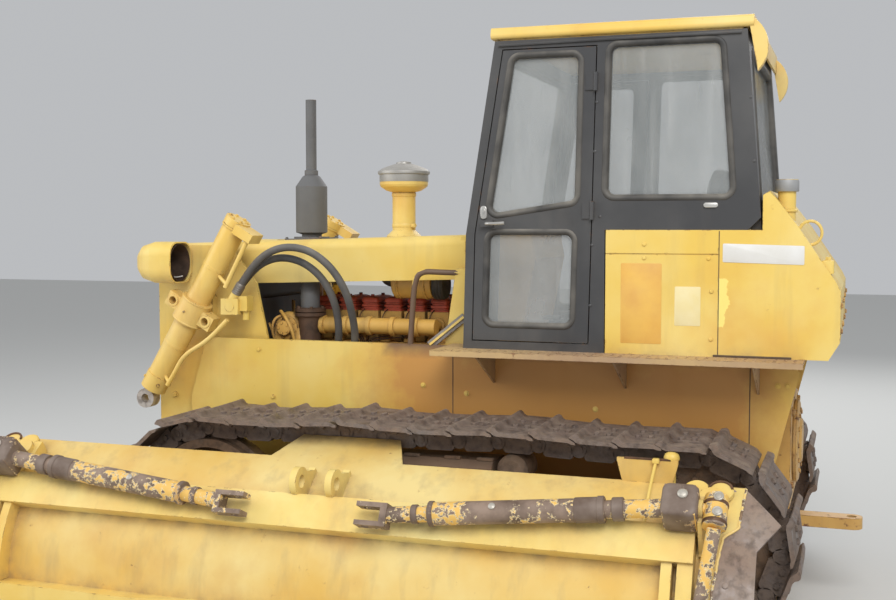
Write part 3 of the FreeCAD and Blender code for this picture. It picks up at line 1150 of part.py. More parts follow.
def make_cab_glass():
    """Fixed panes: two rear side windows, windscreen, low lights and rear screen."""
    panes = [pane(REAR_WINDOW, side * (CAB_OUTER - CAB_WALL / 2.0)) for side in (-1.0, 1.0)]
    half = CAB_WALL / 2.0
    for hole, x_of, shift in ((FRONT_SCREEN, front_x, -half), (LOW_LIGHTS[0], front_x, -half),
                              (LOW_LIGHTS[1], front_x, -half), (REAR_SCREEN, rear_x, half)):
        points = [(x_of(z) + shift, y, z) for y, z in inset(hole, RUN_FIT)]
        sheet = Part.Face(rounded_wire(points, WINDOW_ROUND - RUN_FIT)).extrude(V(GLASS, 0, 0))
        sheet.translate(V(-GLASS / 2.0, 0, 0))
        panes.append(sheet)
    return Part.makeCompound(panes)


def make_roof():
    """Sheet roof with soft edges, a lip over the rear screen and a crescent down each rear pillar."""
    half, low = CAB_OUTER + ROOF_OVERHANG, CAB_TOP + ROOF_GAP
    slab = rounded_prism_x(((-half, low), (half, low), (half - 14.0, ROOF_TOP), (-half + 14.0, ROOF_TOP)),
                           ROOF_THICK * 0.3, ROOF_REAR_X, ROOF_FRONT_X)
    foot = box(CAB_REAR_TOP_X + 20.0, CAB_FRONT_TOP_X - 20.0, -CAB_OUTER + 8.0, CAB_OUTER - 8.0,
               CAB_TOP, low + 2.0)
    inner = CAB_OUTER - CRESCENT_THICK
    lip = box(ROOF_REAR_X, ROOF_REAR_X + 12.0, -inner, inner, CAB_TOP - 34.0, low + 10.0)
    pieces = [slab, foot, lip]
    tip = V(ROOF_REAR_X - 20.0, 0, ROOF_TOP - CRESCENT_DROP)
    bulge = V(ROOF_REAR_X - CRESCENT_WIDTH, 0, ROOF_TOP - CRESCENT_DROP * 0.42)
    root = V(ROOF_REAR_X + 30.0, 0, ROOF_TOP - 3.0)
    inside = V(ROOF_REAR_X + 18.0, 0, low + 2.0)
    crescent = Part.Face(Part.Wire([Part.Arc(root, bulge, tip).toShape(), Part.LineSegment(tip, inside).toShape(),
                                    Part.LineSegment(inside, root).toShape()]))
    for y in (inner, -CAB_OUTER - 8.0):
        blade = crescent.extrude(V(0, CRESCENT_THICK + 8.0, 0))
        blade.translate(V(0, y, 0))
        pieces.append(blade)
    return joined(pieces)


def make_seat():
    """Seat cushion, back and pedestal."""
    top = DECK_TOP + SEAT_RISE
    rear, front = SEAT_X - SEAT_LENGTH / 2.0, SEAT_X + SEAT_LENGTH / 2.0
    base = box(rear + 70.0, front - 110.0, -SEAT_HALF * 0.68, SEAT_HALF * 0.68, DECK_TOP, top)
    cushion = rounded_prism_y(((rear, top), (front, top), (front, top + CUSHION), (rear, top + CUSHION)),
                              CUSHION * 0.42, -SEAT_HALF, SEAT_HALF)
    high = top + CUSHION - 20.0 + SEAT_BACK_HEIGHT
    back = rounded_prism_y(((rear, top + CUSHION - 20.0), (rear + CUSHION, top + CUSHION - 20.0),
                            (rear + 20.0, high), (rear - 90.0, high)), 45.0, -SEAT_HALF + 10.0, SEAT_HALF - 10.0)
    return joined([base, cushion, back])


def make_controls():
    """Dash console behind the front wall, with steering levers."""
    behind = CAB_WALL + RUN_FIT
    top = DECK_TOP + DASH_TOP_RISE
    foot_x = front_x(DECK_TOP) - behind
    outline = ((foot_x, DECK_TOP), (front_x(CAB_KINK_Z) - behind, CAB_KINK_Z), (front_x(top) - behind, top),
               (foot_x - DASH_DEPTH, top - 20.0), (foot_x - DASH_DEPTH - 25.0, top - 160.0),
               (foot_x - DASH_DEPTH + 60.0, DECK_TOP))
    pieces = [prism_y(outline, -DASH_HALF, DASH_HALF)]
    root = foot_x - DASH_DEPTH + 10.0
    for y in LEVER_Y:
        pieces.append(rod((root, y, top - 90.0), (root - 125.0, y, top + 70.0), LEVER_R))
        pieces.append(rod((root - 123.0, y, top + 67.0), (root - 135.0, y, top + 83.0), LEVER_R * 2.2))
    return joined(pieces)


def beside_lift(side, along0, along1, across0, across1, y0, y1):
    """A block lined up with the lift cylinder: spans along it, across it, and out from it."""
    corners = [lift_point(along0, across0), lift_point(along0, across1), lift_point(along1, across1),
               lift_point(along1, across0)]
    low, high = span(side * (LIFT_Y + y0), side * (LIFT_Y + y1))
    return prism_y(corners, low, high)


def make_lift_barrel(side):
    """Barrel with its trunnion collar, gland, top fitting and the steel pipes along it."""
    lean = math.radians(LIFT_LEAN)
    down = V(math.sin(lean), 0, -math.cos(lean))
    top = V(LIFT_TOP_X, side * LIFT_Y, LIFT_TOP_Z)
    at = LIFT_TRUNNION_AT
    half = LIFT_COLLAR_LENGTH / 2.0
    pieces = [Part.makeCylinder(LIFT_SLEEVE_R, LIFT_SLEEVE_LENGTH, top, down),
              Part.makeCylinder(LIFT_SLEEVE_R + 5.0, 44.0, top, down),
              Part.makeCylinder(LIFT_GLAND_R, LIFT_GLAND_LENGTH, top + down * (LIFT_SLEEVE_LENGTH - 2.0), down),
              Part.makeCylinder(LIFT_COLLAR_R, 2.0 * half, top + down * (at - half), down)]
    tx, tz = lift_point(at)
    pieces.append(rod((tx, side * (LIFT_BOSS_Y + RUN_FIT), tz), (tx, side * (LIFT_Y - 60.0), tz), LIFT_TRUNNION_R))
    boss = LIFT_BOSS_HALF
    holes = []
    for way in (-1.0, 1.0):
        reach = span(way * LIFT_SLEEVE_R * 0.9, way * (LIFT_BOSS_OUT + boss))
        pieces.append(beside_lift(side, at - boss, at + boss, reach[0], reach[1], -boss, boss))
        bx, bz = lift_point(at, way * LIFT_BOSS_OUT)
        holes.append(rod((bx, side * (LIFT_Y - boss - 5.0), bz), (bx, side * (LIFT_Y + boss + 5.0), bz),
                         LIFT_BOSS_HOLE_R))
    pieces.append(beside_lift(side, 8.0, 62.0, -LIFT_SLEEVE_R - 95.0, -LIFT_SLEEVE_R * 0.6, -28.0,
                              PIPE_ASIDE + 20.0))
    for route in LIFT_PIPES:
        points = [(lift_point(along, across)[0], side * (LIFT_Y + PIPE_ASIDE), lift_point(along, across)[1])
                  for along, across in route]
        wire = rounded_path(points)
        start = V(*points[0])
        circle = Part.Wire(Part.makeCircle(PIPE_R, start, V(*points[1]) - start))
        pieces.append(wire.makePipeShell([circle], True, False))
        along, across = route[-1]
        fx, fz = lift_point(along - 20.0, across)
        cx, cz = lift_point(along - 20.0)
        pieces.append(rod((fx, side * (LIFT_Y + PIPE_ASIDE), fz), (lerp(fx, cx, 0.7), side * (LIFT_Y + 20.0),
                                                                    lerp(fz, cz, 0.7)), PIPE_R - 3.0))
    body = joined(pieces)
    for hole in holes:
        body = body.cut(hole)
    bore = Part.makeCylinder(LIFT_BORE_R, LIFT_SLEEVE_LENGTH - 50.0, top + down * 40.0, down)
    neck = Part.makeCylinder(LIFT_ROD_R + LIFT_ROD_FIT, 400.0, top + down * (LIFT_SLEEVE_LENGTH - 60.0), down)
    return body.cut(bore).cut(neck)


def make_valve_blocks():
    """Steel blocks on the guard's sides that feed the lift cylinders, with the hoses' unions."""
    middle_x, middle_z = sum(BLOCK_X) / 2.0, sum(BLOCK_Z) / 2.0
    pieces = [box(*BLOCK_X, *BLOCK_Y, *BLOCK_Z),
              box(BLOCK_X[0] + 18.0, BLOCK_X[1] - 18.0, GUARD_HALF, BLOCK_Y[0] + 4.0, BLOCK_Z[0] + 14.0,
                  BLOCK_Z[1] - 14.0),
              box(BLOCK_X[0] - 46.0, BLOCK_X[0] + 10.0, BLOCK_Y[0] + 14.0, BLOCK_Y[1] - 22.0, BLOCK_Z[0] + 20.0,
                  BLOCK_Z[1] + 14.0),
              rod((middle_x, BLOCK_Y[1] - 5.0, middle_z), (middle_x, BLOCK_Y[1] + 2.0, middle_z), 28.0),
              rod((BLOCK_X[0] - 22.0, sum(BLOCK_Y) / 2.0, BLOCK_Z[0] + 25.0),
                  (BLOCK_X[0] - 22.0, sum(BLOCK_Y) / 2.0, BLOCK_Z[0] - 30.0), 20.0)]
    for name, route in HOSE_ROUTES:
        start, heading = V(*route[0]), (V(*route[1]) - V(*route[0])).normalize()
        pieces.append(Part.makeCylinder(UNION_R, UNION_LENGTH, start - heading * UNION_LENGTH, heading))
    block = joined(pieces)
    return Part.makeCompound([block, mirrored(block)])


def make_hose_feet(side):
    """The unions at the hoses' lower ends and the pipes that carry them from the main rail."""
    pieces = []
    for name, route in HOSE_ROUTES:
        end, before = V(*route[-1]), V(*route[-2])
        heading = (end - before).normalize()
        foot = end + heading * UNION_LENGTH
        pieces.append(Part.makeCylinder(UNION_R, UNION_LENGTH, end, heading))
        pieces.append(Part.makeCylinder(HOSE_PIPE_R, foot.z - RAIL_TOP + 20.0,
                                        V(foot.x, foot.y, RAIL_TOP - 10.0), V(0, 0, 1)))
    feet = joined(pieces)
    return feet if side > 0 else mirrored(feet)


def make_lift_rod(side):
    """Piston, rod and the eye at its lower end."""
    lean = math.radians(LIFT_LEAN)
    down = V(math.sin(lean), 0, -math.cos(lean))
    top = V(LIFT_TOP_X, side * LIFT_Y, LIFT_TOP_Z)
    piston = Part.makeCylinder(LIFT_BORE_R - 0.5, 45.0, top + down * 48.0, down)
    shaft = Part.makeCylinder(LIFT_ROD_R, LIFT_EYE_AT - LIFT_EYE_R + 10.0 - 60.0, top + down * 60.0, down)
    ex, ez = lift_point(LIFT_EYE_AT)
    half = LIFT_EYE_WIDTH / 2.0
    eye = rod((ex, side * LIFT_Y - half, ez), (ex, side * LIFT_Y + half, ez), LIFT_EYE_R)
    hole = rod((ex, side * LIFT_Y - half - 5.0, ez), (ex, side * LIFT_Y + half + 5.0, ez), LIFT_EYE_BORE_R)
    return joined([piston, shaft, eye]).cut(hole)


def rounded_path(points):
    """Straight runs joined by tangent arcs."""
    pts = [V(*p) for p in points]
    edges = []
    last = pts[0]
    for i in range(1, len(pts) - 1):
        back = pts[i - 1] - pts[i]
        ahead = pts[i + 1] - pts[i]
        turn = math.pi - back.getAngle(ahead)
        reach = 0.45 * min(back.Length, ahead.Length)
        radius = reach / math.tan(turn / 2.0)
        b, a = back.normalize(), ahead.normalize()
        start, end = pts[i] + b * reach, pts[i] + a * reach
        middle = pts[i] + (a + b).normalize() * (radius / math.cos(turn / 2.0) - radius)
        edges.append(Part.LineSegment(last, start).toShape())
        edges.append(Part.Arc(start, middle, end).toShape())
        last = end
    edges.append(Part.LineSegment(last, pts[-1]).toShape())
    return Part.Wire(edges)


def make_hose(route, side):
    """One hydraulic hose as a plain tube along its route."""
    points = [(x, side * y, z) for x, y, z in route]
    wire = rounded_path(points)
    start = V(*points[0])
    circle = Part.Wire(Part.makeCircle(HOSE_R, start, V(*points[1]) - start))
    return wire.makePipeShell([circle], True, False)


# The blade is built in its own plane: along = X, up = Z at no lean, back = +Y, its foot at the
# origin. It leans until its raised guard rests on the outside of the track's upper links.
BLADE_HALF = BLADE_LENGTH / 2.0
BLADE_HALF_ANGLE = math.degrees(math.asin(BLADE_CHORD / 2.0 / BLADE_R))
BLADE_BACK_R = BLADE_R + BLADE_PLATE
EDGE_ANGLE = math.degrees(EDGE_HEIGHT / BLADE_R)
TOP_LEAN = math.radians(BLADE_HALF_ANGLE)
GUARD_TOP = (-math.sin(TOP_LEAN) * HUMP_RISE, BLADE_CHORD + math.cos(TOP_LEAN) * HUMP_RISE)
GUARD_REACH = math.hypot(*GUARD_TOP)
REST_Z = min(CARRIER_PITCH_Z - TOP_SAG - LINK_RAIL / 2.0, 0.96 * GUARD_REACH)
REST_TILT = math.acos(REST_Z / GUARD_REACH)
BLADE_LEAN = math.degrees(REST_TILT - math.atan2(-GUARD_TOP[0], GUARD_TOP[1]))
ON_LINKS_Y = TRACK_Y + LINKS_HALF + REST_FIT + GUARD_REACH * math.sin(REST_TILT)
PAST_SHOES_Y = TRACK_Y + SHOE_WIDTH / 2.0 + REST_FIT + BLADE_CHORD * math.sin(math.radians(BLADE_LEAN))
BLADE_FOOT_Y = max(ON_LINKS_Y, PAST_SHOES_Y)


def blade_place(shape):
    """Lean the blade towards the track and set its edge on the ground."""
    shape = shape.copy()
    shape.rotate(V(0, 0, 0), V(1, 0, 0), BLADE_LEAN)
    shape.translate(V(BLADE_MID_X, BLADE_FOOT_Y, 0))
    return shape


def blade_arc_point(angle, radius):
    """(y, z) on the blade's curve, the angle counted from its middle."""
    cy, cz = -BLADE_R * math.cos(TOP_LEAN), BLADE_R * math.sin(TOP_LEAN)
    return cy + radius * math.cos(math.radians(angle)), cz + radius * math.sin(math.radians(angle))


def arc_strip(angle0, angle1, r_inner, r_outer, x0, x1):
    """A curved plate between two angles of the blade's arc, pulled along X."""
    def at(angle, radius):
        y, z = blade_arc_point(angle, radius)
        return V(x0, y, z)
    mid = (angle0 + angle1) / 2.0
    wire = Part.Wire([Part.Arc(at(angle0, r_outer), at(mid, r_outer), at(angle1, r_outer)).toShape(),
                      Part.LineSegment(at(angle1, r_outer), at(angle1, r_inner)).toShape(),
                      Part.Arc(at(angle1, r_inner), at(mid, r_inner), at(angle0, r_inner)).toShape(),
                      Part.LineSegment(at(angle0, r_inner), at(angle0, r_outer)).toShape()])
    return Part.Face(wire).extrude(V(x1 - x0, 0, 0))


def make_moldboard():
    """Rolled plate with the raised guard at the middle of its top edge, and a keeper plate."""
    plate = arc_strip(-BLADE_HALF_ANGLE + EDGE_ANGLE * 0.35, BLADE_HALF_ANGLE, BLADE_R, BLADE_BACK_R,
                      -BLADE_HALF, BLADE_HALF)
    y, z = blade_arc_point(BLADE_HALF_ANGLE, BLADE_R)
    along = (-math.sin(TOP_LEAN), math.cos(TOP_LEAN))
    back = (math.cos(TOP_LEAN), math.sin(TOP_LEAN))
    outline = [V(x, y + along[0] * up, z + along[1] * up)
               for x, up in ((-HUMP_BASE_REAR, -2.0), (HUMP_BASE_FRONT, -2.0), (HUMP_TOP_HALF, HUMP_RISE),
                             (-HUMP_TOP_HALF, HUMP_RISE))]
    hump = Part.Face(Part.makePolygon(outline + outline[:1])).extrude(
        V(0, back[0] * BLADE_PLATE, back[1] * BLADE_PLATE))
    board = blade_place(joined([plate, hump]))
    edge = board.BoundBox.YMin
    lean = math.radians(BLADE_LEAN)
    edge_y = BLADE_FOOT_Y - BLADE_CHORD * math.sin(lean)
    edge_z = BLADE_CHORD * math.cos(lean)
    x0 = BLADE_MID_X - BLADE_HALF + KEEPER_IN
    keeper = prism_x(((edge_y + 1.0, edge_z + 2.0), (edge_y + 1.0 + KEEPER_PLATE, edge_z + 2.0),
                      (edge_y + 1.0 + KEEPER_PLATE, edge_z + KEEPER_HEIGHT), (edge_y + 1.0, edge_z + KEEPER_HEIGHT)),
                     x0, x0 + KEEPER_LENGTH)
    corner = prism_y(((x0 - 5.0, edge_z - 5.0), (x0 + 30.0, edge_z - 5.0), (x0 - 5.0, edge_z + KEEPER_HEIGHT)),
                     edge, BLADE_FOOT_Y)
    other = prism_y(((x0 + KEEPER_LENGTH + 5.0, edge_z - 5.0), (x0 + KEEPER_LENGTH - 30.0, edge_z - 5.0),
                     (x0 + KEEPER_LENGTH + 5.0, edge_z + KEEPER_HEIGHT)), edge, BLADE_FOOT_Y)
    return joined([board, keeper.cut(corner).cut(other)])


def make_cutting_edge():
    """Bolted edge along the foot, on the hollow side, and the pointed plates at both ends."""
    edge = arc_strip(-BLADE_HALF_ANGLE, -BLADE_HALF_ANGLE + EDGE_ANGLE, BLADE_R - EDGE_THICK, BLADE_R - RUN_FIT,
                     -BLADE_HALF, BLADE_HALF)
    solids = [blade_place(edge)]
    for side in (-1.0, 1.0):
        def at(out, z):
            return side * (BLADE_HALF + out), z
        outline = (at(-END_PLATE_IN * 0.2, BLADE_CHORD - 6.0), at(0.0, BLADE_CHORD - 2.0),
                   at(END_POINT_OUT, BLADE_CHORD - END_POINT_DROP), at(END_FOOT_OUT, BLADE_CHORD - END_POINT_FOOT),
                   at(END_FOOT_OUT, EDGE_HEIGHT * 0.4), at(-END_PLATE_IN, EDGE_HEIGHT * 0.4),
                   at(-END_PLATE_IN, BLADE_CHORD - END_POINT_FOOT))
        space = prism_y(outline, -BLADE_CHORD, BLADE_CHORD)
        x0, x1 = span(side * (BLADE_HALF - END_PLATE_IN - 5.0), side * (BLADE_HALF + END_POINT_OUT + 5.0))
        curved = arc_strip(-BLADE_HALF_ANGLE, BLADE_HALF_ANGLE, BLADE_BACK_R + RUN_FIT,
                           BLADE_BACK_R + RUN_FIT + END_PLATE, x0, x1)
        solids.append(blade_place(curved.common(space)))
    return Part.makeCompound(solids)


def plate_on_back(foot0, foot1, top0, top1, reach, x, width):
    """A flat plate standing on the blade's back between two pairs of angles."""
    corners = [blade_arc_point(foot0, BLADE_BACK_R + 15.0), blade_arc_point(top0, BLADE_BACK_R + reach),
               blade_arc_point(top1, BLADE_BACK_R + reach), blade_arc_point(foot1, BLADE_BACK_R + 15.0)]
    return prism_x(corners, x, x + width)


def ear_on_back(x, width, angle, out, radius, hole_r):
    """A round-nosed ear standing on the blade's back, with a pin hole along X."""
    cy, cz = blade_arc_point(angle, BLADE_BACK_R + out)
    nose = rod((x, cy, cz), (x + width, cy, cz), radius)
    foot = arc_strip(angle - CLEVIS_HALF_SPAN, angle + CLEVIS_HALF_SPAN, BLADE_BACK_R - 5.0,
                     BLADE_BACK_R + 30.0, x, x + width)
    web = plate_on_back(angle - CLEVIS_HALF_SPAN, angle + CLEVIS_HALF_SPAN, angle - 4.0, angle + 4.0, out, x, width)
    hole = rod((x - 5.0, cy, cz), (x + width + 5.0, cy, cz), hole_r)
    face = arc_strip(-BLADE_HALF_ANGLE, BLADE_HALF_ANGLE + 8.0, BLADE_R - 60.0, BLADE_BACK_R, x - 10.0,
                     x + width + 10.0)
    return joined([nose, foot, web]).cut(hole).cut(face)


def brace_x(side):
    """Where along the blade a brace's block sits."""
    return side * (BLADE_HALF - BRACE_IN)


def make_blade_back():
    """Box ribs welded to the back, upright ribs near both ends, the centre clevis and the brace ears."""
    outer = BLADE_BACK_R
    rib = math.degrees(RIB_HEIGHT / outer)
    ends = BLADE_HALF - END_RIB_IN
    pieces = [arc_strip(TOP_RIB_ANGLE, TOP_RIB_ANGLE + rib, outer, outer + RIB_DEPTH, -ends, ends)]
    foot_half = BLADE_HALF - END_PLATE_IN - 12.0
    pieces.append(arc_strip(LOW_RIB_ANGLE, LOW_RIB_ANGLE + rib, outer, outer + RIB_DEPTH, -foot_half, foot_half))
    for side in (-1.0, 1.0):
        for rib_in, width in ((END_RIB_IN, END_RIB_WIDTH), (SECOND_RIB_IN, SECOND_RIB_WIDTH)):
            x0, x1 = span(side * (BLADE_HALF - rib_in), side * (BLADE_HALF - rib_in - width))
            pieces.append(arc_strip(-33.0, 30.0, outer, outer + RIB_DEPTH * 0.8, x0, x1))
        for lobe_in in EAR_IN:
            x = side * (BLADE_HALF - lobe_in)
            lobe = rod((x, *blade_arc_point(EAR_ANGLE, BLADE_R)),
                       (x, *blade_arc_point(EAR_ANGLE, outer + EAR_OUT)), EAR_R)
            pieces.append(lobe.cut(arc_strip(-BLADE_HALF_ANGLE, BLADE_HALF_ANGLE + 8.0, BLADE_R - 60.0, outer,
                                             x - 90.0, x + 90.0)))
        x = side * (CLEVIS_GAP + CLEVIS_EAR) / 2.0 - CLEVIS_EAR / 2.0
        pieces.append(ear_on_back(x, CLEVIS_EAR, CLEVIS_ANGLE, CLEVIS_REACH, CLEVIS_R, CLEVIS_BORE_R))
        x, half = brace_x(side), BLOCK_SIZE / 2.0
        outside = span(x + side * (half + 4.0), x + side * (half + 4.0 + PIVOT_PLATE))
        pieces.append(ear_on_back(outside[0], PIVOT_PLATE, BRACE_ANGLE, BRACE_OUT, BLOCK_SIZE * 0.3,
                                  PIVOT_R + RUN_FIT))
        pieces.append(arc_strip(BRACE_ANGLE - 4.0, BRACE_ANGLE + 4.0, outer, outer + BRACE_OUT - half - RUN_FIT,
                                x - half, x + half))
    return blade_place(joined(pieces))


def make_brace(side):
    """Angling brace folded flat along the back: pivot block, knuckle, strut, tube and fork."""
    inward = -side
    x = brace_x(side)
    y, z = blade_arc_point(BRACE_ANGLE, BLADE_BACK_R + BRACE_OUT)
    tip_y, tip_z = blade_arc_point(BRACE_TIP_ANGLE, BLADE_BACK_R + BRACE_TIP_OUT)

    def at(along):
        share = along / BRACE_LENGTH
        return x + inward * along, lerp(y, tip_y, share), lerp(z, tip_z, share)

    half = BLOCK_SIZE / 2.0
    block = box(-half, half, -half, half, -half, half)
    block.rotate(V(0, 0, 0), V(1, 0, 0), BRACE_ANGLE)
    block.translate(V(x, y, z))
    outside = x + side * (half + 4.0 + PIVOT_PLATE + 6.0)
    pin = rod((x + inward * (half + PIVOT_PLATE + 10.0), y, z), (outside + side * 12.0, y, z), PIVOT_R)
    knuckle_x = side * (BLADE_HALF - STRUT_IN)
    low_y, low_z = blade_arc_point(BRACE_ANGLE - 5.0, BLADE_BACK_R + BRACE_OUT)
    high_y, high_z = blade_arc_point(BRACE_ANGLE + 4.0, BLADE_BACK_R + BRACE_OUT)
    knuckle = rod((knuckle_x, low_y, low_z), (knuckle_x, high_y, high_z), KNUCKLE_R)
    foot_y, foot_z = blade_arc_point(STRUT_FOOT_ANGLE, BLADE_BACK_R + STRUT_FOOT_OUT)
    foot_x = side * (BLADE_HALF - STRUT_FOOT_IN)
    strut = rod((knuckle_x, low_y, low_z), (foot_x, foot_y, foot_z), STRUT_R)
    lug = rod((foot_x, foot_y, foot_z), (foot_x, *blade_arc_point(STRUT_FOOT_ANGLE, BLADE_BACK_R + RUN_FIT)),
              STRUT_R * 0.8)
    tube = rod(at(BRACE_TUBE_START), at(BRACE_TUBE_END), BRACE_R)
    root = rod(at(half * 0.8), at(BRACE_TUBE_START), BRACE_NECK_R + 3.0)
    neck = rod(at(BRACE_TUBE_END), at(BRACE_LENGTH - 130.0), BRACE_NECK_R)
    tip_x, fork_y, fork_z = at(BRACE_LENGTH)
    heel_x0, heel_x1 = span(tip_x - inward * 150.0, tip_x - inward * 118.0)
    fork = [box(heel_x0, heel_x1, fork_y - 38.0, fork_y + 38.0, fork_z - 46.0, fork_z + 62.0)]
    prong_x0, prong_x1 = span(tip_x - inward * 120.0, tip_x)
    for low in (-46.0, 40.0):
        fork.append(box(prong_x0, prong_x1, fork_y - 38.0, fork_y + 38.0, fork_z + low, fork_z + low + 22.0))
    hole_x = tip_x - inward * 44.0
    hole = rod((hole_x, fork_y, fork_z - 60.0), (hole_x, fork_y, fork_z + 80.0), 20.0)
    return blade_place(joined([block, pin, knuckle, strut, lug, tube, root, neck] + fork).cut(hole))


def make_drawbar():
    """Swinging drawbar with its pin hole."""
    low, high = DRAWBAR_Z - DRAWBAR_THICK / 2.0, DRAWBAR_Z + DRAWBAR_THICK / 2.0
    rear = DRAWBAR_PIVOT_X - DRAWBAR_LENGTH
    bar = box(rear, DRAWBAR_PIVOT_X, -DRAWBAR_WIDTH / 2.0, DRAWBAR_WIDTH / 2.0, low, high)
    head = rod((DRAWBAR_PIVOT_X, 0, low), (DRAWBAR_PIVOT_X, 0, high), DRAWBAR_WIDTH * 0.73)
    nose = rod((rear, 0, low), (rear, 0, high), DRAWBAR_WIDTH / 2.0)
    bar = joined([bar, head, nose])
    bar = bar.cut(rod((DRAWBAR_PIVOT_X, 0, low - 5.0), (DRAWBAR_PIVOT_X, 0, high + 5.0),
                      DRAWBAR_PIN_R + DRAWBAR_PIN_FIT))
    return bar.cut(rod((rear, 0, low - 5.0), (rear, 0, high + 5.0), DRAWBAR_EYE_R))


def build_all():
    """Every sub-part by name."""
    parts = {}
    for name, shape in (("track", make_track()), ("idler", make_idler()), ("sprocket", make_sprocket()),
                        ("rollers", make_rollers()), ("track_frame", make_track_frame())):
        parts[name + "_l"] = shape
        parts[name + "_r"] = mirrored(shape)
    parts["hull"] = make_hull()
    parts["side_panels"] = make_side_panels()
    parts["radiator_guard"] = make_guard()
    parts["grille"] = make_grille()
    parts["radiator"] = make_radiator()
    parts["engine"] = make_engine()
    parts["hood"] = make_hood()
    parts["cowl"] = make_cowl()
    parts["exhaust"] = make_exhaust()
    parts["pre_cleaner"] = make_cleaner()
    parts["lamp_pods"] = make_lamps()
    parts["valve_blocks"] = make_valve_blocks()
    parts["deck"] = make_deck()
    parts["fuel_tank"] = make_tank()
    parts["cab_front"] = make_cab_front()
    parts["cab_rear"] = make_cab_rear()
    parts["cab_glass"] = make_cab_glass()
    parts["roof"] = make_roof()
    parts["seat"] = make_seat()
    parts["controls"] = make_controls()
    parts["drawbar"] = make_drawbar()
    parts["moldboard"] = make_moldboard()
    parts["blade_back"] = make_blade_back()
    parts["cutting_edge"] = make_cutting_edge()
    for tag, side in (("l", 1.0), ("r", -1.0)):
        parts["side_box_" + tag] = make_side_box(side)
        parts["cab_side_" + tag] = make_cab_side(side)
        parts["door_" + tag] = make_door(side)
        parts["door_glass_" + tag] = make_door_glass(side)
        parts["lift_barrel_" + tag] = make_lift_barrel(side)
        parts["lift_rod_" + tag] = make_lift_rod(side)
        for name, route in HOSE_ROUTES:
            parts["hose_" + name + "_" + tag] = make_hose(route, side)
        parts["blade_brace_" + ("front" if side > 0 else "rear")] = make_brace(side)
    return parts


def main():
    parts = build_all()
    whole = Part.makeCompound(list(parts.values())).BoundBox
    shift = V(-(whole.XMin + whole.XMax) / 2.0, -(whole.YMin + whole.YMax) / 2.0, 0)
    print("lowest", round(whole.ZMin, 3), "shift", round(shift.x, 3), round(shift.y, 3))
    os.makedirs("parts", exist_ok=True)
    for name, shape in sorted(parts.items()):
        shape.translate(shift)
        shape.exportStep("parts/" + name + ".step")
        print(name, "solids", len(shape.Solids), "valid", shape.isValid(), "volume", round(shape.Volume / 1e9, 5))


main()
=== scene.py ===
import math

import bmesh
import bpy
import numpy as np
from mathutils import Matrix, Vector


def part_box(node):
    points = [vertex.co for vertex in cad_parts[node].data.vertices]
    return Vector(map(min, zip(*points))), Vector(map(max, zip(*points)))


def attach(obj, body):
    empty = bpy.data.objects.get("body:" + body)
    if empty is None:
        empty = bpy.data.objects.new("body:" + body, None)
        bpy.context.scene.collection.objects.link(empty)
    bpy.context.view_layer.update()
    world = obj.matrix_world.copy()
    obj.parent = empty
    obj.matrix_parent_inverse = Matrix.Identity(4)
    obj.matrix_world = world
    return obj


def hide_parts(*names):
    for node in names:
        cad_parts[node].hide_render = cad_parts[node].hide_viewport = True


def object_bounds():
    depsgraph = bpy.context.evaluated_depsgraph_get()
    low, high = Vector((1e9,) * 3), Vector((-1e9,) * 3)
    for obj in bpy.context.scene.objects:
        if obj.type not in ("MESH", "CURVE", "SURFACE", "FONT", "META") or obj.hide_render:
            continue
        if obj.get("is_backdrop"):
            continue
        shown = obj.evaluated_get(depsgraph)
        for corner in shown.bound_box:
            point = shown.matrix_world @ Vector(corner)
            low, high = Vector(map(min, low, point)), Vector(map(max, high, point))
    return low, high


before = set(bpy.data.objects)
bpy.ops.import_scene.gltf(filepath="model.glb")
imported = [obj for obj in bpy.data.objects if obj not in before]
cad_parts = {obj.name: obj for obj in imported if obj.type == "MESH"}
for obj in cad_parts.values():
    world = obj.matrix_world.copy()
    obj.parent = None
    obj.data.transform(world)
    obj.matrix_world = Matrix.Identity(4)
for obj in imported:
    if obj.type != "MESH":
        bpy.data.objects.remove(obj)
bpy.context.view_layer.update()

# Machine axes
# The machine's own axes: X forward from the middle of its tracks, Y to its left from the
# centre plane, Z up from the ground. The muffler stands on the centre plane, so it says
# where these axes lie in the frame.
MUFFLER_X = 1.275
muffler_low, muffler_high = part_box("exhaust")
AXES_X = (muffler_low.x + muffler_high.x) / 2 - MUFFLER_X
AXES_Y = (muffler_low.y + muffler_high.y) / 2


def placed(points):
    """Points in the machine's axes, moved into the frame."""
    return np.asarray(points, float) + np.array([AXES_X, AXES_Y, 0.0])


# Viewpoint
# The photograph is taken by someone standing to the left of the machine's rear half, at
# about the height of its hood.
CAMERA_AT = (-1.885, 6.60, 2.00)
CAMERA_TURN = 19.1
CAMERA_DIP = 3.6
FOCAL_PIXELS = 1196
PICTURE_WIDTH = 896
SENSOR = 36.0
camera_data = bpy.data.cameras.new("camera")
camera_data.sensor_width = SENSOR
camera_data.lens = FOCAL_PIXELS / PICTURE_WIDTH * SENSOR
camera_data.clip_end = 200.0
camera = bpy.data.objects.new("camera", camera_data)
bpy.context.scene.collection.objects.link(camera)
camera.location = placed([CAMERA_AT])[0]
camera.rotation_euler = (math.radians(90 - CAMERA_DIP), 0, math.radians(180 + CAMERA_TURN))
bpy.context.scene.camera = camera

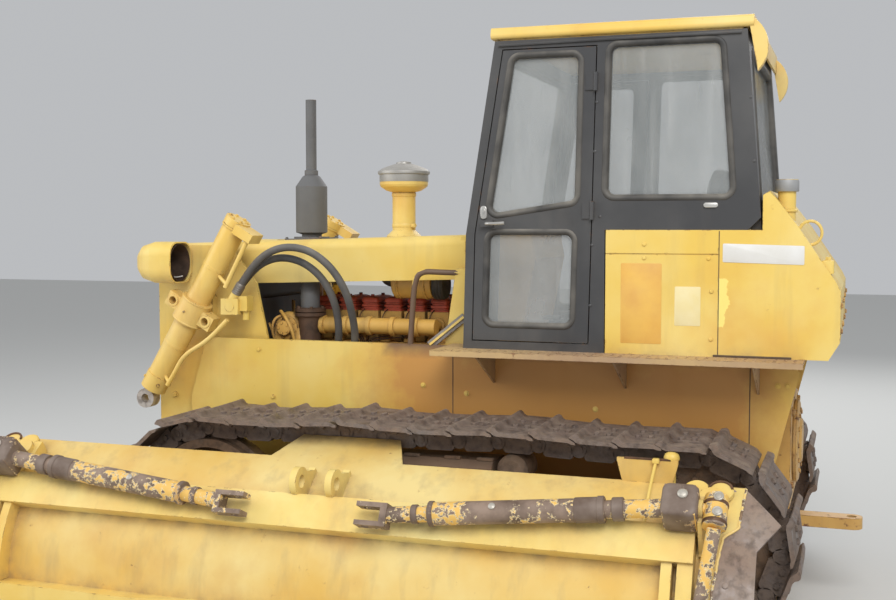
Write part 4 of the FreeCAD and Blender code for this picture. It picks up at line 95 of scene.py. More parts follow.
# Lift hoses
# Two rubber pressure hoses on each side arch from the block on the radiator guard over the
# engine and down behind the side sheet, where steel pipes take over. Grey with dust.
SIDES = ((1.0, "l"), (-1.0, "r"))
HOSE_RADIUS = 0.021
HOSE_ROUTES = {
    "outer": ((1.424, 0.672, 1.615), (1.325, 0.674, 1.775), (1.165, 0.676, 1.880), (0.985, 0.672, 1.872),
              (0.845, 0.664, 1.775), (0.765, 0.642, 1.640), (0.750, 0.582, 1.490), (0.772, 0.495, 1.350),
              (0.800, 0.490, 1.215)),
    "inner": ((1.456, 0.622, 1.605), (1.360, 0.620, 1.742), (1.215, 0.616, 1.822), (1.060, 0.612, 1.808),
              (0.935, 0.600, 1.722), (0.868, 0.575, 1.592), (0.858, 0.533, 1.460), (0.878, 0.494, 1.330),
              (0.905, 0.470, 1.205)),
}


def put(tree, kind, inputs=(), **settings):
    """Adds a shader node, sets it up, and fills its inputs with values or links."""
    item = tree.nodes.new(kind)
    for key, value in settings.items():
        setattr(item, key, value)
    for key, value in dict(inputs).items():
        if isinstance(value, bpy.types.NodeSocket):
            tree.links.new(value, item.inputs[key])
        else:
            item.inputs[key].default_value = value
    return item


def noise_at(tree, place, scale, detail, rough=0.5):
    """Noise from 0 to 1 at a place."""
    return put(tree, "ShaderNodeTexNoise", {"Vector": place, "Scale": scale, "Detail": detail,
                                            "Roughness": rough}).outputs["Fac"]


def ranged(tree, value, low, high, to_low=0.0, to_high=1.0):
    """A number led from one range to another and held within it."""
    return put(tree, "ShaderNodeMapRange", {"Value": value, "From Min": low, "From Max": high,
                                            "To Min": to_low, "To Max": to_high}).outputs["Result"]


def patches(tree, place, scale, low, high, detail=5.0, stretch=(1.0, 1.0, 1.0), rough=0.55):
    """A mask of soft patches: noise over the stretched place, 0 below low and 1 above high."""
    spot = put(tree, "ShaderNodeMapping", {"Vector": place, "Scale": stretch}).outputs["Vector"]
    return ranged(tree, noise_at(tree, spot, scale, detail, rough), low, high)


def sums(tree, way, first, second, clamp=True):
    """One number worked out from two, such as their product; clamp keeps it between 0 and 1."""
    return put(tree, "ShaderNodeMath", {0: first, 1: second}, operation=way,
               use_clamp=clamp).outputs["Value"]


def over(tree, share, under, top):
    """A colour laid over another, by its share."""
    item = put(tree, "ShaderNodeMix", data_type="RGBA")
    for index, value in ((0, share), (6, under), (7, top)):
        if isinstance(value, bpy.types.NodeSocket):
            tree.links.new(value, item.inputs[index])
        else:
            item.inputs[index].default_value = value
    return item.outputs[2]


def new_group(name, inputs, outputs):
    """An empty shader node group with named sockets, and its input and output nodes."""
    tree = bpy.data.node_groups.new(name, "ShaderNodeTree")
    for socket, kind, value in inputs:
        item = tree.interface.new_socket(name=socket, in_out="INPUT", socket_type=kind)
        if value is not None:
            item.default_value = value
    for socket, kind in outputs:
        tree.interface.new_socket(name=socket, in_out="OUTPUT", socket_type=kind)
    return tree, tree.nodes.new("NodeGroupInput"), tree.nodes.new("NodeGroupOutput")


COLOUR, NUMBER, VECTOR = "NodeSocketColor", "NodeSocketFloat", "NodeSocketVector"
# Settled dust: more on faces that look up, in cloudy patches.
dust_group, given, made = new_group(
    "settled_dust", (("Place", VECTOR, None), ("Colour", COLOUR, (0.5, 0.5, 0.5, 1)),
                     ("Dust", COLOUR, (0.52, 0.47, 0.39, 1)), ("Amount", NUMBER, 0.4),
                     ("Roughness", NUMBER, 0.5)),
    (("Colour", COLOUR), ("Roughness", NUMBER)))
surface = put(dust_group, "ShaderNodeNewGeometry")
upward = put(dust_group, "ShaderNodeSeparateXYZ", {"Vector": surface.outputs["Normal"]})
facing = ranged(dust_group, upward.outputs["Z"], -0.2, 1.0, 0.25, 1.0)
cloud = patches(dust_group, given.outputs["Place"], 5.0, 0.30, 0.72, 8.0)
share = sums(dust_group, "MULTIPLY", sums(dust_group, "MULTIPLY", facing, cloud),
             given.outputs["Amount"])
dust_group.links.new(over(dust_group, share, given.outputs["Colour"], given.outputs["Dust"]),
                     made.inputs["Colour"])
rougher = ranged(dust_group, share, 0.0, 1.0, given.outputs["Roughness"], 0.95)
dust_group.links.new(rougher, made.inputs["Roughness"])


def start_finish(name):
    """A new material with its tree, its shader and the place on the piece."""
    finish = bpy.data.materials.new(name)
    finish.use_nodes = True
    tree = finish.node_tree
    place = put(tree, "ShaderNodeTexCoord").outputs["Object"]
    return finish, tree, tree.nodes["Principled BSDF"], place


def dusty(name, colour, second, roughness, amount, dust=(0.52, 0.47, 0.39, 1), metallic=0.0, scale=30.0,
          bump=0.2, depth=0.001):
    """A plain matter in two close shades, with a fine grain and dust on it."""
    finish, tree, shader, place = start_finish(name)
    shades = over(tree, patches(tree, place, scale * 0.25, 0.35, 0.68, 6.0), colour, second)
    layer = put(tree, "ShaderNodeGroup", node_tree=dust_group)
    for key, value in (("Place", place), ("Colour", shades)):
        tree.links.new(value, layer.inputs[key])
    layer.inputs["Dust"].default_value = dust
    layer.inputs["Amount"].default_value = amount
    layer.inputs["Roughness"].default_value = roughness
    tree.links.new(layer.outputs["Colour"], shader.inputs["Base Color"])
    tree.links.new(layer.outputs["Roughness"], shader.inputs["Roughness"])
    shader.inputs["Metallic"].default_value = metallic
    grain = noise_at(tree, place, scale * 6, 6.0)
    relief = put(tree, "ShaderNodeBump", {"Height": grain, "Strength": bump, "Distance": depth})
    tree.links.new(relief.outputs["Normal"], shader.inputs["Normal"])
    return finish


hose_rubber = dusty("hose_rubber", (0.045, 0.043, 0.042, 1), (0.085, 0.080, 0.076, 1), 0.62, 0.45)
for side, tag in SIDES:
    for which, route in HOSE_ROUTES.items():
        line = placed(np.array(route) * (1.0, side, 1.0))
        curve = bpy.data.curves.new(f"hose_{which}_{tag}_line", "CURVE")
        curve.dimensions = "3D"
        curve.bevel_depth = HOSE_RADIUS
        curve.bevel_resolution = 6
        curve.resolution_u = 10
        spline = curve.splines.new("NURBS")
        spline.points.add(len(line) - 1)
        spline.points.foreach_set("co", np.c_[line, np.ones(len(line))].ravel())
        spline.order_u = 3
        spline.use_endpoint_u = True
        curve.materials.append(hose_rubber)
        hose = bpy.data.objects.new(f"hose_line_{which}_{tag}", curve)
        bpy.context.scene.collection.objects.link(hose)
        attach(hose, "root")
        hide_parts(f"hose_{which}_{tag}")


def grid_faces(rows, columns, ring=False, loop=False):
    """Four-cornered faces of a grid; ring joins the last column to the first, loop the last row."""
    row, column = np.meshgrid(np.arange(rows if loop else rows - 1),
                              np.arange(columns if ring else columns - 1),
                              indexing="ij")
    after, beside = (row + 1) % rows, (column + 1) % columns
    return np.stack([row * columns + column, row * columns + beside, after * columns + beside,
                     after * columns + column], axis=-1).reshape(-1, 4).tolist()


def gathered(*groups):
    """Several (points, faces) put together as one."""
    points, faces, start = [], [], 0
    for some, those in groups:
        points.append(np.asarray(some, float).reshape(-1, 3))
        faces += [[start + corner for corner in face] for face in those]
        start += len(points[-1])
    return np.concatenate(points), faces


def new_piece(name, shapes, finish, body="root", crease=35.0):
    """A mesh piece from shapes, each (points, faces) in the machine's axes, its doubles merged and
    its faces turned outwards; edges sharper than the crease stay sharp."""
    points, faces = gathered(*shapes)
    mesh = bpy.data.meshes.new(name)
    mesh.from_pydata(placed(points).tolist(), [], faces)
    shell = bmesh.new()
    shell.from_mesh(mesh)
    bmesh.ops.remove_doubles(shell, verts=shell.verts, dist=1e-5)
    bmesh.ops.recalc_face_normals(shell, faces=shell.faces)
    shell.to_mesh(mesh)
    shell.free()
    mesh.polygons.foreach_set("use_smooth", np.ones(len(mesh.polygons), bool))
    mesh.set_sharp_from_angle(angle=math.radians(crease))
    mesh.materials.append(finish)
    piece = bpy.data.objects.new(name, mesh)
    bpy.context.scene.collection.objects.link(piece)
    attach(piece, body)
    return piece


def across(way):
    """Two directions at right angles to each given one: cross products with the axis it leans on least."""
    way = np.asarray(way, float)
    helper = np.eye(3)[np.argmin(np.abs(way), axis=-1)]
    first = np.cross(way, helper)
    first /= np.linalg.norm(first, axis=-1, keepdims=True)
    return first, np.cross(way, first)


def turned(profile, centre, axis, steps=32):
    """A lathe shape: point = centre + axis*height + radius*(cos, sin) across the axis."""
    profile = np.asarray(profile, float)
    axis = np.asarray(axis, float) / np.linalg.norm(axis)
    first, second = across(axis)
    angle = np.linspace(0, 2 * np.pi, steps, endpoint=False)
    round_about = np.cos(angle)[:, None] * first + np.sin(angle)[:, None] * second
    points = (np.asarray(centre, float) + profile[:, 1, None, None] * axis
              + profile[:, 0, None, None] * round_about)
    faces = grid_faces(len(profile), steps, ring=True)
    return points.reshape(-1, 3), faces


def tube(path, radius, sides=12, closed=False):
    """A round bar along a path: rings across the path's direction, turned as little as may be."""
    path = np.asarray(path, float)
    ways = np.gradient(path, axis=0) if not closed else np.roll(path, -1, 0) - np.roll(path, 1, 0)
    ways /= np.linalg.norm(ways, axis=1, keepdims=True)
    first = np.empty_like(path)
    first[0] = across(ways[0])[0]
    for at in range(1, len(path)):
        first[at] = first[at - 1] - ways[at] * np.dot(first[at - 1], ways[at])
        first[at] /= np.linalg.norm(first[at])
    second = np.cross(ways, first)
    angle = np.linspace(0, 2 * np.pi, sides, endpoint=False)
    points = (path[:, None] + radius * (np.cos(angle)[None, :, None] * first[:, None]
                                        + np.sin(angle)[None, :, None] * second[:, None]))
    faces = grid_faces(len(path), sides, ring=True, loop=closed)
    if not closed:
        faces += [list(range(sides))[::-1], list(range((len(path) - 1) * sides, len(path) * sides))]
    return points.reshape(-1, 3), faces


def bend_through(corners, steps=10, closed=False):
    """A soft curve by corner points: each corner is a quadratic arc between the runs' middles."""
    corners = np.asarray(corners, float)
    if closed:
        before, after = np.roll(corners, 1, 0), np.roll(corners, -1, 0)
    else:
        before, after, corners, ends = corners[:-2], corners[2:], corners[1:-1], corners[[0, -1]]
    start, end = (before + corners) / 2, (after + corners) / 2
    t = np.linspace(0, 1, steps, endpoint=False)[:, None]
    arcs = ((1 - t) ** 2 * start[:, None] + 2 * t * (1 - t) * corners[:, None]
            + t ** 2 * end[:, None]).reshape(-1, 3)
    return arcs if closed else np.concatenate([ends[:1], arcs, end[-1:], ends[1:]])


# Each hose end is crimped in a ribbed steel sleeve, just past the CAD union.
sleeve_steel = dusty("sleeve_steel", (0.30, 0.29, 0.27, 1), (0.20, 0.17, 0.14, 1), 0.45, 0.35, metallic=0.6)
sleeve = [(0.0, 0.0), (0.026, 0.0), (0.0275, 0.004)]
for rib in range(4):
    sleeve += [(0.0275, 0.008 + rib * 0.012), (0.0255, 0.011 + rib * 0.012), (0.0275, 0.014 + rib * 0.012)]
sleeve += [(0.0265, 0.062), (0.0225, 0.068), (0.0, 0.068)]
for side, tag in SIDES:
    rings = []
    for route in HOSE_ROUTES.values():
        line = np.array(route) * (1.0, side, 1.0)
        rings += [turned(sleeve, line[0], line[1] - line[0], 20),
                  turned(sleeve, line[-1], line[-2] - line[-1], 20)]
    new_piece(f"hose_sleeves_{tag}", rings, sleeve_steel)

# Body paint
# Welded and pressed steel sheet, brushed and sprayed yellow over many years: sun-paled on the
# flats, orange where it is thick or wet, chipped to rust at edges, with painted shade in the corners.
# The weathered paint's colour: sun-paled patches, deeper patches, soil in streaks with painted
# shade in the corners, then rust where chips, edges and pits lie over each other.
paint_group, given, made = new_group(
    "weathered_paint", (("Place", VECTOR, None), ("Paint", COLOUR, None), ("Faded", COLOUR, None),
                        ("Deep", COLOUR, None), ("Soil", COLOUR, None), ("Rust", COLOUR, None),
                        ("Fade", NUMBER, 0.6), ("Wear", NUMBER, 0.3), ("Grime_and_shade", NUMBER, 0.3),
                        ("Roughness", NUMBER, 0.45)),
    (("Colour", COLOUR), ("Roughness", NUMBER), ("Height", NUMBER)))
place = given.outputs["Place"]
pale = sums(paint_group, "MULTIPLY", patches(paint_group, place, 1.5, 0.36, 0.66, 7.0),
            given.outputs["Fade"])
colour = over(paint_group, pale, given.outputs["Paint"], given.outputs["Faded"])
thick = sums(paint_group, "MULTIPLY", patches(paint_group, place, 2.6, 0.52, 0.78, 6.0), 0.55)
colour = over(paint_group, thick, colour, given.outputs["Deep"])
runs = patches(paint_group, place, 1.0, 0.52, 0.80, 6.0, (9.0, 9.0, 0.9))
# Painted shade: the ambient occlusion finds corners and nooks, which are darkened with the soil colour in
# mottled patches.
corner = put(paint_group, "ShaderNodeAmbientOcclusion", {"Distance": 0.12}, samples=4, only_local=False)
occluded = ranged(paint_group, corner.outputs["AO"], 0.35, 0.85, 1.0, 0.0)
mottled = patches(paint_group, place, 11.0, 0.30, 0.66, 8.0)
corner_shade = sums(paint_group, "MULTIPLY", occluded, mottled)
# The soil share holds both the real streaks of soil and the painted shade of the corners.
soil = sums(paint_group, "MULTIPLY", sums(paint_group, "MAXIMUM", sums(paint_group, "MULTIPLY", runs, 0.45),
                                          corner_shade),
            given.outputs["Grime_and_shade"])
colour = over(paint_group, soil, colour, given.outputs["Soil"])
# Edges: where the surface rounded over a few millimetres turns away from its own face.
surface = put(paint_group, "ShaderNodeNewGeometry")
softened = put(paint_group, "ShaderNodeBevel", {"Radius": 0.009}, samples=4)
same = put(paint_group, "ShaderNodeVectorMath", {0: softened.outputs["Normal"],
                                                 1: surface.outputs["Normal"]},
           operation="DOT_PRODUCT")
edge = ranged(paint_group, same.outputs["Value"], 0.97, 0.80)
flakes = noise_at(paint_group, place, 17.0, 11.0, 0.68)
worn = sums(paint_group, "MULTIPLY", edge, 0.16, False)
raised = sums(paint_group, "ADD", flakes, worn, False)
started = ranged(paint_group, given.outputs["Wear"], 0.0, 1.0, 0.78, 0.46)
beyond = sums(paint_group, "SUBTRACT", raised, started, False)
chip = ranged(paint_group, beyond, 0.0, 0.035)
halo = ranged(paint_group, beyond, -0.05, 0.02, 0.0, 0.45)
stain = over(paint_group, 0.5, given.outputs["Deep"], given.outputs["Rust"])
colour = over(paint_group, halo, colour, stain)
dark_rust = over(paint_group, patches(paint_group, place, 30.0, 0.40, 0.62, 6.0), given.outputs["Rust"],
                 (0.075, 0.040, 0.026, 1))
colour = over(paint_group, chip, colour, dark_rust)
paint_group.links.new(colour, made.inputs["Colour"])
dulled = sums(paint_group, "MAXIMUM", soil, chip)
rougher = ranged(paint_group, dulled, 0.0, 1.0, given.outputs["Roughness"], 0.88)
paint_group.links.new(rougher, made.inputs["Roughness"])
peel = noise_at(paint_group, place, 90.0, 3.0)
depth = sums(paint_group, "MULTIPLY", peel, 0.18, False)
height = sums(paint_group, "SUBTRACT", depth, chip, False)
paint_group.links.new(height, made.inputs["Height"])

RUST = (0.235, 0.105, 0.045, 1)
# The colour of soil streaks, also used for the painted shade in corners.
SOIL_AND_SHADE = (0.27, 0.19, 0.12, 1)


# The soil colour is also the painted shade in the corners, in the share that the grime amount gives.
def painted(name, paint, faded, deep, fade, wear, grime_and_shade, roughness=0.42, rust=RUST, soil=SOIL_AND_SHADE):
    """Old paint on steel: the weathered paint group with this piece's own colours and wear."""
    finish, tree, shader, place = start_finish(name)
    old = put(tree, "ShaderNodeGroup", node_tree=paint_group)
    tree.links.new(place, old.inputs["Place"])
    for key, value in (("Paint", paint), ("Faded", faded), ("Deep", deep), ("Soil", soil), ("Rust", rust),
                       ("Fade", fade), ("Wear", wear), ("Grime_and_shade", grime_and_shade), ("Roughness", roughness)):
        old.inputs[key].default_value = value
    tree.links.new(old.outputs["Colour"], shader.inputs["Base Color"])
    tree.links.new(old.outputs["Roughness"], shader.inputs["Roughness"])
    relief = put(tree, "ShaderNodeBump", {"Height": old.outputs["Height"], "Strength": 0.35,
                                          "Distance": 0.0012})
    tree.links.new(relief.outputs["Normal"], shader.inputs["Normal"])
    return finish


YELLOW, PALE, ORANGE = (0.80, 0.545, 0.105, 1), (0.86, 0.69, 0.26, 1), (0.70, 0.36, 0.070, 1)
body_paint = painted("body_paint", YELLOW, PALE, ORANGE, 0.80, 0.20, 0.55)
roof_paint = painted("roof_paint", (0.79, 0.52, 0.11, 1), (0.83, 0.64, 0.25, 1), (0.66, 0.34, 0.075, 1),
                     0.8, 0.30, 0.6)
frame_paint = painted("frame_paint", (0.60, 0.34, 0.085, 1), (0.70, 0.46, 0.15, 1), (0.40, 0.19, 0.06, 1),
                      0.7, 0.52, 0.95)
blade_paint = painted("blade_paint", (0.82, 0.56, 0.13, 1), (0.86, 0.73, 0.30, 1), (0.76, 0.42, 0.10, 1),
                      0.95, 0.22, 0.75, 0.5)
blade_face_paint = painted("blade_face_paint", (0.74, 0.47, 0.11, 1), (0.82, 0.66, 0.28, 1),
                           (0.60, 0.31, 0.08, 1), 0.9, 0.30, 0.9, 0.5)
cylinder_paint = painted("cylinder_paint", (0.82, 0.53, 0.11, 1), (0.86, 0.66, 0.24, 1),
                         (0.72, 0.37, 0.08, 1), 0.8, 0.24, 0.6, 0.38)


def finish_nodes(finish, *names):
    """Gives CAD pieces their material."""
    for name in names:
        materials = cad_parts[name].data.materials
        if len(materials):
            for index in range(len(materials)):
                materials[index] = finish
        else:
            materials.append(finish)


def area_of(finish, centre, half, colour, soft, ragged, share=1.0):
    """Colours an oblong area of a side: centre and half size in x and z, a soft edge made ragged
    by noise."""
    tree = finish.node_tree
    shader = next(node for node in tree.nodes if node.type == "BSDF_PRINCIPLED")
    below = shader.inputs["Base Color"].links[0].from_socket
    place = put(tree, "ShaderNodeTexCoord").outputs["Object"]
    axes = put(tree, "ShaderNodeSeparateXYZ", {"Vector": place})
    noise = noise_at(tree, place, 5.0, 8.0, 0.62)
    past = []
    for axis, middle, reach in (("X", centre[0], half[0]), ("Z", centre[1], half[1])):
        from_middle = sums(tree, "SUBTRACT", axes.outputs[axis], middle, False)
        past.append(sums(tree, "SUBTRACT", sums(tree, "ABSOLUTE", from_middle, 0.0, False), reach, False))
    shift = sums(tree, "MULTIPLY", sums(tree, "SUBTRACT", noise, 0.5, False), ragged, False)
    outside = sums(tree, "ADD", sums(tree, "MAXIMUM", *past, False), shift, False)
    inside = ranged(tree, outside, soft, -soft, 0.0, share)
    tree.links.new(over(tree, inside, below, colour), shader.inputs["Base Color"])


# The sheet below the deck is painted a deeper orange for the deck's shadow falling on it, and a dark band
# just under the deck is painted shade.
side_paint = painted("side_paint", YELLOW, PALE, ORANGE, 0.80, 0.20, 0.55)
# Painted shadow: the deeper orange over the sheet under the deck.
area_of(side_paint, (-0.86, 0.90), (1.06, 0.52), (0.57, 0.27, 0.070, 1), 0.16, 0.5, 0.92)
# Painted shade: the dark band just under the deck's edge.
area_of(side_paint, (-0.75, 1.36), (0.92, 0.045), (0.135, 0.080, 0.060, 1), 0.035, 0.06, 0.85)
tank_paint = painted("tank_paint", YELLOW, PALE, ORANGE, 0.85, 0.24, 0.60)
area_of(tank_paint, (-1.500, 1.630), (0.170, 0.110), (0.93, 0.74, 0.20, 1), 0.004, 0.30, 1.0)
deck_paint = painted("deck_paint", (0.43, 0.285, 0.165, 1), (0.64, 0.44, 0.17, 1), (0.27, 0.155, 0.10, 1),
                     0.7, 0.42, 0.9, 0.6)
beam_paint = painted("beam_paint", (0.17, 0.105, 0.066, 1), (0.26, 0.165, 0.10, 1), (0.11, 0.065, 0.042, 1),
                     0.8, 0.44, 0.9, 0.75)
finish_nodes(body_paint, "radiator_guard", "hood", "cowl", "side_box_l", "side_box_r", "lamp_pods",
             "valve_blocks",
             "pre_cleaner")
finish_nodes(side_paint, "side_panels")
finish_nodes(tank_paint, "fuel_tank")
finish_nodes(deck_paint, "deck")
finish_nodes(beam_paint, "track_frame_l", "track_frame_r")
finish_nodes(roof_paint, "roof")
finish_nodes(frame_paint, "hull", "drawbar")
finish_nodes(blade_paint, "blade_back")
finish_nodes(blade_face_paint, "moldboard")
finish_nodes(cylinder_paint, "lift_barrel_l", "lift_barrel_r")
engine_paint = painted("engine_paint", (0.74, 0.42, 0.09, 1), (0.78, 0.50, 0.14, 1), (0.50, 0.22, 0.05, 1),
                       0.7, 0.34, 1.0, 0.45,
                       soil=(0.10, 0.065, 0.045, 1))
finish_nodes(engine_paint, "engine")
cab_paint = painted("cab_paint", (0.050, 0.050, 0.052, 1), (0.092, 0.090, 0.088, 1),
                    (0.035, 0.034, 0.034, 1), 0.9, 0.10, 0.35,
                    0.40, soil=(0.20, 0.17, 0.14, 1))
finish_nodes(cab_paint, "cab_front", "cab_rear", "cab_side_l", "cab_side_r", "door_l", "door_r")
muffler_paint = painted("muffler_paint", (0.105, 0.104, 0.104, 1), (0.17, 0.17, 0.17, 1),
                        (0.06, 0.055, 0.052, 1), 0.9, 0.26, 0.4,
                        0.62, soil=(0.16, 0.13, 0.10, 1))
finish_nodes(muffler_paint, "exhaust")
grille_paint = painted("grille_paint", (0.070, 0.070, 0.070, 1), (0.11, 0.11, 0.11, 1),
                       (0.04, 0.035, 0.03, 1), 0.7, 0.22, 0.7, 0.6)
finish_nodes(grille_paint, "grille", "radiator")
dash_paint = painted("dash_paint", (0.62, 0.36, 0.085, 1), (0.70, 0.46, 0.16, 1), (0.44, 0.22, 0.06, 1),
                     0.6, 0.18, 0.5, 0.5)
finish_nodes(dash_paint, "controls")

# Bare and rusted steel
# Cast and forged parts that run in soil: brown rust under dried earth, polished dull where
# steel rubs on steel.
soiled_group, given, made = new_group(
    "soiled_steel", (("Place", VECTOR, None), ("Steel", COLOUR, None), ("Rust", COLOUR, None),
                     ("Soil", COLOUR, None),
                     ("Rusted", NUMBER, 0.6), ("Soiled", NUMBER, 0.5)),
    (("Colour", COLOUR), ("Roughness", NUMBER), ("Metallic", NUMBER), ("Height", NUMBER)))
place = given.outputs["Place"]
rusted = sums(soiled_group, "MULTIPLY", patches(soiled_group, place, 6.0, 0.32, 0.60, 9.0, rough=0.65),
              given.outputs["Rusted"])
colour = over(soiled_group, rusted, given.outputs["Steel"], given.outputs["Rust"])
colour = over(soiled_group, sums(soiled_group, "MULTIPLY",
                                 patches(soiled_group, place, 26.0, 0.48, 0.66, 8.0), 0.55),
              colour, (0.060, 0.040, 0.030, 1))
surface = put(soiled_group, "ShaderNodeNewGeometry")
upward = put(soiled_group, "ShaderNodeSeparateXYZ", {"Vector": surface.outputs["Normal"]})
facing = ranged(soiled_group, upward.outputs["Z"], -0.3, 0.9, 0.35, 1.0)
clods = sums(soiled_group, "MULTIPLY", patches(soiled_group, place, 12.0, 0.40, 0.62, 10.0, rough=0.7),
             facing)
soiled = sums(soiled_group, "MULTIPLY", clods, given.outputs["Soiled"])
colour = over(soiled_group, soiled, colour, given.outputs["Soil"])
soiled_group.links.new(colour, made.inputs["Colour"])
cover = sums(soiled_group, "MAXIMUM", rusted, soiled)
for socket, low, high in (("Roughness", 0.42, 0.93), ("Metallic", 0.75, 0.0)):
    level = ranged(soiled_group, cover, 0.0, 1.0, low, high)
    soiled_group.links.new(level, made.inputs[socket])
pits = noise_at(soiled_group, place, 55.0, 9.0, 0.7)
lumps = sums(soiled_group, "ADD", pits, soiled, False)
soiled_group.links.new(lumps, made.inputs["Height"])


def rusty(name, steel, rust, soil, rusted, soiled, depth=0.004):
    """Bare steel gone rusty and soiled, by the soiled steel group."""
    finish, tree, shader, place = start_finish(name)
    old = put(tree, "ShaderNodeGroup", node_tree=soiled_group)
    tree.links.new(place, old.inputs["Place"])
    for key, value in (("Steel", steel), ("Rust", rust), ("Soil", soil), ("Rusted", rusted),
                       ("Soiled", soiled)):
        old.inputs[key].default_value = value
    for socket, out in (("Base Color", "Colour"), ("Roughness", "Roughness"), ("Metallic", "Metallic")):
        tree.links.new(old.outputs[out], shader.inputs[socket])
    relief = put(tree, "ShaderNodeBump", {"Height": old.outputs["Height"], "Strength": 0.6,
                                          "Distance": depth})
    tree.links.new(relief.outputs["Normal"], shader.inputs["Normal"])
    return finish


track_steel = rusty("track_steel", (0.26, 0.22, 0.20, 1), (0.185, 0.120, 0.088, 1), (0.31, 0.245, 0.19, 1),
                    0.95, 0.75)
cast_steel = rusty("cast_steel", (0.28, 0.22, 0.17, 1), (0.25, 0.135, 0.070, 1), (0.26, 0.19, 0.13, 1), 0.9,
                   0.7)
edge_steel = rusty("edge_steel", (0.36, 0.31, 0.28, 1), (0.27, 0.175, 0.125, 1), (0.40, 0.32, 0.25, 1),
                   0.85, 0.55, 0.002)
finish_nodes(track_steel, "track_l", "track_r")
finish_nodes(cast_steel, "idler_l", "idler_r", "sprocket_l", "sprocket_r", "rollers_l", "rollers_r")
finish_nodes(edge_steel, "cutting_edge")
rod_chrome = rusty("rod_chrome", (0.62, 0.60, 0.57, 1), (0.36, 0.25, 0.17, 1), (0.40, 0.34, 0.27, 1), 0.35,
                   0.30, 0.0006)
finish_nodes(rod_chrome, "lift_rod_l", "lift_rod_r")

# Window glass
# Toughened flat panes in rubber seals, hazed by dust and dried rain.
window_glass, tree, shader, place = start_finish("window_glass")
haze = patches(tree, place, 3.0, 0.30, 0.75, 8.0)
rain = patches(tree, place, 1.2, 0.42, 0.70, 7.0, (14.0, 14.0, 1.3))
film = sums(tree, "MAXIMUM", sums(tree, "MULTIPLY", haze, 0.55), sums(tree, "MULTIPLY", rain, 0.45))
tree.links.new(over(tree, film, (0.46, 0.49, 0.49, 1), (0.58, 0.58, 0.56, 1)), shader.inputs["Base Color"])
level = ranged(tree, film, 0.0, 1.0, 0.26, 0.58)
tree.links.new(level, shader.inputs["Alpha"])
level = ranged(tree, film, 0.0, 1.0, 0.06, 0.55)
tree.links.new(level, shader.inputs["Roughness"])
finish_nodes(window_glass, "cab_glass", "door_glass_l", "door_glass_r")
seat_vinyl = dusty("seat_vinyl", (0.030, 0.030, 0.033, 1), (0.055, 0.053, 0.052, 1), 0.48, 0.5)
finish_nodes(seat_vinyl, "seat")

# Tracks
# Two rows of forged links run on pins and bushings; a rolled shoe is bolted to each pair, its
# worn front lip lying over the shoe before. All of it is brown with rust and dried soil.
TRACK_MID = 0.940
SHOE_HALF = 0.254
PITCH_AIM = 0.203
CHAIN_LOW = 0.102
IDLER_AT = (1.400, 0.512)
IDLER_PITCH_R = 0.410
SPROCKET_AT = (-1.165, 0.524)
SPROCKET_PITCH_R = 0.404
CHAIN_LIFTS_AT = -0.640 - 0.75 * PITCH_AIM
CARRIERS_X = (-0.290, 0.640)
CARRIED_Z = 0.945
SAG = 0.016


def chain_pins():
    """Pin centres (x, z): arcs about idler and sprocket, a straight run on the ground and parabolas
    that sag between the carriers, divided into equal pitches."""
    down = np.radians(90 - 180 * np.arange(60) / 60)
    line = [np.c_[IDLER_AT[0] + IDLER_PITCH_R * np.cos(down), IDLER_AT[1] + IDLER_PITCH_R * np.sin(down)],
            [(IDLER_AT[0], CHAIN_LOW), (CHAIN_LIFTS_AT, CHAIN_LOW)]]
    rise = math.asin((SPROCKET_AT[1] - SPROCKET_PITCH_R - CHAIN_LOW) / (CHAIN_LIFTS_AT - SPROCKET_AT[0]))
    up = np.linspace(math.radians(-90) + rise, math.radians(-270), 61)
    line.append(np.c_[SPROCKET_AT[0] + SPROCKET_PITCH_R * np.cos(up),
                      SPROCKET_AT[1] + SPROCKET_PITCH_R * np.sin(up)])
    rests = [(SPROCKET_AT[0], SPROCKET_AT[1] + SPROCKET_PITCH_R)] + [(x, CARRIED_Z) for x in CARRIERS_X]
    rests.append((IDLER_AT[0], IDLER_AT[1] + IDLER_PITCH_R))
    share = np.arange(1, 13)[:, None] / 12.0
    for start, end in zip(np.array(rests), np.array(rests)[1:]):
        line.append(start + (end - start) * share - np.array([0, 4 * SAG]) * share * (1 - share))
    line = np.concatenate(line)
    run = np.r_[0, np.cumsum(np.linalg.norm(np.diff(line, axis=0), axis=1))]
    count = round(run[-1] / PITCH_AIM)
    at = run[-1] * np.arange(count) / count
    return np.c_[np.interp(at, run, line[:, 0]), np.interp(at, run, line[:, 1])]


def pulled(outline, low, high, cuts=1):
    """A closed outline (u, n) carried along w from low to high, with flat ends: (u, w, n) points."""
    outline = np.asarray(outline, float)
    steps = np.linspace(low, high, cuts + 1)
    points = np.stack([np.c_[outline[:, 0], np.full(len(outline), w), outline[:, 1]] for w in steps])
    count = len(outline)
    faces = grid_faces(cuts + 1, count, ring=True)
    faces += [list(range(count))[::-1], list(range(cuts * count, (cuts + 1) * count))]
    return points.reshape(-1, 3), faces


def disc(radius, u, n, low, high, sides=14):
    """A round boss across the track, as an outline of points on a circle."""
    angle = np.linspace(0, 2 * np.pi, sides, endpoint=False)
    return pulled(np.c_[u + radius * np.cos(angle), n + radius * np.sin(angle)], low, high)


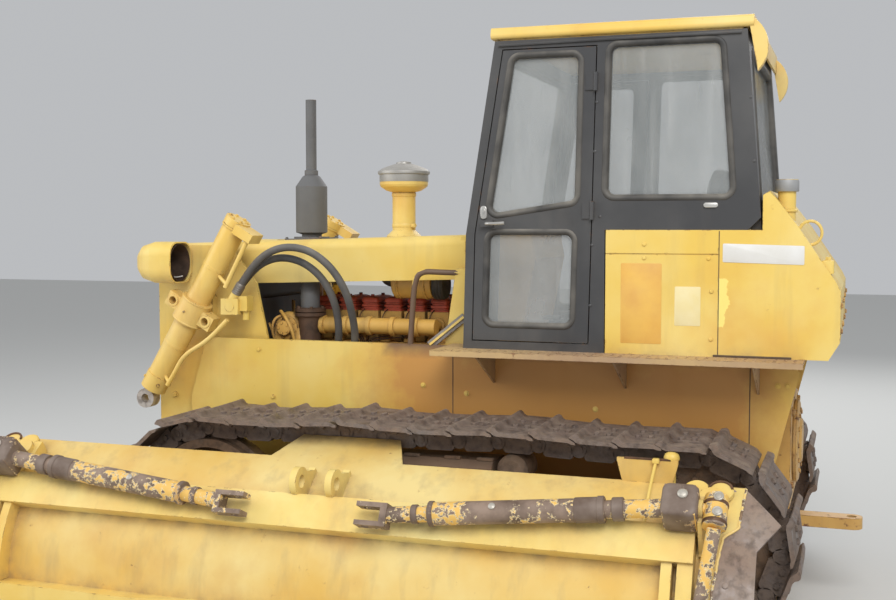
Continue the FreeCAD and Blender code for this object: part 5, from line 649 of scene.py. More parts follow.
def along_chain(points, faces, pins, side, wobble=None):
    """One link's part (u along, w outward, n up) copied to each link: pin + u*way + n*outward."""
    ahead = np.roll(pins, -1, 0) - pins
    pitch = np.linalg.norm(ahead, axis=1, keepdims=True)
    way = ahead / pitch
    out = np.c_[-way[:, 1], way[:, 0]]
    some = np.repeat(np.asarray(points, float)[None], len(pins), 0)
    if wobble is not None:
        some[:, :, 2] += wobble
    along = some[:, :, :1] * (pitch / PITCH_AIM)[:, None] * way[:, None]
    flat = pins[:, None] + along + some[:, :, 2:] * out[:, None]
    placed_at = np.stack([flat[..., 0], side * (TRACK_MID + some[..., 1]), flat[..., 1]], -1)
    faces = [[corner + link * len(points) for corner in face] for link in range(len(pins))
             for face in faces]
    return placed_at.reshape(-1, 3), faces


SHOE = ((-0.014, 0.050), (0.004, 0.050), (0.020, 0.056), (0.166, 0.056), (0.184, 0.061), (0.196, 0.071),
        (0.214, 0.079),
        (0.216, 0.085), (0.206, 0.093), (0.196, 0.100), (0.186, 0.101), (0.176, 0.096), (0.166, 0.083),
        (0.154, 0.077),
        (0.022, 0.076), (0.004, 0.068), (-0.012, 0.060))
LINK_BODY = ((0.040, -0.052), (0.163, -0.052), (0.176, -0.040), (0.170, -0.012), (0.166, 0.012),
             (0.178, 0.034),
             (0.180, 0.056), (0.024, 0.056), (0.024, 0.034), (0.036, 0.012), (0.032, -0.012),
             (0.026, -0.040))
ROW_IN, ROW_OUT, ROW_SPLIT = 0.046, 0.092, 0.070
pins = chain_pins()
links = []
for hand in (1.0, -1.0):
    near, middle, far = (hand * w for w in (ROW_IN, ROW_SPLIT, ROW_OUT))
    links.append(pulled(LINK_BODY, min(near, far), max(near, far)))
    links.append(disc(0.039, 0.0, -0.002, min(middle, far), max(middle, far)))
    links.append(disc(0.042, PITCH_AIM, -0.002, min(near, middle), max(near, middle)))
    links.append(disc(0.020, 0.0, -0.002, min(far, far + hand * 0.004), max(far, far + hand * 0.004), 10))
    # Each link half has two sockets for the shoe bolts' nuts.
    for u in (0.066, 0.137):
        links.append(disc(0.016, u, 0.026, min(far, far + hand * 0.012), max(far, far + hand * 0.012), 6))
links.append(disc(0.031, 0.0, -0.002, -ROW_IN, ROW_IN, 16))
# A hex bolt head: six sides and a slightly raised crown.
angle = np.radians(60) * np.arange(6)
hexagon = np.stack([0.014 * np.cos(angle), 0.014 * np.sin(angle)], -1)
for u in (0.062, 0.122):
    for w in (-0.080, -0.058, 0.058, 0.080):
        rings = np.concatenate([np.c_[u + size * hexagon[:, 0], w + size * hexagon[:, 1], np.full(6, n)]
                                for size, n in ((1.0, 0.072), (1.0, 0.087), (0.8, 0.0885))])
        links.append((rings, grid_faces(3, 6, ring=True) + [[12, 13, 14, 15, 16, 17]]))
link_points, link_faces = gathered(*links)
shoe_points, shoe_faces = pulled(SHOE, -SHOE_HALF, SHOE_HALF, 8)
chance = np.random.default_rng(7)
for side, tag in SIDES:
    chain = along_chain(link_points, link_faces, pins, side)
    # Bent shoes: each corner of a plate stands a few millimetres off, more towards its free end.
    corner = chance.normal(0, 0.0032, (len(pins), 2))
    share = np.abs(shoe_points[:, 1]) / SHOE_HALF
    bent = np.where(shoe_points[:, 1] < 0, corner[:, :1], corner[:, 1:]) * share ** 2
    shoes = along_chain(shoe_points, shoe_faces, pins, side, np.clip(bent, -0.006, 0.004))
    new_piece(f"track_links_{tag}", [chain], track_steel, crease=40)
    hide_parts(f"track_{tag}")
    new_piece(f"track_shoes_{tag}", [shoes], track_steel, crease=40)
    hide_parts(f"track_{tag}")

# Wheels of the track
# The cast idler, the bolted sprocket and the rollers are the CAD's; their covers, grease caps
# and ring bolts are forged steel, as rusty as they are.


def hex_bolts(centres, way, radius, height, collar=1.5):
    """Hexagonal bolt heads on washers: rings of 6 or 12 points about the way, one bolt per centre."""
    centres = np.atleast_2d(np.asarray(centres, float))
    way = np.asarray(way, float) / np.linalg.norm(way)
    first, second = across(way)
    angle = np.radians(30) * np.arange(12)
    round_about = np.cos(angle)[:, None] * first + np.sin(angle)[:, None] * second
    flat = np.where(np.arange(12) % 2 == 0, 1.0, math.cos(math.radians(30)))[:, None]
    rings = [round_about * radius * collar - way * 0.002,
             round_about * radius * collar + way * height * 0.2,
             round_about * radius * flat + way * height * 0.2,
             round_about * radius * flat + way * height * 0.9,
             round_about * radius * 0.86 * flat + way * height]
    one = np.concatenate(rings)
    faces = grid_faces(len(rings), 12, ring=True) + [list(range(48, 60))]
    points = (centres[:, None] + one[None]).reshape(-1, 3)
    return points, [[corner + 60 * at for corner in face] for at in range(len(centres)) for face in faces]


def ring_of(centre, radius, count, start=0.0):
    """Points on an upright circle in X and Z about a centre."""
    angle = start + 2 * np.pi * np.arange(count) / count
    return np.c_[centre[0] + radius * np.cos(angle), np.full(count, centre[1]),
                 centre[2] + radius * np.sin(angle)]


for side, tag in SIDES:
    out = (0, side, 0)
    sprocket_out = side * (TRACK_MID + 0.036)
    parts = [hex_bolts(ring_of((SPROCKET_AT[0], sprocket_out, SPROCKET_AT[1]), 0.285, 20), out, 0.015,
                       0.018),
             hex_bolts(ring_of((SPROCKET_AT[0], side * (TRACK_MID + 0.109), SPROCKET_AT[1]), 0.128, 10),
                       out, 0.011, 0.014),
             turned([(0.0, 0.0), (0.094, 0.0), (0.094, 0.010), (0.070, 0.018), (0.030, 0.018),
                     (0.026, 0.034), (0.0, 0.036)],
                    (SPROCKET_AT[0], side * (TRACK_MID + 0.127), SPROCKET_AT[1]), out, 28)]
    parts.append(hex_bolts(ring_of((IDLER_AT[0], side * (TRACK_MID + 0.134), IDLER_AT[1]), 0.042, 4, 0.785),
                           out,
                           0.009, 0.010))
    new_piece(f"wheel_bolts_{tag}", parts, cast_steel)

# Cab seals, latches and plates
# Each window sits in a black rubber seal with a raised bead on both sides; chromed catches are
# screwed to the steel frames.
CAB_OUT = 0.775
CAB_WALL = 0.050
WINDOW_ROUND = 0.046
DOOR_UPPER = ((-0.2057, 2.842), (-0.5602, 2.842), (-0.5432, 2.110), (-0.0792, 2.040))
DOOR_LOWER = ((-0.0789, 1.962), (-0.5318, 1.962), (-0.5209, 1.492), (-0.0652, 1.492))
REAR_WINDOW = ((-0.6990, 2.878), (-1.2423, 2.878), (-1.3014, 2.134), (-0.6818, 2.134))
FRONT_SCREEN = ((-0.670, 2.041), (0.670, 2.041), (0.640, 2.842), (-0.640, 2.842))
REAR_SCREEN = ((-0.640, 2.110), (0.640, 2.110), (0.610, 2.842), (-0.610, 2.842))
LOW_LIGHT = ((0.490, 1.450), (0.680, 1.450), (0.680, 1.924), (0.490, 1.924))
FRONT_EDGE = ((1.366, 0.050), (1.950, 0.035), (2.920, -0.118))
REAR_EDGE = ((1.975, -1.430), (2.920, -1.355))


def rounded_corners(corners, radius, steps=8):
    """A closed outline whose corners are arcs: the arc's centre lies on the corner's bisector."""
    corners = np.asarray(corners, float)
    back, ahead = np.roll(corners, 1, 0) - corners, np.roll(corners, -1, 0) - corners
    back /= np.linalg.norm(back, axis=1, keepdims=True)
    ahead /= np.linalg.norm(ahead, axis=1, keepdims=True)
    half = np.arccos(np.clip((back * ahead).sum(1), -1, 1)) / 2
    reach = (radius / np.tan(half))[:, None]
    middle = back + ahead
    middle /= np.linalg.norm(middle, axis=1, keepdims=True)
    centre = corners + middle * (radius / np.sin(half))[:, None]
    start, end = corners + back * reach - centre, corners + ahead * reach - centre
    t = np.linspace(0, 1, steps)[:, None]
    arc = start[:, None] * (1 - t) + end[:, None] * t
    arc *= radius / np.linalg.norm(arc, axis=2, keepdims=True)
    return (centre[:, None] + arc).reshape(-1, 2)


def seal_round(outline, lift, middle, half_thick):
    """A seal: a profile of (outward over the frame, height from the pane's middle) carried round the
    outline, on both faces of the wall, each point moved along the outline's own outward normal."""
    line = rounded_corners(outline, WINDOW_ROUND)
    ahead = np.roll(line, -1, 0) - np.roll(line, 1, 0)
    ahead /= np.linalg.norm(ahead, axis=1, keepdims=True)
    out = np.c_[ahead[:, 1], -ahead[:, 0]]
    out *= np.sign(((line - line.mean(0)) * out).sum())
    profile = np.array([(-0.014, 0.004), (-0.014, half_thick - 0.008), (-0.006, half_thick + 0.004),
                        (0.004, half_thick + 0.007),
                        (0.013, half_thick + 0.005), (0.018, half_thick - 0.001),
                        (0.018, half_thick - 0.006),
                        (0.001, half_thick - 0.006), (0.001, -half_thick + 0.006),
                        (0.018, -half_thick + 0.006), (0.018, -half_thick + 0.001),
                        (0.013, -half_thick - 0.005),
                        (0.004, -half_thick - 0.007), (-0.006, -half_thick - 0.004),
                        (-0.014, -half_thick + 0.008),
                        (-0.014, -0.004)])
    flat = line[:, None] + out[:, None] * profile[None, :, :1]
    return lift(flat, middle + np.broadcast_to(profile[:, 1], flat.shape[:2])).reshape(-1, 3), grid_faces(
        len(line), len(profile), ring=True, loop=True)


def on_side(flat, height):
    """Outline points (x, z) at a distance from the centre plane: left side for positive heights."""
    return np.stack([flat[..., 0], height, flat[..., 1]], -1)


def on_wall(edge, inward):
    """Outline points (y, z) on the front or rear wall: x from the cab's edge line at that z."""
    z, x = np.array(edge).T

    def lift(flat, height):
        return np.stack([np.interp(flat[..., 1], z, x) + inward * 0.025 + height, flat[..., 0],
                         flat[..., 1]], -1)
    return lift


seal_rubber = dusty("seal_rubber", (0.020, 0.020, 0.021, 1), (0.048, 0.046, 0.044, 1), 0.55, 0.55)
HALF_WALL = CAB_WALL / 2
for side, tag in SIDES:
    middle = side * (CAB_OUT - HALF_WALL)
    new_piece(f"door_seals_{tag}", [seal_round(DOOR_UPPER, on_side, middle, HALF_WALL),
                                    seal_round(DOOR_LOWER, on_side, middle, HALF_WALL)], seal_rubber,
              f"door_{tag}", crease=50)
    new_piece(f"window_seal_{tag}", [seal_round(REAR_WINDOW, on_side, middle, HALF_WALL)], seal_rubber,
              crease=50)
front_lift, rear_lift = on_wall(FRONT_EDGE, -1.0), on_wall(REAR_EDGE, 1.0)
mirrored_light = tuple((-y, z) for y, z in LOW_LIGHT)
new_piece("screen_seals", [seal_round(FRONT_SCREEN, front_lift, 0.0, HALF_WALL),
                           seal_round(LOW_LIGHT, front_lift, 0.0, HALF_WALL),
                           seal_round(mirrored_light, front_lift, 0.0, HALF_WALL),
                           seal_round(REAR_SCREEN, rear_lift, 0.0, HALF_WALL)], seal_rubber,
          crease=50)


def plate_on_side(outline, side, foot, thick, radius, bevel=0.002):
    """A thin plate on the machine's side: rings of its rounded outline from the foot outward, the
    last one drawn in by the bevel."""
    line = rounded_corners(outline, radius, 5)
    middle = line.mean(0)
    size = np.abs(line - middle).max(0)
    rings = []
    for inset, height in ((0.0, 0.0), (0.0, thick - bevel), (bevel * 0.4, thick - bevel * 0.3),
                          (bevel, thick)):
        ring = middle + (line - middle) * (1 - inset / size)
        rings.append(np.c_[ring[:, 0], np.full(len(ring), side * (foot + height)), ring[:, 1]])
    count = len(line)
    faces = grid_faces(4, count, ring=True) + [list(range(count))[::-1], list(range(3 * count, 4 * count))]
    return np.concatenate(rings), faces


def upright(x0, x1, z0, z1):
    """The four corners of an upright oblong."""
    return ((x0, z0), (x1, z0), (x1, z1), (x0, z1))


# Chromed catches, door lock and lever.
bright_steel = dusty("bright_steel", (0.66, 0.65, 0.62, 1), (0.50, 0.48, 0.45, 1), 0.28, 0.25,
                     metallic=0.75)
LOCK_AT, LEVER_AT, REAR_CATCH_AT = (-0.062, 2.062), (-0.110, 2.006), (-1.197, 2.094)
for side, tag in SIDES:
    x, z = LOCK_AT
    u, w = LEVER_AT
    lock = [plate_on_side(upright(x - 0.017, x + 0.017, z - 0.034, z + 0.034), side, CAB_OUT - 0.001, 0.011,
                          0.016),
            turned([(0.0, 0.0), (0.009, 0.0), (0.009, 0.008), (0.0, 0.008)],
                   (x, side * (CAB_OUT + 0.010), z + 0.008),
                   (0, side, 0), 14)]
    lever = bend_through([(u - 0.070, CAB_OUT + 0.040, w + 0.003), (u - 0.030, CAB_OUT + 0.043, w),
                          (u + 0.010, CAB_OUT + 0.041, w),
                          (u + 0.034, CAB_OUT + 0.028, w), (u + 0.040, CAB_OUT, w)], 6)
    lock.append(tube(lever * (1, side, 1), 0.0085, 10))
    new_piece(f"door_lock_{tag}", lock, bright_steel, f"door_{tag}")
    x, z = REAR_CATCH_AT
    new_piece(f"window_catch_{tag}", [plate_on_side(upright(x - 0.034, x + 0.034, z - 0.012, z + 0.012),
                                                    side, CAB_OUT - 0.001, 0.012, 0.011)], bright_steel)

# A drip rail over the door and cross-head screws along the frames.
rails = []
for side in (1.0, -1.0):
    y = side * (CAB_OUT + 0.006)
    rails.append(tube([(-0.140, y, 2.897), (-0.70, y, 2.903), (-1.330, y, 2.905)], 0.008, 8))
    for x, z in ((-0.640, 2.60), (-0.632, 2.36), (-0.622, 1.90), (-0.614, 1.60), (-0.660, 2.04),
                 (-1.395, 2.30),
                 (-1.375, 2.60)):
        rails.append(turned([(0.0, -0.001), (0.008, -0.001), (0.008, 0.0015), (0.005, 0.004),
                             (0.0, 0.0045)],
                            (x, side * CAB_OUT, z), (0, side, 0), 12))
new_piece("cab_rails", rails, cab_paint)

# Seams of the body: dark gaps where pressed panels meet, drawn as thin strips let into them.
seam_dark = dusty("seam_dark", (0.060, 0.040, 0.025, 1), (0.12, 0.075, 0.040, 1), 0.85, 0.2)


def seam_strip(path, side, y, wide=0.005):
    """A flat strip along (x, z) points, a fraction of a millimetre proud of the sheet, as a closed band."""
    path = np.asarray(path, float)
    ways = np.gradient(path, axis=0)
    ways /= np.linalg.norm(ways, axis=1, keepdims=True)
    off = np.c_[-ways[:, 1], ways[:, 0]] * wide / 2
    rings = [np.c_[(path + sign * off)[:, 0], np.full(len(path), side * (y + height)),
                   (path + sign * off)[:, 1]]
             for sign, height in ((-1, -0.002), (-1, 0.0006), (1, 0.0006), (1, -0.002))]
    points = np.stack(rings, 1).reshape(-1, 3)
    faces = grid_faces(len(path), 4, ring=True) + [[0, 1, 2, 3],
                                                   list(range(4 * len(path) - 4, 4 * len(path)))[::-1]]
    return points, faces


BOX_SIDE = 0.778
SIDE_SHEET = 0.565
seams = []
for side in (1.0, -1.0):
    seams += [seam_strip([(0.177, 1.345), (0.177, 0.70)], side, SIDE_SHEET),
              seam_strip([(-1.374, 1.345), (-1.374, 0.80)], side, SIDE_SHEET),
              seam_strip([(-1.2385, 1.372), (-1.2385, 1.970)], side, BOX_SIDE, 0.004)]
new_piece("body_seams", seams, seam_dark)

# Blank plates: an orange-yellow table and a cream label on the locker, a white plate on the tank.
table_ink = dusty("orange_plate", (0.80, 0.47, 0.085, 1), (0.72, 0.38, 0.070, 1), 0.5, 0.25)
cream_label = dusty("cream_label", (0.80, 0.66, 0.30, 1), (0.84, 0.73, 0.42, 1), 0.45, 0.2)
white_plate = dusty("white_plate", (0.78, 0.77, 0.74, 1), (0.70, 0.68, 0.63, 1), 0.42, 0.25)
for side, tag in SIDES:
    for name, corners, finish, thick in (
            ("table_plate", upright(-0.966, -0.767, 1.420, 1.812), table_ink, 0.0012),
            ("small_label", upright(-1.154, -1.030, 1.512, 1.702), cream_label, 0.0012),
            ("side_plate", ((-1.256, 1.822), (-1.630, 1.812), (-1.630, 1.901), (-1.256, 1.911)),
             white_plate, 0.002)):
        if side > 0 or name == "side_plate":
            new_piece(f"{name}_{tag}", [plate_on_side(corners, side, BOX_SIDE, thick, 0.006, 0.0005)],
                      finish)

# Screws and latches of the lockers, bolts of the side sheets and of the guard's rear edge.
fasteners = []
for side in (1.0, -1.0):
    out = (0, side, 0)
    for x, z in ((-0.880, 1.905), (-0.880, 1.838), (-1.190, 1.838), (-1.205, 1.680), (-1.205, 1.450)):
        fasteners.append(turned([(0.0, -0.001), (0.010, -0.001), (0.010, 0.003), (0.006, 0.0065),
                                 (0.0, 0.007)],
                                (x, side * BOX_SIDE, z), out, 12))
    fasteners.append(hex_bolts([(x, side * SIDE_SHEET, z) for x, z in
                                ((1.341, 1.294), (1.253, 1.027), (0.347, 1.134), (0.100, 1.10),
                                 (-0.60, 1.05), (-1.507, 1.211),
                                 (-1.554, 1.213), (1.62, 0.80), (0.80, 0.72), (0.0, 0.72), (-0.80, 0.72))],
                               out, 0.010, 0.009))
new_piece("panel_screws", fasteners, body_paint)

# Engine bay
# A cast six-cylinder engine: red rocker covers on the heads, a dark riser with its flanges up
# to the muffler, the blower's casting, the air filter's can, and steel fuel lines.
cover_red = painted("cover_red", (0.62, 0.075, 0.035, 1), (0.68, 0.16, 0.09, 1), (0.34, 0.045, 0.025, 1),
                    0.6, 0.35, 0.8,
                    0.4, soil=(0.12, 0.06, 0.04, 1))
riser_iron = rusty("riser_iron", (0.115, 0.075, 0.052, 1), (0.135, 0.070, 0.040, 1), (0.16, 0.11, 0.075, 1),
                   0.9, 0.4, 0.002)
black_rubber = dusty("black_rubber", (0.022, 0.021, 0.021, 1), (0.050, 0.047, 0.045, 1), 0.6, 0.35)
EXHAUST_AT = 1.275
RISER_AT = (1.130, 0.330)
HEADS_REAR, HEADS_FRONT, CYLINDERS = 0.330, 1.195, 6
HEAD_TOP = 1.500
MANIFOLD_AT = (0.315, 1.425)


def loaf(centre, size, rings):
    """A block with round corners, stacked from level rings: each ring is the rounded oblong of the
    size, made smaller by its inset, at its height."""
    x, y, z = centre
    line = rounded_corners(upright(-size[0] / 2, size[0] / 2, -size[1] / 2, size[1] / 2), min(size) * 0.18,
                           4)
    share = np.abs(line).max(0)
    points = [np.c_[x + line[:, 0] * (1 - inset / share[0]), y + line[:, 1] * (1 - inset / share[1]),
                    np.full(len(line), z + height)] for inset, height in rings]
    count = len(line)
    faces = grid_faces(len(rings), count, ring=True)
    faces += [list(range(count))[::-1], list(range((len(rings) - 1) * count, len(rings) * count))]
    return np.concatenate(points), faces


each = (HEADS_FRONT - HEADS_REAR) / CYLINDERS
head_middles = HEADS_REAR + each * (np.arange(CYLINDERS) + 0.5)
ribbed = [(0.0, -0.002), (0.0, 0.010), (0.008, 0.013), (0.008, 0.020), (0.002, 0.024), (0.002, 0.034),
          (0.010, 0.038),
          (0.010, 0.046), (0.003, 0.050), (0.003, 0.062), (0.010, 0.074), (0.030, 0.080)]
covers = [loaf((x, 0.02, HEAD_TOP), (each - 0.028, 0.270), ribbed) for x in head_middles]
covers += [hex_bolts([(x, y, HEAD_TOP + 0.078) for y in (-0.06, 0.10)], (0, 0, 1), 0.011, 0.014)
           for x in head_middles]
new_piece("rocker_covers", covers, cover_red)

# The riser's cast elbow stands before the manifold, and a steel pipe leads from it to the muffler.
x, y = RISER_AT
riser = [turned([(0.0, 1.225), (0.060, 1.225), (0.064, 1.245), (0.062, 1.330), (0.066, 1.400),
                 (0.072, 1.470), (0.090, 1.476),
                 (0.090, 1.494), (0.076, 1.497), (0.090, 1.500), (0.090, 1.518), (0.064, 1.524),
                 (0.0, 1.524)], (x, y, 0), (0, 0, 1), 28),
         hex_bolts(np.c_[x + 0.078 * np.cos(np.arange(6) * 1.047), y + 0.078 * np.sin(np.arange(6) * 1.047),
                         np.full(6, 1.517)],
                   (0, 0, 1), 0.010, 0.014)]
new_piece("riser_elbow", riser, riser_iron)
pipe = bend_through([(x, y, 1.51), (x, y, 1.60), (x + 0.04, y - 0.09, 1.72), (EXHAUST_AT, 0.06, 1.80),
                     (EXHAUST_AT, 0.0, 1.885)], 8)
new_piece("riser_pipe", [tube(pipe, 0.056, 20)], muffler_paint)

# Blower casting beside the riser: a scroll, its ribbed housing, clamp and oil lines.
scroll_turn = np.radians(np.linspace(0, 330, 34))
scroll = np.c_[1.262 + 0.052 * np.cos(scroll_turn), np.full(34, 0.330), 1.405 + 0.058 * np.sin(scroll_turn)]
blower = [tube(scroll, 0.034, 12),
          turned([(0.0, -0.085), (0.040, -0.085), (0.046, -0.070), (0.046, -0.052), (0.062, -0.048),
                  (0.062, -0.038), (0.048, -0.034),
                  (0.052, 0.000), (0.060, 0.030), (0.068, 0.034), (0.068, 0.046), (0.046, 0.050),
                  (0.042, 0.085), (0.0, 0.088)],
                 (1.262, 0.330, 1.405), (0, 1, 0), 26),
          loaf((1.245, 0.300, 1.300), (0.120, 0.110), [(0.0, 0.0), (0.0, 0.020), (0.010, 0.026),
                                                       (0.014, 0.060), (0.004, 0.070)]),
          loaf((1.310, 0.350, 1.335), (0.060, 0.070), [(0.0, 0.0), (0.0, 0.050), (0.006, 0.060),
                                                       (0.012, 0.095), (0.018, 0.100)]),
          loaf((1.195, 0.352, 1.318), (0.050, 0.055), [(0.0, 0.0), (0.0, 0.040), (0.006, 0.052),
                                                       (0.006, 0.084), (0.016, 0.090)]),
          tube(bend_through([(1.20, 0.39, 1.31), (1.21, 0.41, 1.40), (1.25, 0.41, 1.47),
                             (1.30, 0.37, 1.50)], 6), 0.010, 8),
          tube(bend_through([(1.33, 0.36, 1.30), (1.345, 0.40, 1.38), (1.33, 0.40, 1.46),
                             (1.28, 0.36, 1.48)], 6), 0.008, 8),
          hex_bolts(ring_of((1.262, 0.412, 1.405), 0.030, 5), (0, 1, 0), 0.007, 0.010),
          hex_bolts(ring_of((1.262, 0.376, 1.405), 0.058, 8, 0.3), (0, 1, 0), 0.006, 0.009)]
new_piece("blower_casting", blower, engine_paint)

# Manifold: bolted flanges at every port, slip rings between the branches.
y, z = MANIFOLD_AT
collars = [turned([(0.0, -0.015), (0.050, -0.015), (0.055, -0.012), (0.055, 0.012), (0.050, 0.015),
                   (0.0, 0.015)], (x, y, z), (1, 0, 0), 24)
           for x in (head_middles[1:] + head_middles[:-1]) / 2]
for x in head_middles:
    collars.append(turned([(0.0, 0.0), (0.044, 0.0), (0.044, 0.012), (0.0, 0.012)], (x, 0.172, z),
                          (0, 1, 0), 20))
    collars.append(hex_bolts([(x - 0.034, 0.184, z - 0.028), (x + 0.034, 0.184, z + 0.028)], (0, 1, 0),
                             0.009, 0.011))
    # Cast webs under each branch, and the heads' core plugs.
    collars.append(loaf((x, 0.246, 1.334), (0.060, 0.050),
                        [(0.0, 0.0), (0.0, 0.018), (0.010, 0.028), (0.014, 0.050)]))
    collars.append(turned([(0.0, 0.0), (0.021, 0.0), (0.021, 0.004), (0.015, 0.002), (0.0, 0.002)],
                          (x + 0.05, 0.1695, 1.37), (0, 1, 0), 16))
new_piece("manifold_flanges", collars, engine_paint)
lines = [tube(bend_through([(0.78 + 0.012 * at, 0.262, 1.30),
                            (0.78 + 0.012 * at, 0.285, 1.345 + 0.006 * at),
                            (x + 0.03, 0.290, 1.372 + 0.004 * at),
                            (x + 0.030, 0.215, 1.492), (x + 0.026, 0.160, 1.508)], 6), 0.0035, 6)
         for at, x in enumerate(head_middles)]
new_piece("fuel_lines", lines, riser_iron)

# Air filter's can across the rear of the bay, with a black elbow up to the pre-cleaner.
can = turned([(0.0, 0.0), (0.088, 0.0), (0.098, 0.008), (0.098, 0.030), (0.103, 0.033), (0.103, 0.041),
              (0.098, 0.044), (0.098, 0.190),
              (0.103, 0.193), (0.103, 0.203), (0.098, 0.206), (0.094, 0.236), (0.0, 0.244)],
             (0.640, 0.215, 1.678), (-1, 0, 0), 36)
new_piece("filter_can", [can], engine_paint)
boot = [turned([(0.0, 0.0), (0.082, 0.0), (0.086, 0.010), (0.082, 0.020), (0.086, 0.030), (0.082, 0.040),
                (0.086, 0.050), (0.078, 0.064), (0.0, 0.066)],
               (0.398, 0.215, 1.660), (-1, 0, 0), 30)]
boot.append(tube(bend_through([(0.642, 0.205, 1.690), (0.700, 0.190, 1.700), (0.705, 0.120, 1.720),
                               (0.675, 0.010, 1.780), (0.675, 0.0, 1.900)], 8),
                 0.052, 18))
new_piece("intake_boots", boot, black_rubber)

# Hood and stack
# A grey plate under the muffler, the pre-cleaner's bright lid and clear band, clamps, and dark
# liners in the empty lamp pods with the stub of a lamp holder.
HOOD_FRONT_AT, HOOD_REAR_AT = (1.980, 1.890), (0.155, 1.946)


def hood_height(x):
    """Height of the hood's top at x, on its straight slope."""
    return np.interp(x, [HOOD_REAR_AT[0], HOOD_FRONT_AT[0]], [HOOD_REAR_AT[1], HOOD_FRONT_AT[1]])


slope = math.atan((HOOD_REAR_AT[1] - HOOD_FRONT_AT[1]) / (HOOD_FRONT_AT[0] - HOOD_REAR_AT[0]))
up_from_hood = (math.sin(slope), 0, math.cos(slope))
plate_points, plate_faces = loaf((0, 0, 0), (0.265, 0.265), [(0.0, -0.001), (0.0, 0.006), (0.003, 0.008)])
plate_points[:, 2] += hood_height(EXHAUST_AT) - plate_points[:, 0] * math.tan(slope)
plate_points[:, 0] += EXHAUST_AT
stack = [(plate_points, plate_faces),
         hex_bolts([(EXHAUST_AT + a, b, float(hood_height(EXHAUST_AT + a)) + 0.008)
                    for a in (-0.112, 0.112) for b in (-0.112, 0.112)],
                   up_from_hood, 0.009, 0.010),
         turned([(0.0, 2.300), (0.041, 2.300), (0.041, 2.326), (0.034, 2.330), (0.0, 2.330)],
                (EXHAUST_AT, 0, 0), (0, 0, 1), 24)]
new_piece("muffler_plate", stack, muffler_paint)
CLEANER_AT = 0.675
lid_metal = dusty("lid_metal", (0.46, 0.45, 0.43, 1), (0.34, 0.33, 0.31, 1), 0.42, 0.5, metallic=0.55)
lid = [(0.0, 2.2935), (0.1445, 2.2935), (0.1525, 2.297), (0.1535, 2.305), (0.1525, 2.313), (0.147, 2.317),
       (0.131, 2.329), (0.100, 2.341), (0.064, 2.3535),
       (0.046, 2.3575), (0.044, 2.366), (0.020, 2.372), (0.0, 2.373)]
band = [(0.0, 2.252), (0.1430, 2.252), (0.1440, 2.256), (0.1440, 2.2955), (0.0, 2.2955)]
new_piece("cleaner_lid", [turned(lid, (CLEANER_AT, 0, 0), (0, 0, 1), 56),
                          turned(band, (CLEANER_AT, 0, 0), (0, 0, 1), 56)], lid_metal)
clamp = [turned([(0.0, 1.985), (0.0695, 1.985), (0.0705, 1.987), (0.0705, 2.005), (0.0695, 2.007),
                 (0.0, 2.007)], (CLEANER_AT, 0, 0), (0, 0, 1), 36),
         turned([(0.0, 2.165), (0.0695, 2.165), (0.072, 2.168), (0.072, 2.184), (0.0695, 2.187),
                 (0.0, 2.187)], (CLEANER_AT, 0, 0), (0, 0, 1), 36),
         loaf((CLEANER_AT - 0.072, 0.030, 1.985), (0.024, 0.030), [(0.0, 0.0), (0.0, 0.022)]),
         tube([(CLEANER_AT - 0.076, 0.050, 1.996), (CLEANER_AT - 0.076, 0.000, 1.996)], 0.005, 8),
         hex_bolts(np.c_[CLEANER_AT + 0.090 * np.cos(np.arange(6) * 1.047 + 0.5),
                         0.090 * np.sin(np.arange(6) * 1.047 + 0.5),
                         np.full(6, float(hood_height(CLEANER_AT)) + 0.004)], (0, 0, 1), 0.008, 0.009)]
new_piece("cleaner_clamps", clamp, body_paint)

POD_AT, POD_REAR = (1.925, 0.630, 1.785), 1.800
liner_dark = rusty("liner_dark", (0.055, 0.040, 0.032, 1), (0.085, 0.045, 0.026, 1), (0.16, 0.11, 0.075, 1),
                   0.9, 0.35, 0.001)
holder_white = dusty("holder_white", (0.72, 0.71, 0.68, 1), (0.60, 0.58, 0.54, 1), 0.4, 0.3)
cup = [(0.1035, 0.006), (0.1050, 0.040), (0.1000, 0.120), (0.080, 0.175), (0.040, 0.200), (0.0, 0.204),
       (0.0, 0.207), (0.042, 0.203), (0.083, 0.177),
       (0.1030, 0.121), (0.1080, 0.040), (0.1065, 0.006), (0.1035, 0.006)]
for side, tag in SIDES:
    x, y, z = POD_REAR, side * POD_AT[1], POD_AT[2]
    new_piece(f"pod_liner_{tag}", [turned(cup, (x, y, z), (1, 0, 0), 40)], liner_dark)
    holder = [turned([(0.0, 0.0), (0.016, 0.0), (0.020, 0.012), (0.013, 0.020), (0.013, 0.045),
                      (0.008, 0.050), (0.0, 0.051)],
                     (x + 0.150, y - side * 0.030, z - 0.045), (-0.9, side * 0.35, -0.10), 16),
              tube(bend_through([(x + 0.150, y - side * 0.03, z - 0.045),
                                 (x + 0.10, y - side * 0.045, z - 0.085),
                                 (x + 0.05, y - side * 0.03, z - 0.088),
                                 (x + 0.012, y - side * 0.035, z - 0.080)], 6), 0.004, 8)]
    new_piece(f"lamp_holder_{tag}", holder, holder_white)

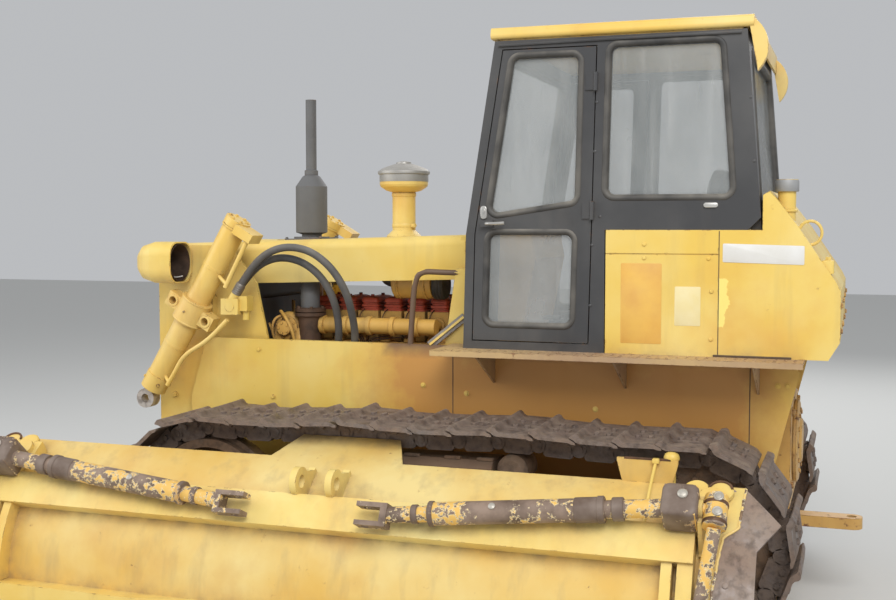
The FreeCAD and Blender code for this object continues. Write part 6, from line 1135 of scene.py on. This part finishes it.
# Guard and grab rails
# Hex bolts hold the grille's frame and the guard to the main rail; the grab rails are bare
# brown steel.
guard = []
for side in (1.0, -1.0):
    out = (0, side, 0)
    guard.append(hex_bolts([(x, side * 0.500, z) for x, z in ((1.50, 0.86), (1.66, 0.84), (1.82, 0.86),
                                                              (1.93, 1.00), (1.93, 1.40),
                                                              (1.42, 1.10), (1.90, 1.84), (1.66, 1.84))],
                           out, 0.014, 0.013))
guard.append(hex_bolts([(2.030, y, z) for y in (-0.455, 0.455) for z in (0.90, 1.15, 1.40, 1.65)]
                       + [(2.030, y, 1.82) for y in (-0.22, 0.0, 0.22)],
                       (1, 0, 0), 0.012, 0.011))
new_piece("guard_bolts", guard, body_paint)
rail_brown = painted("rail_brown", (0.145, 0.085, 0.050, 1), (0.20, 0.13, 0.085, 1),
                     (0.085, 0.048, 0.030, 1), 0.8, 0.35, 0.5, 0.5)
stay_grey = painted("stay_grey", (0.23, 0.215, 0.20, 1), (0.32, 0.30, 0.28, 1), (0.12, 0.095, 0.08, 1), 0.8,
                    0.35, 0.6, 0.55)
for side, tag in SIDES:
    rail_points = [(0.426, side * 0.551, 1.350), (0.413, side * 0.551, 1.540), (0.400, side * 0.551, 1.700),
                   (0.362, side * 0.547, 1.749),
                   (0.270, side * 0.524, 1.745), (0.170, side * 0.498, 1.741)]
    new_piece(f"grab_sleeve_{tag}", [tube(bend_through(rail_points, 8), 0.0155, 14)], rail_brown)

# Blade fittings
# The blade leans on the track with its back outwards. Forged blocks and collars on the braces,
# ring bolts, the keeper's pins and a sheet over each end plate; chipped, greasy and rusty.
BLADE_MIDDLE, BLADE_FOOT_Y = 0.560, 1.6013
BLADE_HALF = 1.980
BLADE_LEAN = math.radians(26.013)
BLADE_R, BLADE_BACK_R = 0.750, 0.766
TOP_LEAN = math.radians(37.349)
BRACE_IN, BRACE_ANGLE, BRACE_OUT = 0.240, 18.0, 0.176
BRACE_TIP_ANGLE, BRACE_TIP_OUT, BRACE_LENGTH = 8.2, 0.168, 1.450
BLOCK_SIZE = 0.140
KNUCKLE_IN = 0.095
LUG_ANGLE = 31.0
NUT_ANGLE = -33.0
END_BOLT_IN, END_BOLT_ANGLES = 0.049, (33.0, 0.0, -16.0, -30.0)
# The ear sheet: how far in from the blade's end its edge lies, at degrees round the curve.
EAR_DEGREES, EAR_IN = (-31.0, -2.5, 14.9, 18.7, 23.4, 34.7), (0.112, 0.103, 0.072, 0.011, 0.006, -0.004)
EAR_INNER, EAR_STEPS = 0.128, 110
# Collars of a brace: share of its length, radius and width.
BRACE_COLLARS = ((0.165, 0.052, 0.05), (0.222, 0.060, 0.030), (0.236, 0.056, 0.110), (0.748, 0.058, 0.024),
                 (0.80, 0.044, 0.03))


def on_blade(points):
    """Points of the blade's own plane (along, back, up), leaned about its foot and moved to it."""
    points = np.asarray(points, float)
    lean_cos, lean_sin = math.cos(BLADE_LEAN), math.sin(BLADE_LEAN)
    return np.stack([points[..., 0] + BLADE_MIDDLE,
                     points[..., 1] * lean_cos - points[..., 2] * lean_sin + BLADE_FOOT_Y,
                     points[..., 1] * lean_sin + points[..., 2] * lean_cos], -1)


def behind_blade(x, degrees, out):
    """A place on the blade's back: polar about the centre of its curve, out from the back's radius."""
    turn = np.radians(degrees)
    radius = BLADE_BACK_R + np.asarray(out, float)
    return on_blade(np.stack(np.broadcast_arrays(x, -BLADE_R * math.cos(TOP_LEAN) + radius * np.cos(turn),
                                                 BLADE_R * math.sin(TOP_LEAN) + radius * np.sin(turn)), -1))


def off_blade(degrees):
    """The way straight out from the blade's back."""
    return behind_blade(0.0, degrees, 1.0) - behind_blade(0.0, degrees, 0.0)


def seated(points, x, degrees, out):
    """Points (along, round the curve, outward) set on the blade's back at a place."""
    origin = behind_blade(x, degrees, out)
    outward = behind_blade(x, degrees, out + 1.0) - origin
    round_way = np.cross((1.0, 0.0, 0.0), outward)
    points = np.asarray(points, float)
    flat = points[:, :1] * np.array([1.0, 0, 0]) - points[:, 1:2] * round_way
    return origin + flat + points[:, 2:] * outward


def collar_profile(radius, low, high, inset=0.003, slope=None):
    """A lathe profile from the axis out and back: a band whose outer edges are cut off by the inset
    across and the slope along."""
    slope = inset if slope is None else slope
    return [(0.0, low), (radius - inset, low), (radius, low + slope), (radius, high - slope),
            (radius - inset, high), (0.0, high)]


def along_brace(side, share):
    """A point on a brace's centre line, by its share of the length: straight from block to tip."""
    x = side * (BLADE_HALF - BRACE_IN)
    return (behind_blade(x, BRACE_ANGLE, BRACE_OUT) * (1 - share)
            + behind_blade(x - side * BRACE_LENGTH, BRACE_TIP_ANGLE, BRACE_TIP_OUT) * share)


# Greasy brown steel with what is left of the paint: noise of two sizes passes a level where
# paint still holds, and a narrow band at the level is the bright torn edge.
flake_group, given, made = new_group(
    "flaking_paint", (("Place", VECTOR, None), ("Steel", COLOUR, None), ("Paint", COLOUR, None),
                      ("Edge", COLOUR, None), ("Cover", NUMBER, 0.4)),
                                     (("Colour", COLOUR), ("Height", NUMBER)))
place = given.outputs["Place"]
wide = noise_at(flake_group, place, 4.5, 3.0, 0.55)
fine = noise_at(flake_group, place, 34.0, 9.0, 0.72)
both = sums(flake_group, "ADD", sums(flake_group, "MULTIPLY", wide, 0.5),
            sums(flake_group, "MULTIPLY", fine, 0.5))
level = ranged(flake_group, given.outputs["Cover"], 0.0, 1.0, 0.64, 0.40)
beyond = sums(flake_group, "SUBTRACT", both, level, False)
held = ranged(flake_group, beyond, 0.0, 0.010)
nearness = sums(flake_group, "ABSOLUTE", sums(flake_group, "SUBTRACT", beyond, 0.008, False), 0.0)
torn = ranged(flake_group, nearness, 0.012, 0.004)
steel = over(flake_group, patches(flake_group, place, 9.0, 0.35, 0.65, 7.0), given.outputs["Steel"],
             (0.13, 0.085, 0.060, 1))
colour = over(flake_group, held, steel, given.outputs["Paint"])
colour = over(flake_group, sums(flake_group, "MULTIPLY", torn, 0.85), colour, given.outputs["Edge"])
flake_group.links.new(colour, made.inputs["Colour"])
flake_group.links.new(held, made.inputs["Height"])


def flaked(name, steel, paint, edge, cover, roughness=0.55):
    """Steel that has lost much of its paint: the flaking paint group with this piece's colours."""
    finish, tree, shader, place = start_finish(name)
    torn_paint = put(tree, "ShaderNodeGroup", node_tree=flake_group)
    tree.links.new(place, torn_paint.inputs["Place"])
    for key, value in (("Steel", steel), ("Paint", paint), ("Edge", edge), ("Cover", cover)):
        torn_paint.inputs[key].default_value = value
    tree.links.new(torn_paint.outputs["Colour"], shader.inputs["Base Color"])
    shader.inputs["Roughness"].default_value = roughness
    relief = put(tree, "ShaderNodeBump", {"Height": torn_paint.outputs["Height"], "Strength": 0.5,
                                          "Distance": 0.0015})
    tree.links.new(relief.outputs["Normal"], shader.inputs["Normal"])
    return finish


brace_finish = flaked("brace_finish", (0.30, 0.215, 0.160, 1), (0.80, 0.49, 0.12, 1), (0.92, 0.80, 0.52, 1),
                      0.50)
finish_nodes(brace_finish, "blade_brace_front", "blade_brace_rear")
block_steel = flaked("block_steel", (0.225, 0.170, 0.135, 1), (0.60, 0.36, 0.12, 1), (0.62, 0.50, 0.36, 1),
                     0.16)
torn_edge = flaked("torn_edge", (0.34, 0.22, 0.13, 1), (0.86, 0.62, 0.22, 1), (0.97, 0.92, 0.74, 1), 0.72)
pale_steel = dusty("pale_steel", (0.55, 0.52, 0.46, 1), (0.40, 0.36, 0.30, 1), 0.4, 0.3, metallic=0.4)
rust_dark = rusty("rust_dark", (0.13, 0.075, 0.045, 1), (0.16, 0.075, 0.035, 1), (0.20, 0.13, 0.08, 1),
                  0.95, 0.3, 0.002)
for (side, _), tag in zip(SIDES, ("front", "rear")):
    x_block, x_knuckle = side * (BLADE_HALF - BRACE_IN), side * (BLADE_HALF - KNUCKLE_IN)
    half = BLOCK_SIZE / 2
    cover = [(0.020, -half - 0.007), (0.006, -half - 0.004), (0.0, -half + 0.006), (0.0, half - 0.006),
             (0.0025, half + 0.001), (0.008, half + 0.006), (0.022, half + 0.008)]
    shell, faces = loaf((0, 0, 0), (BLOCK_SIZE + 0.014, BLOCK_SIZE + 0.014), cover)
    pieces = [(seated(shell, x_block, BRACE_ANGLE, BRACE_OUT), faces)]
    for share, radius, wide in BRACE_COLLARS:
        start, end = along_brace(side, share), along_brace(side, share + 0.02)
        pieces.append(turned(collar_profile(radius, 0.0, wide), start, end - start, 28))
    new_piece(f"brace_block_{tag}", pieces, block_steel)
    # A dome-headed bolt in the block, two ring bolts in the knuckle, a grease plug in the tube.
    outward = off_blade(BRACE_ANGLE)
    face = behind_blade(x_block + side * 0.012, BRACE_ANGLE + 1.2, BRACE_OUT + half + 0.008)
    dome = [(0.0, 0.0), (0.022, 0.0), (0.022, 0.006), (0.017, 0.010), (0.010, 0.012), (0.0, 0.0125)]
    bright = [turned(dome, face, outward, 22)]
    first, second = across(outward)
    angle = np.linspace(0, 2 * np.pi, 20, endpoint=False)[:, None]
    for degrees in (BRACE_ANGLE + 2.4, BRACE_ANGLE - 1.8):
        seat = behind_blade(x_knuckle + side * 0.012, degrees, BRACE_OUT + 0.050)
        ring = seat + 0.017 * (np.cos(angle) * first + np.sin(angle) * second)
        bolt = [(0.0, -0.012), (0.013, -0.012), (0.013, 0.004), (0.0, 0.006)]
        bright += [tube(ring, 0.0055, 8, closed=True), turned(bolt, seat, outward, 14)]
    plug = [(0.0, 0.046), (0.016, 0.046), (0.016, 0.056), (0.009, 0.060), (0.0, 0.060)]
    bright.append(turned(plug, along_brace(side, 0.56), outward, 14))
    new_piece(f"brace_bolts_{tag}", bright, pale_steel)
    # Rusted bands round the knuckle, and a rim of rust on the lug above it.
    angle = np.radians(np.linspace(10, 170, 22))
    rim = np.stack([0.050 * np.cos(angle), -0.050 * np.sin(angle), np.full(22, 0.0)], -1)
    rust = [tube(seated(rim, side * (BLADE_HALF - 0.100), LUG_ANGLE, 0.061), 0.006, 10)]
    low = behind_blade(x_knuckle, BRACE_ANGLE - 5.0, BRACE_OUT)
    high = behind_blade(x_knuckle, BRACE_ANGLE + 4.0, BRACE_OUT)
    rust += [turned(collar_profile(0.053, at, at + 0.016, 0.0015, 0.004), low, high - low, 28)
             for at in (0.010, 0.100)]
    new_piece(f"knuckle_rust_{tag}", rust, rust_dark)
    # Two round lugs stand over the knuckle, and the ear's sheet laps the end plate: its edge runs
    # straight down, steps in under the knuckle and goes on to the foot, torn bright all along.
    lug = [(0.0, 0.0), (0.052, 0.0), (0.056, 0.004), (0.056, 0.024), (0.051, 0.029), (0.0, 0.030)]
    lugs = [turned(lug, behind_blade(side * (BLADE_HALF - inward), LUG_ANGLE, 0.030), off_blade(LUG_ANGLE),
                   36)
            for inward in (0.100, 0.205)]
    new_piece(f"ear_lugs_{tag}", lugs, blade_paint)
    turn = np.linspace(-31.0, 34.6, EAR_STEPS)
    edge_in = np.interp(turn, EAR_DEGREES, EAR_IN)
    section = ((0.0, EAR_INNER, -0.001), (1.0, 0.0, -0.001), (1.0, 0.0, 0.022), (1.0, 0.004, 0.0262),
               (0.0, EAR_INNER - 0.004, 0.0262), (0.0, EAR_INNER, 0.022))
    sheet = np.stack([behind_blade(side * (BLADE_HALF - (outer * edge_in + inward)), turn, rise)
                      for outer, inward, rise in section], 1)
    faces = grid_faces(EAR_STEPS, 6, ring=True)
    faces += [list(range(6))[::-1], list(range((EAR_STEPS - 1) * 6, EAR_STEPS * 6))]
    new_piece(f"ear_sheet_{tag}", [(sheet.reshape(-1, 3), faces)], blade_paint)
    run = np.random.default_rng(11 if side > 0 else 12)
    beads = [tube(behind_blade(side * (BLADE_HALF - inward + run.normal(0, 0.0010, EAR_STEPS)), turn, rise),
                  radius, 8)
             for inward, rise, radius in ((edge_in, 0.0245, 0.0058), (EAR_INNER + 0.001, 0.004, 0.006))]
    new_piece(f"ear_edge_{tag}", beads, torn_edge)

# The keeper plate's rusted top edge, the round-headed pin behind it and the long thin pin
# with a square head that hangs down behind the brace.
KEEPER_AT, KEEPER_TOP = (-0.980, 1.2092), 0.932
keeper = loaf((*KEEPER_AT, KEEPER_TOP), (0.214, 0.015), [(0.0, 0.0), (0.0, 0.007), (0.002, 0.009)])
new_piece("keeper_edge", [keeper], rust_dark)
domed = [(0.0, 0.800), (0.020, 0.800), (0.020, 0.930), (0.036, 0.934), (0.037, 0.944), (0.031, 0.960),
         (0.018, 0.970),
         (0.0, 0.973)]
new_piece("keeper_dome", [turned(domed, (-1.085, 1.1800, 0), (0, 0, 1), 26)], body_paint)
pin_line = [(-1.020, 1.222, 0.928), (-1.010, 1.365, 0.797), (-1.007, 1.455, 0.690), (-1.014, 1.494, 0.640)]
head = loaf((-1.020, 1.222, 0.922), (0.032, 0.030), [(0.0, 0.0), (0.0, 0.016), (0.003, 0.021)])
new_piece("keeper_pin", [tube(bend_through(pin_line, 12), 0.0075, 10), head], body_paint)

# Plough bolts: their nuts along the edge's foot at the back, heads on the end plates.
nuts = [behind_blade(x, NUT_ANGLE, 0.0) for x in np.linspace(-1.80, 1.80, 17)]
heads = [behind_blade(side * (BLADE_HALF - END_BOLT_IN), degrees, 0.020)
         for side, _ in SIDES for degrees in END_BOLT_ANGLES]
bolts = [hex_bolts(nuts, off_blade(NUT_ANGLE), 0.016, 0.020),
         hex_bolts(heads, off_blade(5.0), 0.014, 0.006, 1.0)]
new_piece("blade_bolts", bolts, edge_steel)

# Tank fittings and lift cylinders
# A grey filler cap, a bent loop and a hinge lug on the tank's slope; clamps, grease nipples and
# bolts on the lift cylinders, which move with them.
cap_grey = dusty("cap_grey", (0.34, 0.35, 0.36, 1), (0.25, 0.25, 0.25, 1), 0.5, 0.45, metallic=0.2)
FILLER_AT = (-1.540, 0.658)
cap = [(0.0, 2.158), (0.0535, 2.158), (0.0555, 2.161), (0.0555, 2.206), (0.051, 2.2155), (0.030, 2.2175),
       (0.0, 2.218)]
new_piece("filler_cap", [turned(cap, (*FILLER_AT, 0), (0, 0, 1), 40)], cap_grey)
loop_turn = np.linspace(0, 2 * np.pi, 28, endpoint=False)
loop = np.c_[-1.652 + 0.052 * np.cos(loop_turn), 0.700 + 0.006 * np.sin(loop_turn),
             1.962 + 0.056 * np.sin(loop_turn)]
lug = [tube(loop, 0.0075, 10, closed=True),
       loaf((-1.735, 0.735, 1.772), (0.055, 0.070), [(0.0, 0.0), (0.0, 0.058), (0.004, 0.062)]),
       hex_bolts([(-1.735, 0.735, 1.832)], (0, 0, 1), 0.014, 0.018),
       turned([(0.0, 0.0), (0.047, 0.0), (0.050, 0.004), (0.050, 0.012), (0.044, 0.016), (0.0, 0.016)],
              (*FILLER_AT, 2.060), (0, 0, 1), 30)]
new_piece("tank_lugs", lug, body_paint)
new_piece("tank_foot_gap", [plate_on_side(upright(-1.579, -1.215, 1.3665, 1.3765), 1.0, BOX_SIDE - 0.001,
                                          0.003, 0.003, 0.0005)], seam_dark)
straps = []
for side in (1.0, -1.0):
    straps.append(hex_bolts([(-1.796, side * y, z) for y in (0.70, 0.25) for z in (1.62, 1.50)], (-1, 0, 0),
                            0.012, 0.010))
straps.append(hex_bolts([(-1.560, y, z) for y in (-0.26, 0.26) for z in (0.66, 1.04)], (-1, 0, 0), 0.018,
                        0.016))
straps.append(turned([(0.0, 0.0), (0.215, 0.0), (0.220, 0.006), (0.220, 0.020), (0.205, 0.028),
                      (0.120, 0.032), (0.110, 0.044), (0.0, 0.046)],
                     (-1.560, 0.0, 0.850), (-1, 0, 0), 48))
straps.append(hex_bolts(np.c_[np.full(12, -1.586), 0.165 * np.cos(np.arange(12) * 0.5236),
                              0.850 + 0.165 * np.sin(np.arange(12) * 0.5236)],
                        (-1, 0, 0), 0.012, 0.012))
new_piece("rear_bolts", straps, frame_paint)

# The flat grey stays before the cab, and the worn heads and pads on the track frames.
for side, tag in SIDES:
    foot, head = np.array([0.310, side * 0.551, 1.352]), np.array([0.130, side * 0.512, 1.504])
    way = (head - foot) / np.linalg.norm(head - foot)
    flat = np.cross(way, (0, 1, 0))
    flat /= np.linalg.norm(flat)
    thick = np.cross(flat, way)
    corners = [(-0.022, -0.008), (0.022, -0.008), (0.022, 0.008), (-0.022, 0.008)]
    bar = np.concatenate([[end + a * flat + b * thick for a, b in corners]
                          for end in (foot - 0.004 * way, head + 0.004 * way)])
    stays = [(bar, grid_faces(2, 4, ring=True) + [[3, 2, 1, 0], [4, 5, 6, 7]]),
             hex_bolts([foot + 0.030 * way + side * 0.008 * np.sign(thick[1]) * thick], (0, side, 0), 0.010,
                       0.010)]
    new_piece(f"cowl_stay_{tag}", stays, stay_grey)
    marks = [hex_bolts([(x, side * (TRACK_MID + 0.125), 0.78) for x in (-0.12, 0.10, 0.32, 0.50)],
                       (0, side, 0), 0.018, 0.014)]
    for x, z in ((0.235, 0.842), (0.020, 0.842), (-0.150, 0.842)):
        marks.append(loaf((x, side * (TRACK_MID + 0.085), z - 0.002), (0.085, 0.030),
                          [(0.0, 0.0), (0.0, 0.010), (0.004, 0.014)]))
    new_piece(f"frame_bolts_{tag}", marks, cast_steel)

LIFT_TOP, LIFT_LEAN, LIFT_SIDE = (1.415, 2.030), math.radians(30.4), 0.645
lift_down = np.array([math.sin(LIFT_LEAN), 0.0, -math.cos(LIFT_LEAN)])
lift_ahead = np.array([math.cos(LIFT_LEAN), 0.0, math.sin(LIFT_LEAN)])


def on_lift(side, along, ahead=0.0, out=0.0):
    """A place on a lift cylinder: along its axis from the top, ahead of it and outward."""
    return (np.array([LIFT_TOP[0], side * LIFT_SIDE, LIFT_TOP[1]]) + along * lift_down + ahead * lift_ahead
            + np.array([0.0, side * out, 0.0]))


grease_brass = dusty("grease_brass", (0.48, 0.33, 0.14, 1), (0.30, 0.21, 0.11, 1), 0.4, 0.3, metallic=0.7)
for side, tag in SIDES:
    out = (0, side, 0)
    fittings = []
    for along, radius, wide in ((0.046, 0.0755, 0.012), (0.300, 0.0705, 0.022), (0.815, 0.0705, 0.020)):
        collar = collar_profile(radius, along, along + wide, 0.002)
        fittings.append(turned(collar, on_lift(side, 0.0), lift_down, 34))
    for along in (0.535, 0.665):
        fittings.append(turned([(0.0, along - 0.006), (0.0905, along - 0.006), (0.0925, along - 0.003),
                                (0.0925, along + 0.003), (0.0905, along + 0.006),
                                (0.0, along + 0.006)], on_lift(side, 0.0), lift_down, 36))
    # The cap screws of the top cover and the four of the gland.
    angle = np.arange(6) * math.pi / 3 + 0.3
    first, second = across(-lift_down)
    fittings.append(hex_bolts([on_lift(side, -0.001) + 0.050 * (math.cos(a) * first + math.sin(a) * second)
                               for a in angle], -lift_down, 0.0085, 0.009))
    for turn in (0.6, 2.2, 3.8, 5.4):
        way = math.cos(turn) * first + math.sin(turn) * second
        fittings.append(hex_bolts([on_lift(side, 1.075) + 0.0735 * way], way, 0.008, 0.008))
    for ahead in (-0.118, 0.118):
        fittings.append(turned([(0.0225, 0.0), (0.034, 0.0), (0.036, 0.002), (0.034, 0.005),
                                (0.0225, 0.006), (0.0225, 0.0)],
                               on_lift(side, 0.600, ahead, 0.042), out, 26))
    new_piece(f"lift_fittings_{tag}", fittings, cylinder_paint, f"lift_{tag}")
    nipples = [turned([(0.0, -0.002), (0.006, -0.002), (0.006, 0.006), (0.0035, 0.008), (0.0045, 0.013),
                       (0.0, 0.015)],
                      on_lift(side, 0.600, 0.0, 0.0900), out, 10)]
    new_piece(f"lift_nipples_{tag}", nipples, grease_brass, f"lift_{tag}")

# Deck tread and cab inside
# Raised lozenges rolled in the deck's steps, rubber pedals, knobs on the levers, and a sprung
# seat in black vinyl with sewn channels and piping.
DECK_TOP = 1.3655
TREAD_REAR, TREAD_FRONT, TREAD_STEP = -1.600, 0.150, 0.045
TREAD_INNER, TREAD_OUTER, TREAD_ROW = 0.806, 0.930, 0.036
TREAD_TURN = 0.7
across_deck = np.arange(TREAD_INNER, TREAD_OUTER, TREAD_ROW)
along_deck = np.arange(TREAD_REAR, TREAD_FRONT, TREAD_STEP)
place_x, place_y = (grid.ravel() for grid in np.meshgrid(along_deck, across_deck, indexing="ij"))
odd = (np.round((place_x - TREAD_REAR) / TREAD_STEP) + np.round((place_y - TREAD_INNER)
                                                                / TREAD_ROW)) % 2 > 0
tilt = np.where(odd, TREAD_TURN, -TREAD_TURN)
lozenge = np.array([(-0.014, 0.0, 0.0), (0.0, -0.0045, 0.0), (0.014, 0.0, 0.0), (0.0, 0.0045, 0.0),
                    (-0.009, 0.0, 0.0022), (0.0, -0.0025, 0.0026), (0.009, 0.0, 0.0022),
                    (0.0, 0.0025, 0.0026)])
lozenge_faces = grid_faces(2, 4, ring=True) + [[4, 5, 6, 7], [3, 2, 1, 0]]
for side, tag in SIDES:
    turned_x = lozenge[:, 0] * np.cos(tilt)[:, None] - lozenge[:, 1] * np.sin(tilt)[:, None]
    turned_y = lozenge[:, 0] * np.sin(tilt)[:, None] + lozenge[:, 1] * np.cos(tilt)[:, None]
    tread = np.stack([place_x[:, None] + turned_x, side * (place_y[:, None] + turned_y),
                      DECK_TOP + np.broadcast_to(lozenge[:, 2], turned_x.shape)], -1).reshape(-1, 3)
    faces = [[corner + 8 * at for corner in face] for at in range(len(place_x)) for face in lozenge_faces]
    new_piece(f"deck_tread_{tag}", [(tread, faces)], deck_paint)


PAD_POWER, PAD_PINCH = 5, 0.035
CHANNEL_DEPTH, CHANNEL_WIDTH = 0.012, 0.009
SEAT_AT, SEAT_WIDTH = -0.900, 0.480
SEAT_CHANNELS = (-0.12, 0.0, 0.12)


def soft_block(centre, size, crown, tip, channels=(), high=64, wide=96):
    """A stuffed form: a rounded box |x/a|^p + |y/b|^p + |z/c|^p = 1 on a sphere's grid, its top raised
    by a crown (1-x^2)(1-y^2) and drawn in along the sewn channels, then leant by the tip angle."""
    v = np.linspace(0, np.pi, high)[:, None]
    u = np.linspace(0, 2 * np.pi, wide, endpoint=False)[None, :]
    way = np.stack([np.sin(v) * np.cos(u), np.sin(v) * np.sin(u), np.cos(v) * np.ones_like(u)], -1)
    reach = (np.abs(way) ** PAD_POWER).sum(-1, keepdims=True) ** (-1 / PAD_POWER)
    form = way * reach
    rise = crown * (1 - form[..., 0] ** 2) * (1 - form[..., 1] ** 2) * np.clip(form[..., 2], 0, 1)
    depth = 1 - np.abs(form[..., 2:3])
    pinch = 1 - PAD_PINCH * depth * (1 - np.abs(form[..., :1]) ** 2) * (1 - np.abs(form[..., 1:2]) ** 2)
    form = form * pinch * (np.array(size) / 2)
    form[..., 2] += rise
    for at in channels:
        sewn = np.exp(-((form[..., 1] - at) / CHANNEL_WIDTH) ** 2)
        form[..., 2] -= CHANNEL_DEPTH * sewn * (form[..., 2] > 0)
    lean = np.array([[math.cos(tip), 0, math.sin(tip)], [0, 1, 0], [-math.sin(tip), 0, math.cos(tip)]])
    return form.reshape(-1, 3) @ lean.T + np.array(centre), grid_faces(high, wide, ring=True)


cushion = soft_block((SEAT_AT, 0.0, 1.762), (0.480, SEAT_WIDTH, 0.100), 0.014, 0.0, SEAT_CHANNELS)
seat_back = soft_block((SEAT_AT - 0.230, 0.0, 2.055), (0.480, 0.455, 0.090), 0.014, math.radians(80),
                       SEAT_CHANNELS)
for name, shape in (("seat_cushion", cushion), ("seat_back", seat_back)):
    pad = new_piece(name, [shape], seat_vinyl, crease=60)
    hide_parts("seat")
piping_turn = np.linspace(0, 2 * np.pi, 80, endpoint=False)
ways = np.stack([np.cos(piping_turn), np.sin(piping_turn)], -1)
reach = (np.abs(ways) ** PAD_POWER).sum(-1, keepdims=True) ** (-1 / PAD_POWER)
piping = np.c_[0.236 * reach * ways + (SEAT_AT, 0.0), np.full(80, 1.775)]
frame_parts = [tube(piping, 0.005, 8, closed=True),
               loaf((-0.900, 0.0, 1.680), (0.440, 0.440), [(0.0, 0.0), (0.0, 0.030), (0.006, 0.036)]),
               loaf((-0.920, 0.0, 1.366), (0.300, 0.300), [(0.0, 0.0), (0.0, 0.020), (0.040, 0.028)]),
               tube([(-1.152, 0.215, 1.700), (-1.190, 0.215, 1.85), (-1.205, 0.215, 2.10)], 0.012, 10),
               tube([(-1.152, -0.215, 1.700), (-1.190, -0.215, 1.85), (-1.205, -0.215, 2.10)], 0.012, 10)]
for fold in range(6):
    frame_parts.append(loaf((-0.915, 0.0, 1.392 + fold * 0.048), (0.280 - 0.020 * (fold % 2), 0.280),
                            [(0.020, 0.0), (0.0, 0.012), (0.0, 0.036), (0.020, 0.048)]))
base = new_piece("seat_frame", frame_parts, black_rubber)
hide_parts("seat")
knobs = []
root_x, dash_top = -0.180, 1.976
for y in (-0.110, 0.0, 0.110):
    knobs.append(turned([(0.0, -0.030), (0.012, -0.028), (0.020, -0.012), (0.0255, 0.004), (0.022, 0.020),
                         (0.012, 0.028), (0.0, 0.030)],
                        (root_x - 0.129, y, dash_top + 0.076), (-0.5, 0, 0.75), 22))
for y in (-0.180, 0.180):
    knobs.append(loaf((-0.270, y, 1.480), (0.090, 0.110), [(0.0, 0.0), (0.0, 0.014), (0.004, 0.018)]))
    knobs.append(tube([(-0.235, y, 1.370), (-0.270, y, 1.485)], 0.012, 10))
new_piece("lever_knobs", knobs, black_rubber)

# Floor and light
# A pale floor under an even pale sky, a broad soft key from above the camera's side, a weaker
# fill from the machine's front and a lamp behind it.
FLOOR_SIZE = 60.0
FLOOR_COLOUR = (0.62, 0.62, 0.60, 1)
bpy.ops.mesh.primitive_plane_add(size=FLOOR_SIZE)
floor = bpy.context.object
floor.name = "floor"
floor_material = bpy.data.materials.new("floor")
floor_material.use_nodes = True
floor_material.node_tree.nodes["Principled BSDF"].inputs["Base Color"].default_value = FLOOR_COLOUR
floor_material.node_tree.nodes["Principled BSDF"].inputs["Roughness"].default_value = 0.9
floor.data.materials.append(floor_material)
floor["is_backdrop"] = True

world = bpy.data.worlds.new("studio")
bpy.context.scene.world = world
world.use_nodes = True
WORLD_COLOUR = (0.90, 0.92, 0.95, 1)
WORLD_STRENGTH = 0.55
world_nodes = world.node_tree.nodes
world_nodes["Background"].inputs["Color"].default_value = WORLD_COLOUR
world_nodes["Background"].inputs["Strength"].default_value = WORLD_STRENGTH
LAMPS = (
    # name, place, aimed at, width, power
    ("key", (-4.0, 9.0, 8.5), (0.2, 0.0, 1.0), 6.0, 900),
    ("fill", (7.5, 4.0, 5.0), (0.5, 0.0, 1.0), 6.0, 260),
    ("back", (-1.0, -8.5, 7.0), (0.0, 0.0, 1.2), 6.0, 320),
)
for name, at, aim, width, power in LAMPS:
    light = bpy.data.lights.new(name, "AREA")
    light.size = width
    light.energy = power
    lamp = bpy.data.objects.new(name, light)
    bpy.context.scene.collection.objects.link(lamp)
    lamp.location = placed([at])[0]
    way = np.array(aim) - np.array(at)
    lamp.rotation_euler = (math.acos(-way[2] / np.linalg.norm(way)), 0,
                           math.atan2(way[1], way[0]) - math.pi / 2)
bpy.context.scene.view_settings.view_transform = "Standard"

low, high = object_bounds()
